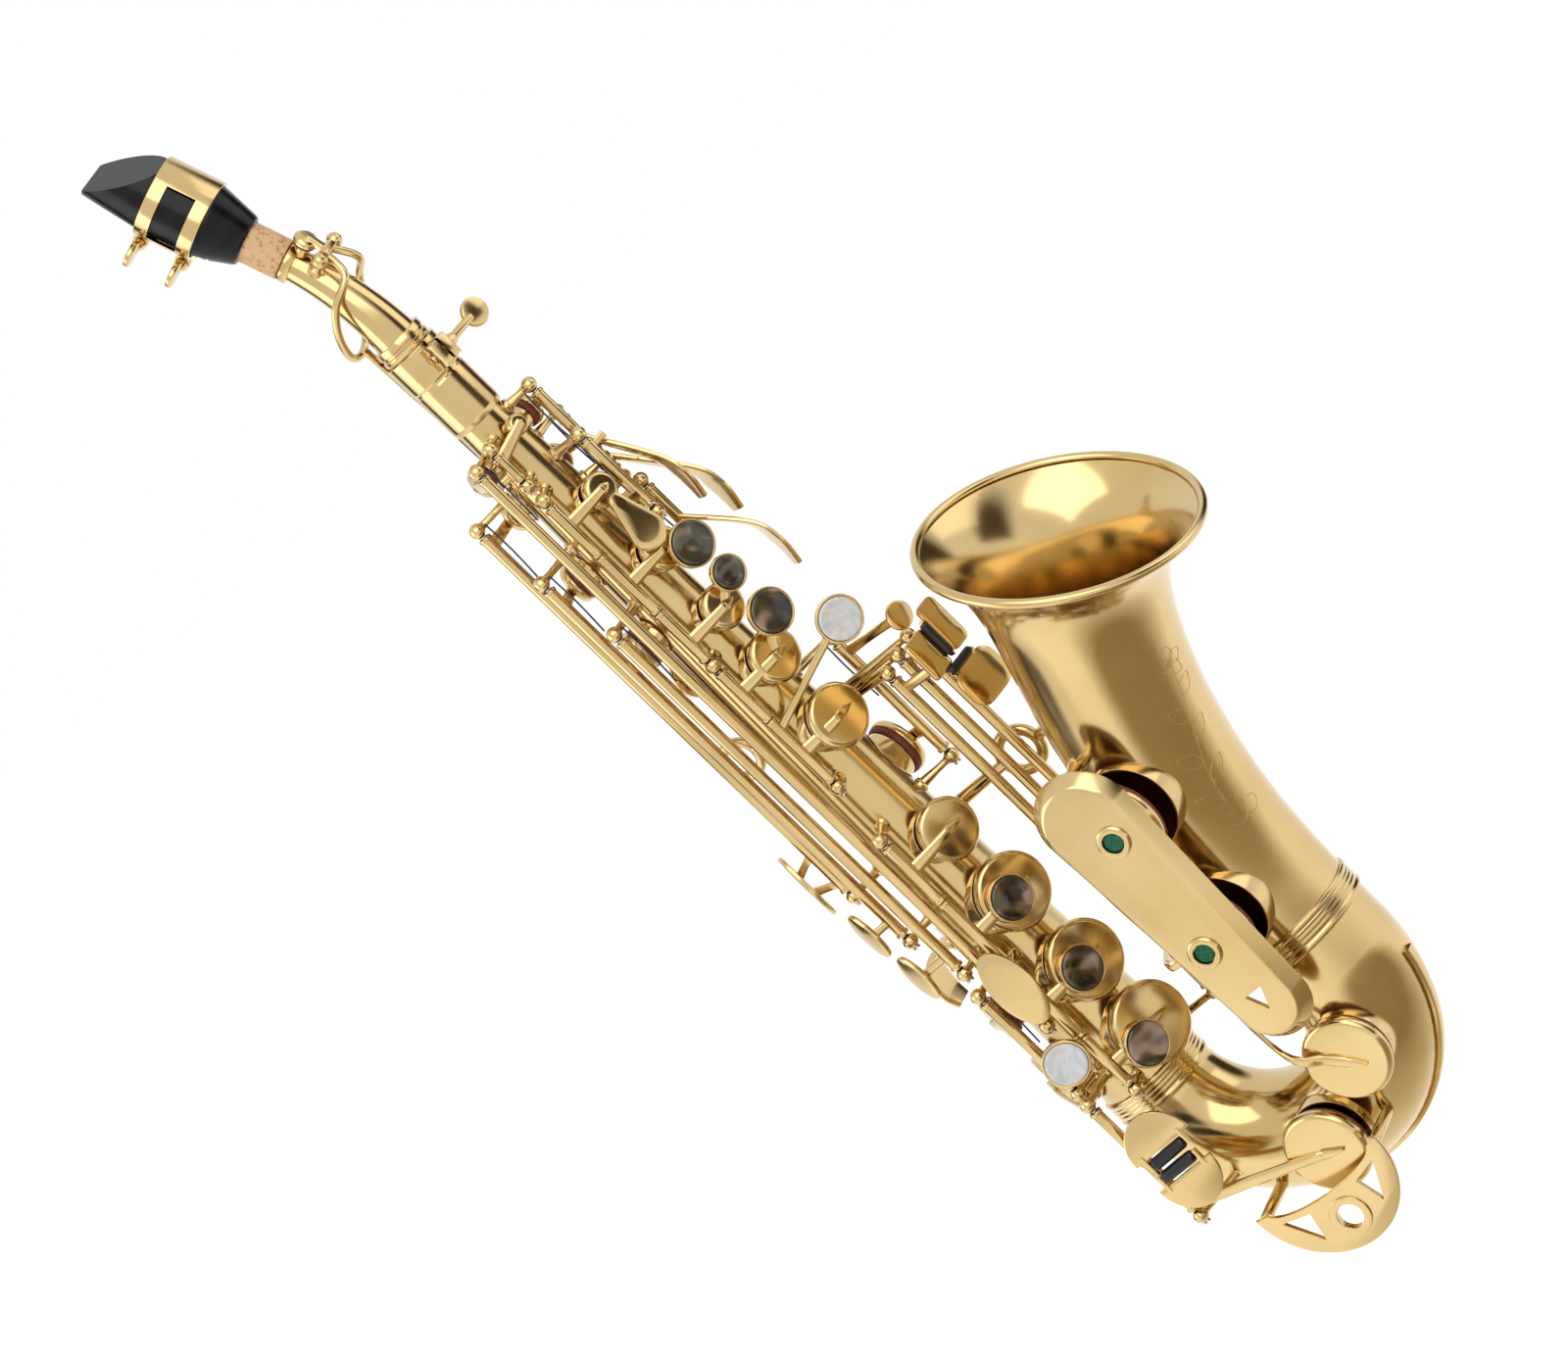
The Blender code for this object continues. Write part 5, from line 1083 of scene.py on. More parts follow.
crowded = [1.0 - (1.0 - k / BELL_STEPS) ** BELL_CROWDING for k in range(BELL_STEPS + 1)]
travels = [GAP + (BELL_LENGTH - GAP) * part for part in crowded]
outer = [bell_station(t) for t in travels]
inner = [(c, a, r - WALL * (1.0 + 0.6 * t / BELL_LENGTH)) for t, (c, a, r) in zip(travels, outer)]
inner.insert(0, (inner[0][0] - inner[0][1] * 2.0, inner[0][1], inner[0][2]))
inner.append((inner[-1][0] + inner[-1][1] * 3.0, inner[-1][1], inner[-1][2] + 5.0))
centre, along, rim = outer[-1]
extras = [spin(centre, along, bead(rim - RIM_BEAD * 0.5, RIM_BEAD, RIM_BEAD), sides=120, soft_edge=0.0)]
for name in BELL_HOLES:
    psi, h, _, last = SIDE_LINES[name]
    extras.append(post_from(bell_station(max(BELL_RING - last, 0.0)), at(psi, h, last)))
tube_piece("bell", sweep(outer, 120), sweep(inner, 120), BELL_HOLES, extras, bell_clearance)

# %% [markdown]
# The bell is engraved by hand with a spray of leaves and a flower, as many such bells are.  A graver cuts
# a bright matt line about 0.2 mm wide.  The lines here are thin wires laid on the wall and half sunk in
# it, which needs no change to the bell itself.  Their darker gold is painted shade that takes the place of
# the shade in a real cut's groove.  Distances along and across the bell are in millimetres.

# %% Engraving
ENGRAVED_AT = (76.0, 243.0)
LINE_RADIUS = 0.11
LINE_RISE = 0.01
engraved_shade_brass, tree, shader, spot = new_finish("brass_engraved_painted_groove_shade", 0.45, 1.0)
chatter = add(tree, "TexNoise", {"Scale": 900.0}, {"Vector": spot})
# the lines' darker gold is painted shade, standing in for the shade inside the groove of a cut
add(tree, "ValToRGB", {}, {"Fac": chatter.outputs["Fac"]}, [(0.3, "#B18D52"), (0.7, "#C8A567")],
    shader.inputs["Base Color"])


def on_bell(along_by, across_by):
    """A point on the bell's outside, by its distances from the middle of the engraving."""
    centre, along, radius = bell_station(ENGRAVED_AT[0] + along_by)
    turned = radians(ENGRAVED_AT[1]) + across_by / radius
    return centre + (X_AXIS * cos(turned) + along.cross(X_AXIS) * sin(turned)) * (radius + LINE_RISE)


def turned_by(way, a, b):
    """A step of a along and b across, turned by an angle in degrees."""
    return Matrix.Rotation(radians(way), 2) @ Vector((a, b))


def petal(root, way, length, width):
    """A closed leaf from its root, pointing at an angle from the bell's length."""
    shape = [(0.0, 0.0), (0.35, 0.5), (0.7, 0.42), (1.0, 0.0), (0.7, -0.42), (0.35, -0.5), (0.0, 0.0)]
    return [tuple(Vector(root) + turned_by(way, a * length, b * width)) for a, b in shape]


stem = [(u, 3.5 * sin(u / 14.0)) for u in range(-30, 23, 4)]
lines = [stem]
for k in range(6):
    root = stem[1 + 2 * k]
    side = 1.0 if k % 2 else -1.0
    lines.append(petal(root, side * 48.0, 11.0 - 0.5 * k, 4.6))
    lines.append([root, tuple(Vector(root) + turned_by(side * 48.0, 7.5, 0.0))])
flower = (27.0, stem[-1][1])
lines += [petal(flower, 72.0 * k, 6.5, 4.6) for k in range(5)]
lines.append([(flower[0] + 1.3 * cos(pi * k / 4.0), flower[1] + 1.3 * sin(pi * k / 4.0)) for k in range(9)])
curl = [(1.0 + 0.55 * k, 0.6 * k) for k in range(11)]
for side in (-1.0, 1.0):
    lines.append([(-31.0 + out * cos(a), side * (4.0 + out * sin(a))) for out, a in curl])
cuts = [wire([on_bell(*p) for p in line], LINE_RADIUS, 5, 6) for line in lines]
piece("bell_engraving", cuts, engraved_shade_brass, "body")
print(len(lines), "engraved lines")

# %% [markdown]
# Two rings join the tubes: short sleeves with a bead at each edge, slipped over both ends and clamped
# or soldered.  They are turned, so a spun outline is all they need.

# %% Joint rings
RING_HALF = 4.5


def ferrule(name, centre, radius):
    """A joint ring with two beads and fine turned lines between them."""
    low = radius + 0.15
    edge = [(radius - 0.4, 0.0), (low, 0.0), (low + 0.5, 0.4), (low + 0.6, 0.8), (low + 0.6, 1.6),
            (low + 0.25, 2.2)]
    outline = [(r, inwards - RING_HALF) for r, inwards in edge]
    outline += [(low + 0.25 + 0.2 * (k % 2), -RING_HALF + 2.6 + 0.76 * k) for k in range(6)]
    outline += [(r, RING_HALF - inwards) for r, inwards in reversed(edge)]
    piece(name, [spin(centre, Z_AXIS, outline, sides=96)], brass, "body", [name])


ferrule("body_to_bow_ring", -Z_AXIS * (BOW_CENTRE - RING_HALF), body_radius(BOW_CENTRE))
ferrule("bow_to_bell_ring", Vector((0.0, -LEG_SPACING, -BELL_RING)), BELL_RING_RADIUS + BELL_TAPER * 9.0)
print("rings made")

# %% [markdown]
# The parts that all keys share are turned: the cup with a step round its crown, the pad in its mouth and
# the hinge tube with a collar at each end.  They are spun from outlines that grow with the hole.

# %% Cups, pads and hinge tubes
ROD_RADIUS = 1.9
COLLAR_LENGTH = 1.3
COLLAR_RISE = 0.35
ARM_MARGIN = 2.0  # an arm keeps this far from the ends of its hinge tube
ARM_WIDTH = 3.4
ARM_THICK = 1.7
CUP_HEIGHT = 3.2
CUP_OVERLAP = 1.9
STACK_LIFT = 2.6
SIDE_LIFT = 2.4
BELL_LIFT = 3.6


def cup(base, normal, radius):
    """A key cup: a low lid with a turned step round its crown."""
    step = min(1.4, radius * 0.25)
    outline = [(0.0, 0.0), (radius, 0.0), (radius, CUP_HEIGHT * 0.55), (radius - step * 0.5, CUP_HEIGHT * 0.9),
               (radius - step, CUP_HEIGHT), (0.0, CUP_HEIGHT + 0.1)]
    return spin(base, normal, outline, sides=56, soft_edge=0.5)


def pad_disc(base, normal, radius):
    """A leather pad that fills the cup's mouth and stands out of it towards the hole."""
    outline = [(0.0, 0.05), (radius - 0.5, 0.05), (radius - 0.35, -1.0), (radius - 0.9, -PAD),
               (0.0, -PAD - 0.1)]
    return spin(base, normal, outline, sides=40, soft_edge=0.5)


def hinge_tube(psi, h, start, end):
    """The tube of a key's hinge, with a thin collar at each end."""
    shells = [rod(at(psi, h, start), at(psi, h, end), ROD_RADIUS, soft_edge=0.15)]
    for edge, inwards in ((start, COLLAR_LENGTH), (end, -COLLAR_LENGTH)):
        a, b = at(psi, h, edge), at(psi, h, edge + inwards)
        shells.append(rod(a, b, ROD_RADIUS + COLLAR_RISE, soft_edge=0.25))
    return shells


print("cups open by", SIDE_LIFT, "to", BELL_LIFT, "mm")

# %% [markdown]
# A key is a hinge tube, an arm, a cup with its pad, and whatever the finger touches.  It is built with
# its pad on the hole and then turned about its rod to the place where its spring holds it: stack and
# low keys stand open, side and palm keys stay shut.  To build it shut is simpler, because then the cup
# lies square on its hole.

# %% A key
def turning(hinge, angle):
    """A turn about the hinge's line, which runs along the tube."""
    return Matrix.Translation(hinge) @ Matrix.Rotation(angle, 4, "Z") @ Matrix.Translation(-hinge)


def key(name, line, span, lift, stands_open, touches, via=(), arm_d=None):
    """Makes a key and its pad, and gives back the turn that sets it at rest."""
    hole = HOLES[name]
    start, end = span
    hinge = at(*line, (start + end) / 2.0)
    seat = hole.seat()
    foot = hinge.copy()
    foot.z = -min(max(-seat.z if arm_d is None else arm_d, start + ARM_MARGIN), end - ARM_MARGIN)
    crown = seat + hole.normal * (CUP_HEIGHT + ARM_THICK * 0.3)
    reach = (crown - (via[-1] if via else foot)).normalized()
    flat = (reach - hole.normal * reach.dot(hole.normal)).normalized()
    beyond = crown + flat * (hole.radius * 0.55) - hole.normal * 0.25
    route = [foot] + list(via) + [crown - flat * hole.radius * 0.5, crown, beyond]
    widths = [ARM_WIDTH + 1.2] + [ARM_WIDTH] * (len(route) - 2) + [ARM_WIDTH * 0.25]
    shells = hinge_tube(*line, start, end) + touches
    shells += [cup(seat, hole.normal, hole.radius + CUP_OVERLAP), strip(route, widths, ARM_THICK, Z_AXIS)]
    rate = Z_AXIS.cross(seat - hinge).dot(hole.normal)
    turn = turning(hinge, lift / rate if stands_open else 0.0)
    piece(name, shells, brass, name, [name], turn=turn)
    pad = pad_disc(seat, hole.normal, hole.radius + CUP_OVERLAP)
    piece(name.replace("_key", "_pad"), [pad], finishes["pad_leather_tanned"], name, turn=turn)
    return turn


print("arms are", ARM_WIDTH, "mm wide and", ARM_THICK, "mm thick")

# %% [markdown]
# Finger pearls sit in turned dishes that are soldered to their keys.  The pearl's face is hollow, so
# that the finger finds its middle.  Both are spun from an outline, which gives the hollow and the rim
# without any sculpting.

# %% Pearl dishes
PEARL_RADIUS = 6.6
PEARL_THICK = 1.8
DISH_RIM = 0.8
DISH_FOOT = 1.6


def dish(base, normal, radius):
    """The dish that takes a pearl of the given radius; base is the dish's floor."""
    inside = radius + GAP
    rim = inside + DISH_RIM
    top = PEARL_THICK * 0.75
    outline = [(0.0, -2.4), (rim * 0.5, -2.4), (rim, -0.8), (rim, top), (inside, top), (inside, 0.0),
               (0.0, 0.0)]
    return spin(base, normal, outline, sides=44, soft_edge=0.3)


def pearl(name, base, normal, radius, turn, shell):
    """A dished disc of shell in its dish, on the key that it is named after."""
    low, high = GAP * 0.3, GAP + PEARL_THICK
    outline = [(0.0, low), (radius + 0.2, low), (radius + 0.2, high - 0.3), (radius - 0.5, high),
               (radius * 0.6, high - 0.45), (radius * 0.25, high - 0.65), (0.0, high - 0.7)]
    body = "trill_fs_key" if name == "trill_pearl" else name.replace("_pearl", "_key")
    piece(name, [spin(base, normal, outline, sides=48, soft_edge=0.25)], shell, body, [name], turn)


def link(a, b, width=ARM_WIDTH, thick=ARM_THICK):
    """A short straight arm, wide along the tube."""
    return strip([a, (a + b) / 2.0, b], [width, width * 0.85, width], thick, Z_AXIS)


print("pearls are", PEARL_RADIUS * 2.0, "mm across")

# %% [markdown]
# The two stacks are the keys of the six main fingers.  The cups lie in a row over the front of the tube
# and hinge on one long rod for each hand.  C and F sharp have no pearl: other keys carry them along.
# The keys are alike, so a loop makes them and only their places differ.

# %% Upper and lower stack
def stack_key(name, line, span, shell, pearl_at, pearl_radius, face):
    """A stack key that stands open and carries a pearl."""
    base = at(*pearl_at)
    normal = around(face)
    crown = HOLES[name].seat() + HOLES[name].normal * (CUP_HEIGHT - 0.6)
    touches = [dish(base, normal, pearl_radius)]
    if (crown - base).length > pearl_radius * 0.8:
        touches.append(link(crown, base - normal * DISH_FOOT))
    turn = key(name, line, span, STACK_LIFT, True, touches)
    pearl(name.replace("_key", "_pearl"), base, normal, pearl_radius, turn, shell)


PEARL_FACE = 66.0
key("c_key", UPPER_ROD, (59.0 + END, 83.0), STACK_LIFT, True, [])
for name, span, pearl_at, pearl_radius in (("b_key", (83.0 + GAP, 108.0), (82.0, 23.5, 101.0), PEARL_RADIUS),
                                           ("bis_key", (108.0 + GAP, 132.0 - END), (86.0, 23.6, 115.5), 4.9),
                                           ("a_key", (132.0 + END, 156.0), (85.0, 25.0, 133.0), PEARL_RADIUS)):
    stack_key(name, UPPER_ROD, span, dark_shell, pearl_at, pearl_radius, PEARL_FACE)
g_base = at(95.0, 38.0, 149.0)
g_face = around(55.0)
g_arm = link(at(*UPPER_ROD, 161.0), g_base - g_face * DISH_FOOT, 2.8, 2.0)
touches = [dish(g_base, g_face, PEARL_RADIUS), g_arm]
g_turn = key("g_key", UPPER_ROD, (156.0 + GAP, 186.0 - END), STACK_LIFT, True, touches)
pearl("g_pearl", g_base, g_face, PEARL_RADIUS, g_turn, white_shell)

key("fs_key", LOWER_ROD, (206.0 + END, 233.0), STACK_LIFT, True, [])
for name, span, psi, below in (("f_key", (233.0 + GAP, 264.0 - END), 53.0, 0.0),
                               ("e_key", (264.0 + END, 294.0), 52.0, 0.0),
                               ("d_key", (294.0 + GAP, 318.0 - END), 46.0, 2.5)):
    hole = HOLES[name]
    stand = hole.top + PAD + GAP + CUP_HEIGHT + 2.6
    stack_key(name, LOWER_ROD, span, dark_shell, (psi, stand, below - hole.centre.z), PEARL_RADIUS, LOWER_FACE)
print("stacks made")

# %% [markdown]
# Side keys run down the tube to paddles by the right hand.  Their rods are the long bright lines of the
# instrument, so each rod is a single tube with collars.  The four paddles are one shape in four sizes,
# and the trill key has a white pearl on a short arm.

# %% Side keys
def line_of(name):
    """Where a key's rod lies and the span of its hinge tube between the posts."""
    psi, h, first, last = SIDE_LINES[name]
    return (psi, h), (first + END, last - END)


def paddle(name, psi, h, d, length, width, arms):
    """The touch of a side key: a plate along the tube, on arms from its rod."""
    line = SIDE_LINES[name]
    centre = at(psi, h, d)
    shells = [finger_plate(centre, around(psi), Z_AXIS, oval(length, width))]
    for place in arms:
        head = centre - around(psi) * PLATE_HALF
        head.z = -place + (centre.z + place) * 0.5
        shells.append(link(at(line[0], line[1], place), head, 3.0, 2.0))
    return shells


for name, psi, h, d, length, width, arms in (("high_e_key", -56.0, 34.0, 205.0, 25.0, 15.0, (198.0, 211.0)),
                                             ("side_c_key", -33.0, 34.0, 227.5, 18.0, 9.0, (229.0,)),
                                             ("side_bb_key", -27.0, 34.0, 247.0, 18.0, 9.0, (248.0,)),
                                             ("high_fs_key", 16.0, 35.0, 267.0, 29.0, 14.0, (268.0,))):
    key(name, *line_of(name), SIDE_LIFT, False, paddle(name, psi, h, d, length, width, arms))
line, span = line_of("trill_fs_key")
base = at(9.0, 37.0, 295.0)
face = around(20.0)
arm = link(at(*line, 297.0), base - face * DISH_FOOT, 3.0, 2.2)
turn = key("trill_fs_key", line, span, SIDE_LIFT, False, [dish(base, face, PEARL_RADIUS), arm])
pearl("trill_pearl", base, face, PEARL_RADIUS, turn, white_shell)
print("side keys made")

# %% [markdown]
# Palm keys are long leaves under the left palm, and front F is a drop-shaped touch above the B pearl.  A
# leaf is bent along its length to fit the hand, so it is an arm that widens, and not a flat plate.

# %% Palm keys and front F
LEAF_ROOT = 7.0
LEAF_THICK = 1.8


def leaf(name, psi, h, first, last, width, bank):
    """A palm touch: a long leaf that runs down the tube from its hinge and widens to a round end."""
    line = SIDE_LINES[name]
    tip = at(psi, h, last)
    knee = at(psi, h - 2.0, first)
    root = at(line[0], line[1], line[3] - END - LEAF_ROOT)
    route = [root, knee, (knee + tip) / 2.0 + around(psi) * 1.5, tip]
    widths = [3.6, width * 0.7, width, width * 0.6]
    return [strip(route, widths, LEAF_THICK, around(psi + 90.0 + bank), 8, 16)]


for name, psi, h, first, last, width, bank in (("palm_f_key", 108.0, 32.0, 75.0, 95.0, 11.0, 34.0),
                                               ("palm_eb_key", 134.0, 36.0, 88.0, 108.0, 12.0, 12.0),
                                               ("palm_d_key", 125.0, 36.5, 112.0, 132.0, 12.0, 12.0)):
    key(name, *line_of(name), SIDE_LIFT, False, leaf(name, psi, h, first, last, width, bank))
line, span = line_of("front_f_key")
shells = hinge_tube(*line, *span)
shells += [finger_plate(at(62.0, 25.5, 75.0), around(62.0), -Z_AXIS, stadium(13.0, 2.6, 6.4)),
           link(at(*line, 80.0), at(64.0, 24.6, 78.0)), link(at(*line, 59.5), at(106.0, 24.5, 59.5), 2.6)]
piece("front_f_key", shells, brass, "front_f_key", ["front_f_key"])
print("palm keys made")

# %% [markdown]
# The left little finger has a table of four plates: G sharp, and the long levers to low C sharp, B and
# B flat, whose rods run side by side to the bow and bell.  Two of the plates carry a thin roller each,
# held by two ears.

# %% Left little finger's table
table_face = around(72.0)
TABLE_ROLLERS = {"low_b_key": ("table_roller_long", Vector((6.7, -56.4, -174.5)), Z_AXIS, 12.5),
                 "low_bb_key": ("table_roller_short", Vector((6.6, -56.6, -184.6)), around(162.0), 11.0)}
line, span = line_of("gs_key")
touch = Vector((3.0, -55.0, -161.0))
touches = [finger_plate(touch, table_face, Z_AXIS, oval(9.4, 10.0)),
           link(at(*line, 162.0), touch - table_face * PLATE_HALF)]
key("gs_key", line, span, SIDE_LIFT, False, touches)
for name, place, size, stands_open, touch_d, arm_d, via, bends in (
        ("low_cs_key", (0.0, -54.0, -175.8), (15.0, 9.5, 1.5), False, 180.0, 307.0, (-28.5, -59.0, -336.1), ()),
        ("low_b_key", (12.4, -58.0, -173.0), (18.0, 8.0, 2.0), True, 176.0, 292.0, (-29.5, -58.0, -291.5),
         ((12.6, -42.5), (15.2, -50.0))),
        ("low_bb_key", (9.3, -57.1, -193.5), (15.0, 18.0, 5.0), True, 193.5, 247.0, (-32.0, -62.0, -247.5), ())):
    line, span = line_of(name)
    touch = Vector(place)
    head = touch - table_face * PLATE_HALF
    head.z = -touch_d
    route = [at(*line, touch_d)] + [Vector((*bend, -touch_d)) for bend in bends] + [head]
    touches = [finger_plate(touch, table_face, Z_AXIS, lozenge(*size)),
               strip(route, [ARM_WIDTH] * len(route), ARM_THICK, Z_AXIS)]
    if name in TABLE_ROLLERS:
        roller, middle, axis, length = TABLE_ROLLERS[name]
        foot = touch - table_face
        for hand in (-1.0, 1.0):
            end = middle + axis * hand * (length / 2.0 + 0.7)
            ear = [end, end - table_face * 1.6 + (foot - end) * 0.35]
            touches.append(strip(ear, [1.8, 2.4], 1.2, axis.cross(table_face)))
    lift = BELL_LIFT if stands_open else SIDE_LIFT
    turn = key(name, line, span, lift, stands_open, touches, (Vector(via),), arm_d)
    if name in TABLE_ROLLERS:
        outline = [(0.0, 0.0), (1.1, 0.0), (1.5, 0.7), (1.5, length - 0.7), (1.1, length), (0.0, length)]
        shell = spin(middle - axis * length / 2.0, axis, outline, sides=28)
        piece(roller, [shell], acetal, name, turn=turn)
print("left table made, with", len(TABLE_ROLLERS), "rollers")

# %% [markdown]
# The right little finger has two half-round plates, for low E flat and low C.  They meet at a roller
# each, so that the finger can slide from one to the other.

# %% Right little finger's table
ROLLER_RADIUS = 2.1
ROLLER_LENGTH = 13.0
TABLE_FACE = 13.0
TABLE_H = 38.0
TABLE_MIDDLE = 340.0
psi, h, first, last = TABLE_LINE
middle = (first + last) / 2.0
out = around(TABLE_FACE)
across = Z_AXIS.cross(out)
ear = ROLLER_LENGTH / 2.0 + GAP + 0.8
for name, span, side, lift, stands_open in (
        ("low_eb_key", (first + END, middle - GAP / 2.0), 1.0, SIDE_LIFT, False),
        ("low_c_key", (middle + GAP / 2.0, last - END), -1.0, BELL_LIFT, True)):
    axle = at(TABLE_FACE, TABLE_H, TABLE_MIDDLE) + Z_AXIS * side * (ROLLER_RADIUS + 0.4)
    edge = axle + Z_AXIS * side * (ROLLER_RADIUS + 0.6)
    half_disc = [(13.0 * sin(pi * k / 32.0), 11.0 * cos(pi * k / 32.0)) for k in range(33)]
    touches = [plate(half_disc, edge + out * 0.8, Z_AXIS * side, across * side, 1.6, 0.3)]
    for hand in (-1.0, 1.0):
        start = edge + across * hand * ear + Z_AXIS * side * 2.0
        touches.append(strip([start, axle + across * hand * ear - Z_AXIS * side * 1.2], [1.6, 1.6], 2.4, across))
    arm_d = min(max(-(edge + Z_AXIS * side * 6.0).z, span[0] + ARM_MARGIN), span[1] - ARM_MARGIN)
    touches.append(link(at(psi, h, arm_d), edge + Z_AXIS * side * 5.0, 4.0))
    turn = key(name, (psi, h), span, lift, stands_open, touches)
    outline = [(0.0, 0.0), (ROLLER_RADIUS * 0.8, 0.0), (ROLLER_RADIUS, 0.8),
               (ROLLER_RADIUS + 0.05, ROLLER_LENGTH / 2.0), (ROLLER_RADIUS, ROLLER_LENGTH - 0.8),
               (ROLLER_RADIUS * 0.8, ROLLER_LENGTH), (0.0, ROLLER_LENGTH)]
    shell = spin(axle - across * ROLLER_LENGTH / 2.0, across, outline, sides=32)
    roller = name.replace("_key", "_roller")
    piece(roller, [shell], acetal, roller, [roller], turn)
print("right table made, rollers", ROLLER_LENGTH, "mm long")

# %% [markdown]
# The octave keys open small vents high on the tube and on the neck.  The thumb works a lever on the back,
# whose long finger lifts the loop of the neck's key.  A strip on a smooth path follows the tube's back
# better than straight bars would.

# %% Octave keys of the body
line, span = line_of("body_octave_key")
key("body_octave_key", line, span, 1.6, False, [link(at(*line, 47.0), at(2.0, 20.0, 47.0), 3.0)])
line, span = line_of("octave_thumb_key")
face = around(-125.0)
thumb = at(-128.0, 20.0, 104.0)
route = [at(*line, span[0] + 5.0), at(-122.0, 20.0, 85.0), at(-121.0, 19.5, 40.0), at(-98.0, 12.6, 2.0),
         Vector((-2.0, 10.4, 9.5))]
shells = hinge_tube(*line, *span)
shells += [strip(route, [3.4, 3.0, 3.0, 2.4, 2.4], 1.6, around(-20.0), 2),
           finger_plate(thumb, face, Z_AXIS, oval(17.0, 11.0)),
           link(at(*line, 104.0), thumb - face * PLATE_HALF)]
piece("octave_thumb_key", shells, brass, "octave_thumb_key", ["octave_thumb_key"])
print("octave keys made")

# %% [markdown]
# The neck is a slightly bent cone.  Its axis is straight, then bends towards the player, then is straight
# again.  Everything on the neck and the mouthpiece is placed by its distance s along this axis.

# %% The neck's line
NECK_BEND = 22.0
NECK_BEND_RADIUS = 100.0
NECK_STRAIGHT = 6.0
NECK_LENGTH = 47.0
NECK_FOOT_RADIUS = 7.3
NECK_TIP_RADIUS = 5.4
CORK_LENGTH = 26.0
CORK_RADIUS = 6.6
CORK_SEAT_RADIUS = 5.0
SHANK_S = NECK_LENGTH + 13.0
OCTAVE_HINGE = (37.0, 10.5)
OCTAVE_POST = 6.5
OCTAVE_CUP_S = 43.5
TENON_RADIUS = 7.4


def neck_place(s):
    """Point and direction of the neck's axis: straight, then a bend towards the player, then straight."""
    turned = min(max(s - NECK_STRAIGHT, 0.0) / NECK_BEND_RADIUS, radians(NECK_BEND))
    along = Vector((0.0, sin(turned), cos(turned)))
    bend = Vector((0.0, NECK_BEND_RADIUS * (1.0 - cos(turned)), NECK_BEND_RADIUS * sin(turned)))
    rest = max(s - NECK_STRAIGHT - NECK_BEND_RADIUS * radians(NECK_BEND), 0.0)
    return Z_AXIS * min(s, NECK_STRAIGHT) + bend + along * rest, along


def neck_point(s, x, rise):
    """A point beside the neck: x to the player's left, rise towards the neck's front side."""
    centre, along = neck_place(s)
    return centre + X_AXIS * x + X_AXIS.cross(along) * rise


def on_hinge(x):
    """A point on the line of the neck's octave key."""
    return neck_point(OCTAVE_HINGE[0], x, OCTAVE_HINGE[1])


print("neck and cork are", NECK_LENGTH + CORK_LENGTH, "mm long")

# %% [markdown]
# The neck's outline is a table of distances and radii: the tenon that the receiver clamps, a collar with a
# groove, the cone and the seat of the cork.  Its end is covered with cork for the mouthpiece.

# %% Neck tube and cork
CONE_STEPS = 16
CONE_START = 6.0
cork_end = NECK_LENGTH + CORK_LENGTH
places = [(-TENON_LENGTH, TENON_RADIUS), (GAP, TENON_RADIUS), (GAP, 8.6), (GAP + 0.3, 8.8), (2.2, 8.8),
          (2.6, 8.4), (3.2, 8.4), (3.6, 8.8), (5.6, 8.8), (CONE_START, 8.5)]
for k in range(CONE_STEPS + 1):
    taper = (NECK_TIP_RADIUS - NECK_FOOT_RADIUS) * k / CONE_STEPS
    places.append((CONE_START + (NECK_LENGTH - 9.0) * k / CONE_STEPS, NECK_FOOT_RADIUS + taper))
places += [(NECK_LENGTH - 3.0, 6.3), (NECK_LENGTH - 2.6, CORK_RADIUS), (NECK_LENGTH - 0.3, CORK_RADIUS),
           (NECK_LENGTH, CORK_RADIUS - 0.3), (NECK_LENGTH, CORK_SEAT_RADIUS), (cork_end, CORK_SEAT_RADIUS)]
outside = sweep([(*neck_place(s), radius) for s, radius in places], 64)
narrows = TENON_RADIUS - CORK_SEAT_RADIUS
ends = enumerate((-TENON_LENGTH - PAST, NECK_STRAIGHT, 20.0, 36.0, cork_end + PAST))
bore = sweep([(*neck_place(s), TENON_RADIUS - WALL - narrows * k / 4.0) for k, s in ends], 64)
posts = [post(on_hinge(hand * OCTAVE_POST), neck_point(OCTAVE_HINGE[0], hand * 3.4, NECK_TIP_RADIUS - 1.5))
         for hand in (-1.0, 1.0)]
centre, along = neck_place(OCTAVE_CUP_S)
rise = X_AXIS.cross(along)
vent = rod(centre, centre + rise * (CORK_RADIUS + 1.2), 2.4, sides=32)
pip = rod(centre, centre + rise * (CORK_RADIUS + 4.0), 1.2)
piece("neck_tube", [carved([outside, vent], [bore, pip])] + posts, brass, "neck", ["neck_tube"])
low, along = neck_place(NECK_LENGTH + GAP)
inside = CORK_SEAT_RADIUS + 0.1
outline = [(inside, 0.0), (CORK_RADIUS, 0.0), (CORK_RADIUS, CORK_LENGTH - 1.5),
           (CORK_RADIUS - 0.6, CORK_LENGTH - 1.0), (inside, CORK_LENGTH - 1.0)]
piece("neck_cork", [spin(low, along, outline, sides=56)], cork, "neck", ["neck_cork"])
print("neck made, cork from", NECK_LENGTH, "to", cork_end, "mm")

# %% [markdown]
# A small vent on top of the neck has its own key.  The key's loop goes round the neck, down to the finger
# of the lever on the body, and stays in reach of it when the neck is swivelled.

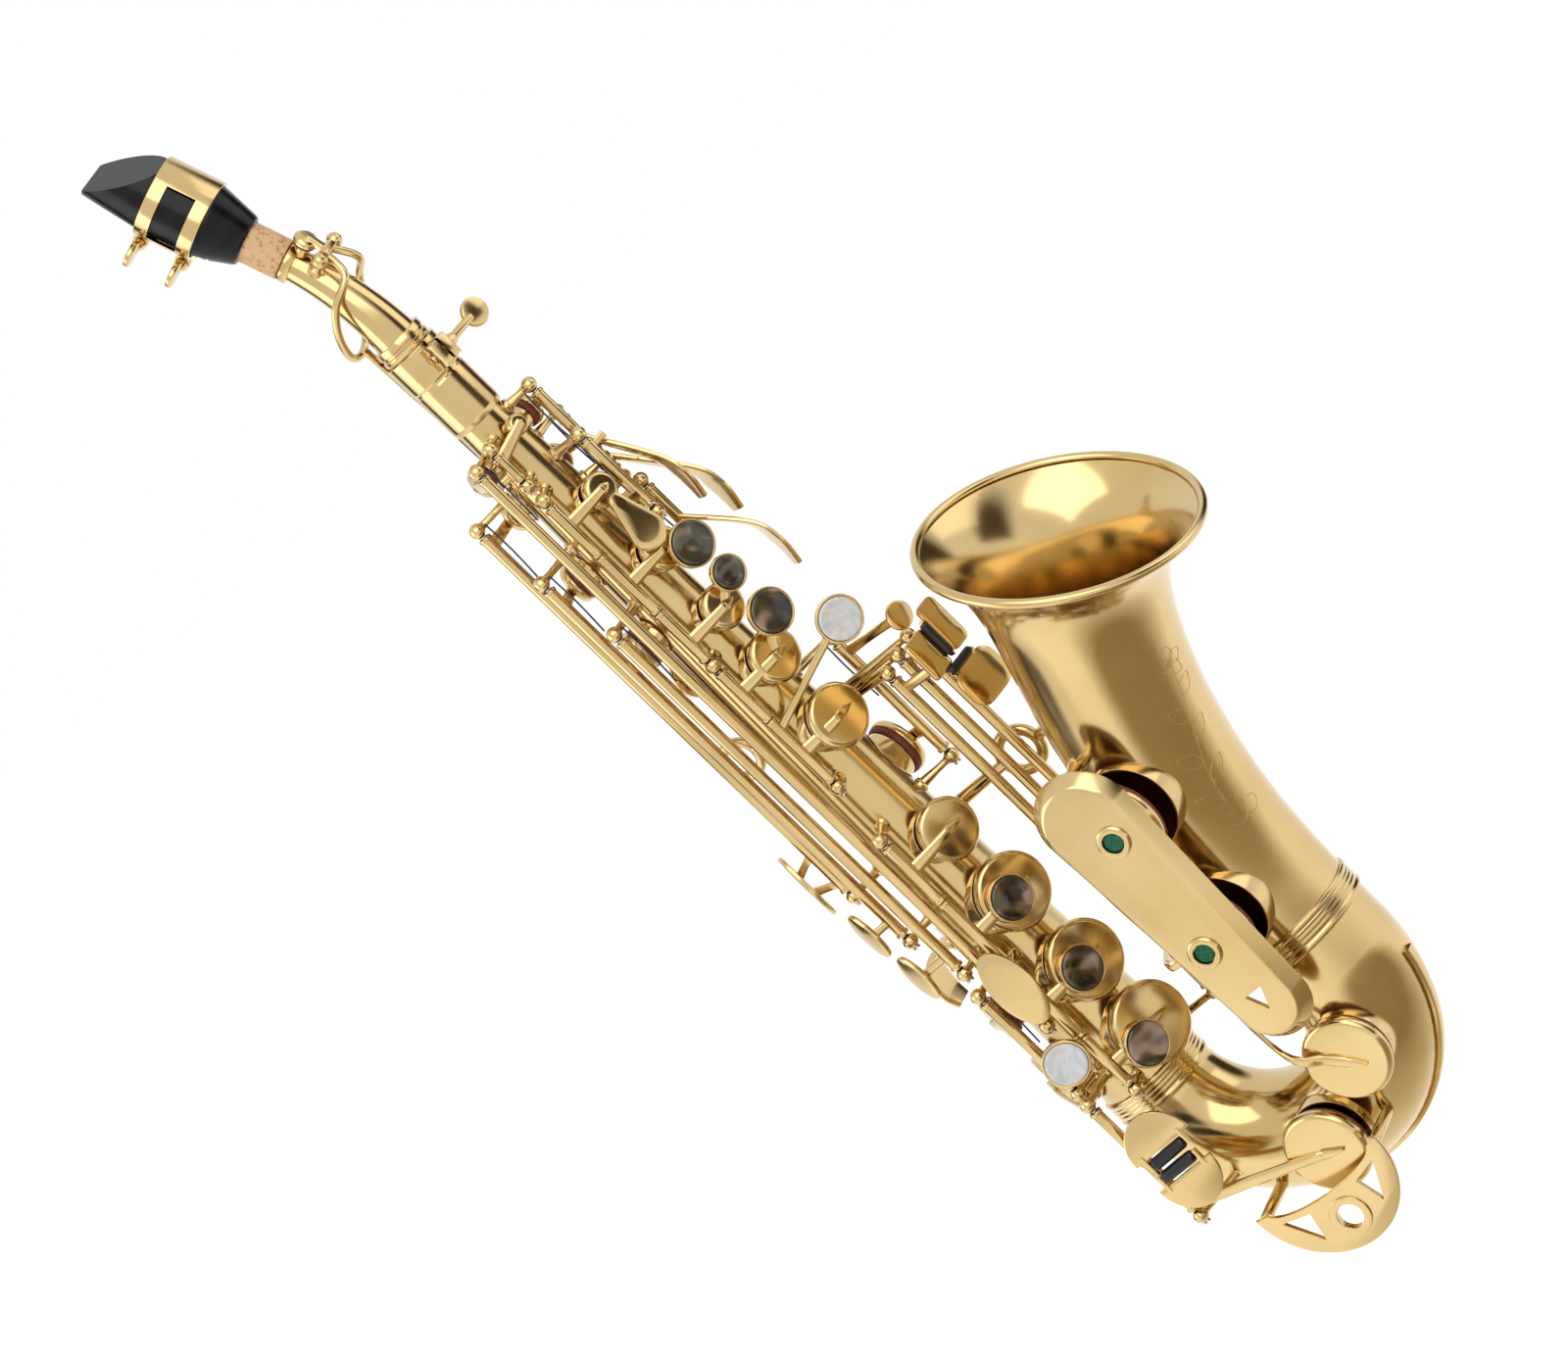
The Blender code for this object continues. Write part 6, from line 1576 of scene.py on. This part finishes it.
# %% Neck octave key
reach = OCTAVE_POST - END
seat = neck_point(OCTAVE_CUP_S, 0.0, CORK_RADIUS + 2.4 + GAP)
outline = [(0.0, 0.0), (4.0, 0.0), (4.0, 1.6), (2.6, 2.6), (0.0, 2.6)]
shells = [rod(on_hinge(-reach), on_hinge(reach), ROD_RADIUS), spin(seat, rise, outline, sides=40, soft_edge=0.5),
          strip([on_hinge(0.0), seat + rise * 2.2], [4.0, 3.2], 1.8, X_AXIS)]
loop = [(OCTAVE_HINGE[0], reach * 0.5, OCTAVE_HINGE[1]), (29.0, 6.0, 10.5), (26.0, 10.6, 2.0),
        (20.0, 10.8, -6.0), (12.0, 7.0, -12.0), (9.0, 0.0, -13.5)]
round_neck = [neck_point(s, -x, up_by) for s, x, up_by in loop]
round_neck += [neck_point(s, x, up_by) for s, x, up_by in reversed(loop[:-1])]
shells.append(wire(round_neck, 1.3))
piece("neck_octave_key", shells, brass, "neck_octave_key", ["neck_octave_key"])
vent_pad = spin(seat, rise, [(0.0, 0.05), (3.4, 0.05), (3.4, -0.9), (0.0, -1.1)], sides=32)
piece("neck_octave_pad", [vent_pad], finishes["pad_leather_tanned"], "neck_octave_key")
print("loop of", len(round_neck), "points")

# %% [markdown]
# The mouthpiece is turned, then its beak, table and window are cut and filed.  The reed lies on the
# table.  A blunt wedge for each cut, taken off with a Boolean, is how a maker's files work too.

# %% Mouthpiece and reed
MOUTHPIECE_LENGTH = 52.0
MOUTHPIECE_RADIUS = 12.0
BARREL_START = 13.0
BARREL_END = 33.0
BORE_END = 36.0
TABLE_START = 8.0
VAMP_START = 29.0
TABLE_DROP = 7.0
REED_WIDTH = 12.0


def mouth_point(s, x, rise):
    """A point of the mouthpiece, s from the shank's end."""
    return neck_point(SHANK_S + s, x, rise)


def wedge(profile, half_width):
    """A block with the given outline in s and rise."""
    return skinned([[mouth_point(s, x, rise) for s, rise in profile] for x in (-half_width, half_width)])


base, along = neck_place(SHANK_S)
length, wide = MOUTHPIECE_LENGTH, MOUTHPIECE_RADIUS
over, beyond, flat = wide + 2.0, length + 1.0, -TABLE_DROP
outline = [(0.0, 0.0), (7.8, 0.0), (8.4, 1.0), (wide, BARREL_START), (wide, BARREL_END), (wide * 0.8, length),
           (0.0, length)]
round_stick = spin(base, along, outline, sides=72, soft_edge=0.6)
inside = CORK_RADIUS + GAP
drill = [(0.0, 0.0), (inside, 0.0), (inside, 17.0), (4.6, 19.0), (4.6, BORE_END), (0.0, BORE_END)]
socket = spin(base - along, along, drill, sides=40, soft_edge=0.0)
rise = BARREL_END - 1.0
beak = wedge([(rise, over), (rise, wide - 0.2), (beyond, 1.4 + flat), (beyond, over)], over)
table = wedge([(TABLE_START, -over), (TABLE_START, flat), (beyond, flat), (beyond, -over)], over)
window = wedge([(VAMP_START, flat - 1.0), (VAMP_START, 0.0), (BORE_END + 3.0, 0.0),
                (length - 2.0, flat - 0.2), (length - 2.0, flat - 1.0)], 4.2)
piece("mouthpiece", [carved([round_stick], [socket, beak, table, window])], ebonite, "mouthpiece",
      ["mouthpiece"], sharp=28.0)
face = flat - 0.05
heel = TABLE_START + 1.0
profile = [(heel, face), (length, face), (length, face - 0.35), (VAMP_START, face - 2.0), (heel, face - 2.0)]
slip = wedge(profile, REED_WIDTH / 2.0)
piece("reed", [slip], cane, "mouthpiece", ["reed"])
print("mouthpiece", MOUTHPIECE_LENGTH, "mm long")

# %% [markdown]
# The ligature is a band of brass round the mouthpiece with open windows at its sides, and pairs of lugs
# underneath for two screws.  It is a spun sleeve with the windows cut by a Boolean, as they are stamped
# on the real one.

# %% Ligature
LIGATURE_S = 13.5
LIGATURE_LENGTH = 19.0
LIGATURE_BAND = 4.6
LIGATURE_LUG = 15.4
LUG_ASIDE = 3.2
LIGATURE_STRIP = 2.8
LIGATURE_WINDOW = 10.8
inner = MOUTHPIECE_RADIUS + 0.15
outer = MOUTHPIECE_RADIUS + GAP + 0.9


def box_between(low, high):
    """A block between two corners, each given by s, x and rise."""
    ring = [(low[0], low[1]), (high[0], low[1]), (high[0], high[1]), (low[0], high[1])]
    return skinned([[mouth_point(s, x, rise) for s, x in ring] for rise in (low[2], high[2])])


base, along = neck_place(SHANK_S + LIGATURE_S)
outline = [(inner, 0.0), (outer, 0.0), (outer, LIGATURE_LENGTH), (inner, LIGATURE_LENGTH)]
sleeve = spin(base, along, outline, sides=72, soft_edge=0.35)
ligature_end = LIGATURE_S + LIGATURE_LENGTH
cuts = []
for hand in (-1.0, 1.0):
    near, far = sorted((hand * LIGATURE_STRIP, hand * (outer + PAST)))
    cuts.append(box_between((LIGATURE_S + LIGATURE_BAND, near, -8.0),
                            (ligature_end - LIGATURE_BAND, far, LIGATURE_WINDOW)))
lugs = []
screw_places = (("ligature_screw_rear", LIGATURE_S + LIGATURE_BAND / 2.0),
                ("ligature_screw_front", ligature_end - LIGATURE_BAND / 2.0))
for name, s in screw_places:
    for x in (-LUG_ASIDE, LUG_ASIDE):
        lug = mouth_point(s, x, -LIGATURE_LUG)
        outline = [(1.45, 0.0), (2.6, 0.0), (2.6, 2.6), (1.45, 2.6)]
        lugs.append(spin(lug - X_AXIS * 1.3, X_AXIS, outline, sides=32))
        lugs.append(box_between((s - 1.9, x - 1.2, -LIGATURE_LUG + 1.6), (s + 1.9, x + 1.2, -inner - 0.1)))
bars = [wire([mouth_point(LIGATURE_S + 1.0, x, 12.5), mouth_point(ligature_end - 1.0, x, 12.5)], 0.5)
        for x in (-1.8, 1.8)]
piece("ligature", [carved([sleeve], cuts)] + lugs + bars, brass, "mouthpiece", ["ligature"])


print("ligature", LIGATURE_LENGTH, "mm long")

# %% [markdown]
# Two thumb screws draw the ligature tight over the reed.  A screw is a shaft, a collar and a flat oval head;
# its thread is hidden in the lugs and needs no mesh.

# %% Ligature screws
SCREW_NECK = 4.8
way, head_way = -X_AXIS, X_AXIS.cross(along)
for name, s in screw_places:
    centre = mouth_point(s, 0.0, -LIGATURE_LUG)
    shaft = rod(centre - way * SCREW_NECK, centre + way * SCREW_NECK * 2.0, 1.2)
    collar = rod(centre + way * SCREW_NECK, centre + way * (SCREW_NECK + 2.4), 2.2, 1.4)
    head_at = centre + way * (SCREW_NECK + 6.4) + head_way.cross(way)
    head = plate(oval(9.5, 8.4), head_at, way, head_way, 2.0, 0.0, 0.7)
    piece(name, [shaft, collar, head], brass, name, [name])
print(len(screw_places), "ligature screws")

# %% [markdown]
# The receiver is the turned socket for the neck.  A slot and a lug let its clamp screw close it.  The lug is
# united with the sleeve and the slot is cut through both, as a saw does it, so one Boolean makes it.

# %% Receiver and clamp screw
RECEIVER_LENGTH = 30.0
RECEIVER_RADIUS = 9.6
CUTTER_EDGE = 0.01  # a cutter stays sharp
socket_radius = TENON_RADIUS + GAP
step = TENON_LENGTH + 1.7
skirt = body_radius(RECEIVER_LENGTH) + 0.1
wide = RECEIVER_RADIUS
outline = [(socket_radius, 0.0), (wide, 0.0), (wide, 11.0), (wide - 0.3, 11.6), (wide - 0.3, 12.4),
           (wide, 13.0), (wide, 28.0), (wide - 0.4, RECEIVER_LENGTH), (skirt, RECEIVER_LENGTH), (skirt, step),
           (socket_radius, step)]
out = around(65.0)
side = Z_AXIS.cross(out)
oblong = [(-3.6, -10.0), (3.6, -10.0), (3.6, -1.5), (-3.6, -1.5)]
lug = plate(oblong, out * (wide - 0.5), side, Z_AXIS, 7.5, 0.0, 0.6)
oblong = [(-0.5, -14.0), (0.5, -14.0), (0.5, 1.0), (-0.5, 1.0)]
slit = plate(oblong, out * (socket_radius - 2.0), side, Z_AXIS, 13.5, 0.0, CUTTER_EDGE)
centre = out * 13.2 - Z_AXIS * 5.8
hole = rod(centre - side * 6.0, centre + side * 6.0, 1.8)
sleeve = spin(Vector(), -Z_AXIS, outline, sides=72)
piece("neck_receiver", [carved([sleeve, lug], [slit, hole])], brass, "body", ["neck_receiver"])
shaft = rod(centre - side * 4.6, centre + side * 16.0, 1.5)
collar = rod(centre + side * 3.9, centre + side * 6.7, 2.6, 1.8)
head = plate(oval(9.6, 9.6), centre + side * 18.0 - out * 1.1, side, Z_AXIS, 2.2, 0.0, 0.8)
piece("neck_clamp_screw", [shaft, collar, head], brass, "neck_clamp_screw", ["neck_clamp_screw"])
print("receiver made,", RECEIVER_LENGTH, "mm long")

# %% [markdown]
# Guards keep the low cups from being bent.  The long one, over the two bell keys, is a shallow tray pressed
# from sheet with a sloping skirt.  Rings of one outline at several widths and heights give both faces.

# %% Guard's tray
GUARD_TOP = 237.0
GUARD_BOTTOM = 317.0
GUARD_WIDE = 13.0
GUARD_NARROW = 9.5
GUARD_THICK = 1.8
GUARD_STAND = 42.0
GUARD_SKIRT = 3.0
GUARD_SLOPE = 3.6
FELT_RADIUS = 3.2
out = around(3.0)
across = Z_AXIS.cross(out)
middle = Vector((0.0, -76.0, 0.0))
inner_face = middle + out * GUARD_STAND


def tray(levels):
    """A shallow tray: each level is how much wider than the flat it is and how high it stands."""
    rings = []
    for wider, rise in levels:
        outline = stadium(GUARD_BOTTOM - GUARD_TOP, GUARD_WIDE + wider, GUARD_NARROW + wider, 25)
        rings.append([inner_face - Z_AXIS * (GUARD_TOP + a) + across * b + out * rise for a, b in outline])
    return skinned(rings)


sheet = tray([(-0.9, GUARD_THICK), (-0.3, GUARD_THICK - 0.1), (0.3, GUARD_THICK - 0.4), (0.8, GUARD_THICK - 1.0),
              (GUARD_SLOPE - 0.3, -GUARD_SKIRT + 0.5), (GUARD_SLOPE, -GUARD_SKIRT), (GUARD_SLOPE - 1.4, -GUARD_SKIRT),
              (GUARD_SLOPE - GUARD_THICK, -GUARD_SKIRT + 0.3), (-GUARD_THICK + 0.5, -0.5), (-GUARD_THICK, 0.0)])
print("guard", GUARD_BOTTOM - GUARD_TOP + GUARD_WIDE + GUARD_NARROW, "mm long")

# %% [markdown]
# The tray stands on three feet and holds a felt stop in a ring over each cup.  The feet start on the wall:
# a point is stepped out of the tube until it is clear, which works for any tube with a known distance.

# %% Guard's feet and felts
cuts = []
extras = []


def on_surface(clearance, point, way, above=0.05, step=0.05):
    """Moves a point out of a tube until it lies on the outside."""
    while clearance(point) < above:
        point = point + way * step
    return point


for d, tube in ((226.5, bell_clearance), (272.0, bell_clearance), (320.5, bow_clearance)):
    foot = on_surface(tube, middle - Z_AXIS * d, out)
    extras.append(rod(foot - out * 0.4, inner_face - Z_AXIS * d, 2.1, 1.8))
    extras.append(rod(foot - out * 0.6, foot + out * 0.9, 3.6, 2.6))
for name in BELL_HOLES:
    hole = HOLES[name]
    crown = hole.seat() + hole.normal * (CUP_HEIGHT + ARM_THICK * 0.8 + BELL_LIFT)
    stand = (crown - middle).dot(out) + 2.2 - GUARD_STAND
    spot = inner_face + across * (crown - middle).dot(across) + Z_AXIS * crown.z
    inside = FELT_RADIUS + GAP
    extras.append(spin(spot, out, [(inside, 0.4), (5.6, 0.4), (5.6, 2.4), (4.9, 2.9), (inside, 2.9)], sides=48))
    cuts.append(rod(spot - out * 3.0, spot + out * 6.0, inside, sides=40))
    felt = name.replace("_key", "_felt")
    outline = [(0.0, stand), (FELT_RADIUS, stand), (FELT_RADIUS, 2.2), (0.0, 2.3)]
    bumper = spin(spot, out, outline, sides=36, soft_edge=0.5)
    piece(felt, [bumper], finishes["felt_green_pressed"], "body", [felt])
triangle = [(-3.2, -3.4), (-3.2, 3.4), (4.2, 0.0)]
below = inner_face - Z_AXIS * (GUARD_BOTTOM - 3.5) - out * PAST
cuts.append(plate(triangle, below, -Z_AXIS, across, 5.8, 0.0, CUTTER_EDGE))
piece("bell_key_guard", [carved([sheet], cuts)] + extras, brass, "body", ["bell_key_guard"])
print("guard with", len(BELL_HOLES), "felts made")

# %% [markdown]
# A crescent of sheet covers the low C key on the bow.  It stands on two feet with a screw each, and has a
# boss with a hole in its middle and an opening on either side.  It is cut from a flat plate, as sheet is.

# %% Low C key's guard
CRESCENT_RADIUS = 27.0
HOLLOW_RADIUS = 23.0
HOLLOW_DEPTH = 6.0
BOSS_BORE = 4.4
origin = Vector((-37.0, -LEG_SPACING / 2.0, -372.0))
front = Vector((0.0, -1.0, 0.0))
guard_screws = []
turns = [pi * k / 48.0 for k in range(49)]
outline = [(CRESCENT_RADIUS * cos(a), CRESCENT_RADIUS * sin(a)) for a in turns]
turns = [pi * k / 32.0 for k in range(1, 32)]
outline += [(HOLLOW_RADIUS * cos(pi - a), HOLLOW_DEPTH * sin(a)) for a in turns]
way = front.cross(-Z_AXIS)
sheet = plate(outline, origin, front, -Z_AXIS, 1.6, 0.0, 0.4)
boss = origin - Z_AXIS * 16.0
extras = []
cuts = [rod(boss - way * 4.0, boss + way * 6.0, BOSS_BORE, sides=40)]
for hand in (-1.0, 1.0):
    spot = origin + front * hand * 24.6 - Z_AXIS * 1.6
    foot = on_surface(bow_clearance, Vector((0.0, spot.y, spot.z)), -way)
    extras.append(rod(foot, spot + way * 0.8, 2.0))
    guard_screws.append((spot + way * 1.6, way, 2.0))
    triangle = [(hand * 10.5, 8.0), (hand * 20.5, 5.5), (hand * 13.0, 18.0)]
    cuts.append(plate(triangle, origin - way * 3.0, front, -Z_AXIS, 8.0, 0.0, CUTTER_EDGE))
outline = [(BOSS_BORE, -0.6), (7.0, -0.6), (7.0, 1.7), (6.3, 2.2), (BOSS_BORE, 2.2)]
extras.append(spin(boss, way, outline, sides=48))
piece("bow_key_guard", [carved([sheet], cuts)] + extras, brass, "body", ["bow_key_guard"])
print("crescent made, screws:", len(guard_screws))

# %% [markdown]
# A brace with a ring in its middle holds the bell off the body.  Its two stems end in round feet.  The bell's
# wall leans there, so the stem's end is found by stepping out of the wall along the brace.

# %% Bell brace
BRACE_D = 221.0
BRACE_TRAVEL = 94.6
body_end = at(140.0, body_radius(BRACE_D), BRACE_D)
bell_mid = bell_station(BRACE_TRAVEL)[0] + around(202.0) * BELL_RING_RADIUS
lean = (bell_mid - body_end).normalized()
bell_end = on_surface(bell_clearance, bell_mid, -lean, 0.0)
middle = (bell_end + body_end) / 2.0
shells = [spin(middle, lean.cross(Z_AXIS).normalized(), bead(7.0, 2.0, 1.6), sides=56, soft_edge=0.0),
          rod(body_end, middle - lean * 6.0, 2.4, 1.9), rod(middle + lean * 6.0, bell_end, 1.9, 2.4),
          rod(body_end - lean * 0.5, body_end + lean * 1.0, 4.0, 3.0),
          rod(bell_end + lean * 0.5, bell_end - lean * 1.0, 4.0, 3.0)]
piece("bell_brace", shells, brass, "body", ["bell_brace"])
print("brace", round((bell_end - body_end).length, 1), "mm long")

# %% [markdown]
# On the player's side are the strap ring, the thumb hook and the thumb rest.  They share one line on the
# back of the tube.  The hook is a bent strap of brass, so it is an arm on a smooth path.

# %% Strap ring and thumb fittings
BACK = -90.0
STRAP_D = 165.0
HOOK_D = 252.0
REST_D = 134.0
back = around(BACK)


def foot_plate(stem, d, length):
    """An oval plate soldered to the back of the tube."""
    return finger_plate(at(BACK, stem + 0.9, d), back, Z_AXIS, oval(length, 8.0), 1.0, 0.2)


stem = body_radius(STRAP_D)
shells = [spin(STRAP_RING, X_AXIS, bead(6.2, 1.7, 1.7), sides=56, soft_edge=0.0),
          rod(at(BACK, stem - 0.3, STRAP_D), at(BACK, stem + 4.8, STRAP_D), 2.8, 2.0),
          foot_plate(stem, STRAP_D, 22.0)]
piece("strap_ring", shells, brass, "body", ["strap_ring"])

stem = body_radius(HOOK_D)
path = ((1.0, 0.0), (7.0, -1.5), (12.5, 0.5), (15.5, 5.0), (16.5, 12.0), (15.5, 17.0))
hook = strip([at(BACK, stem + rise, HOOK_D + drop) for rise, drop in path], [9.0, 10.0, 12.0, 13.0, 12.0, 9.0],
             2.0, X_AXIS, 6, 20)
shells = [hook, rod(at(BACK, stem - 0.2, HOOK_D), at(BACK, stem + 2.4, HOOK_D), 3.0, sides=32),
          foot_plate(stem, HOOK_D - 6.0, 16.0)]
piece("thumb_hook", shells, brass, "body", ["thumb_hook"])

outline = [(0.0, 0.0), (2.8, 0.0), (3.0, 2.6), (7.0, 3.4), (7.2, 4.6), (5.5, 5.6), (0.0, 5.2)]
button = spin(at(BACK, body_radius(REST_D) - 0.2, REST_D), back, outline, sides=48, soft_edge=0.5)
piece("thumb_rest", [button], brass, "body", ["thumb_rest"])
print("fittings made at depths", REST_D, STRAP_D, HOOK_D, "mm")

# %% [markdown]
# Steel shows at the ends of every hinge: a rod runs through the posts, with a slotted head at its lower
# end.  The crescent is held by slotted screws.  Blued needle springs lie beside the hinge tubes.  A slot
# between two half heads is plain mesh and needs no Boolean, which counts where there are so many.

# %% Steel rods, screws and springs
def slotted_head(base, way, radius):
    """A screw head in two halves with the slot between them."""
    side = way.orthogonal().normalized()
    halves = []
    for hand in (-1.0, 1.0):
        turns = [pi * k / 14.0 for k in range(15)]
        outline = [(radius * cos(t), hand * (0.25 + radius * 0.9 * sin(t))) for t in turns]
        if hand < 0.0:
            outline.reverse()
        halves.append(plate(outline, base, side, way.cross(side), 0.7, 0.0, 0.15))
    return halves


PIN_RADIUS = 0.9
SPRING_LENGTH = 24.0
SHORT_LINE = 25.0  # a shorter rod has its spring out of sight
lines = list(SIDE_LINES.values())
lines += [(*line, places[0], places[-1]) for line, places in STACK_LINES] + [TABLE_LINE]
pins = [rod(at(psi, h, first), at(psi, h, last), PIN_RADIUS, sides=12) for psi, h, first, last in lines]
heads = []
for psi, h, _, last in lines:
    heads += slotted_head(at(psi, h, last + POST_RADIUS * 0.93), -Z_AXIS, 1.2)
for spot, way, radius in guard_screws:
    heads += slotted_head(spot, way, radius)
piece("hinge_rods_and_screws", pins + heads, finishes["steel_turned_bright"], "body")

springs = []
for psi, h, first, last in SIDE_LINES.values():
    if last - first < SHORT_LINE:
        continue
    near = at(psi + 4.0, h - 3.0, first)
    far = at(psi + 4.0, h - 2.6, first + min(SPRING_LENGTH, last - first - 6.0))
    springs.append(wire([near, (near + far) / 2.0 - around(psi) * 0.4, far], 0.3))
piece("needle_springs", springs, finishes["spring_steel_blued"], "body")
print(len(pins), "rods,", len(springs), "springs")
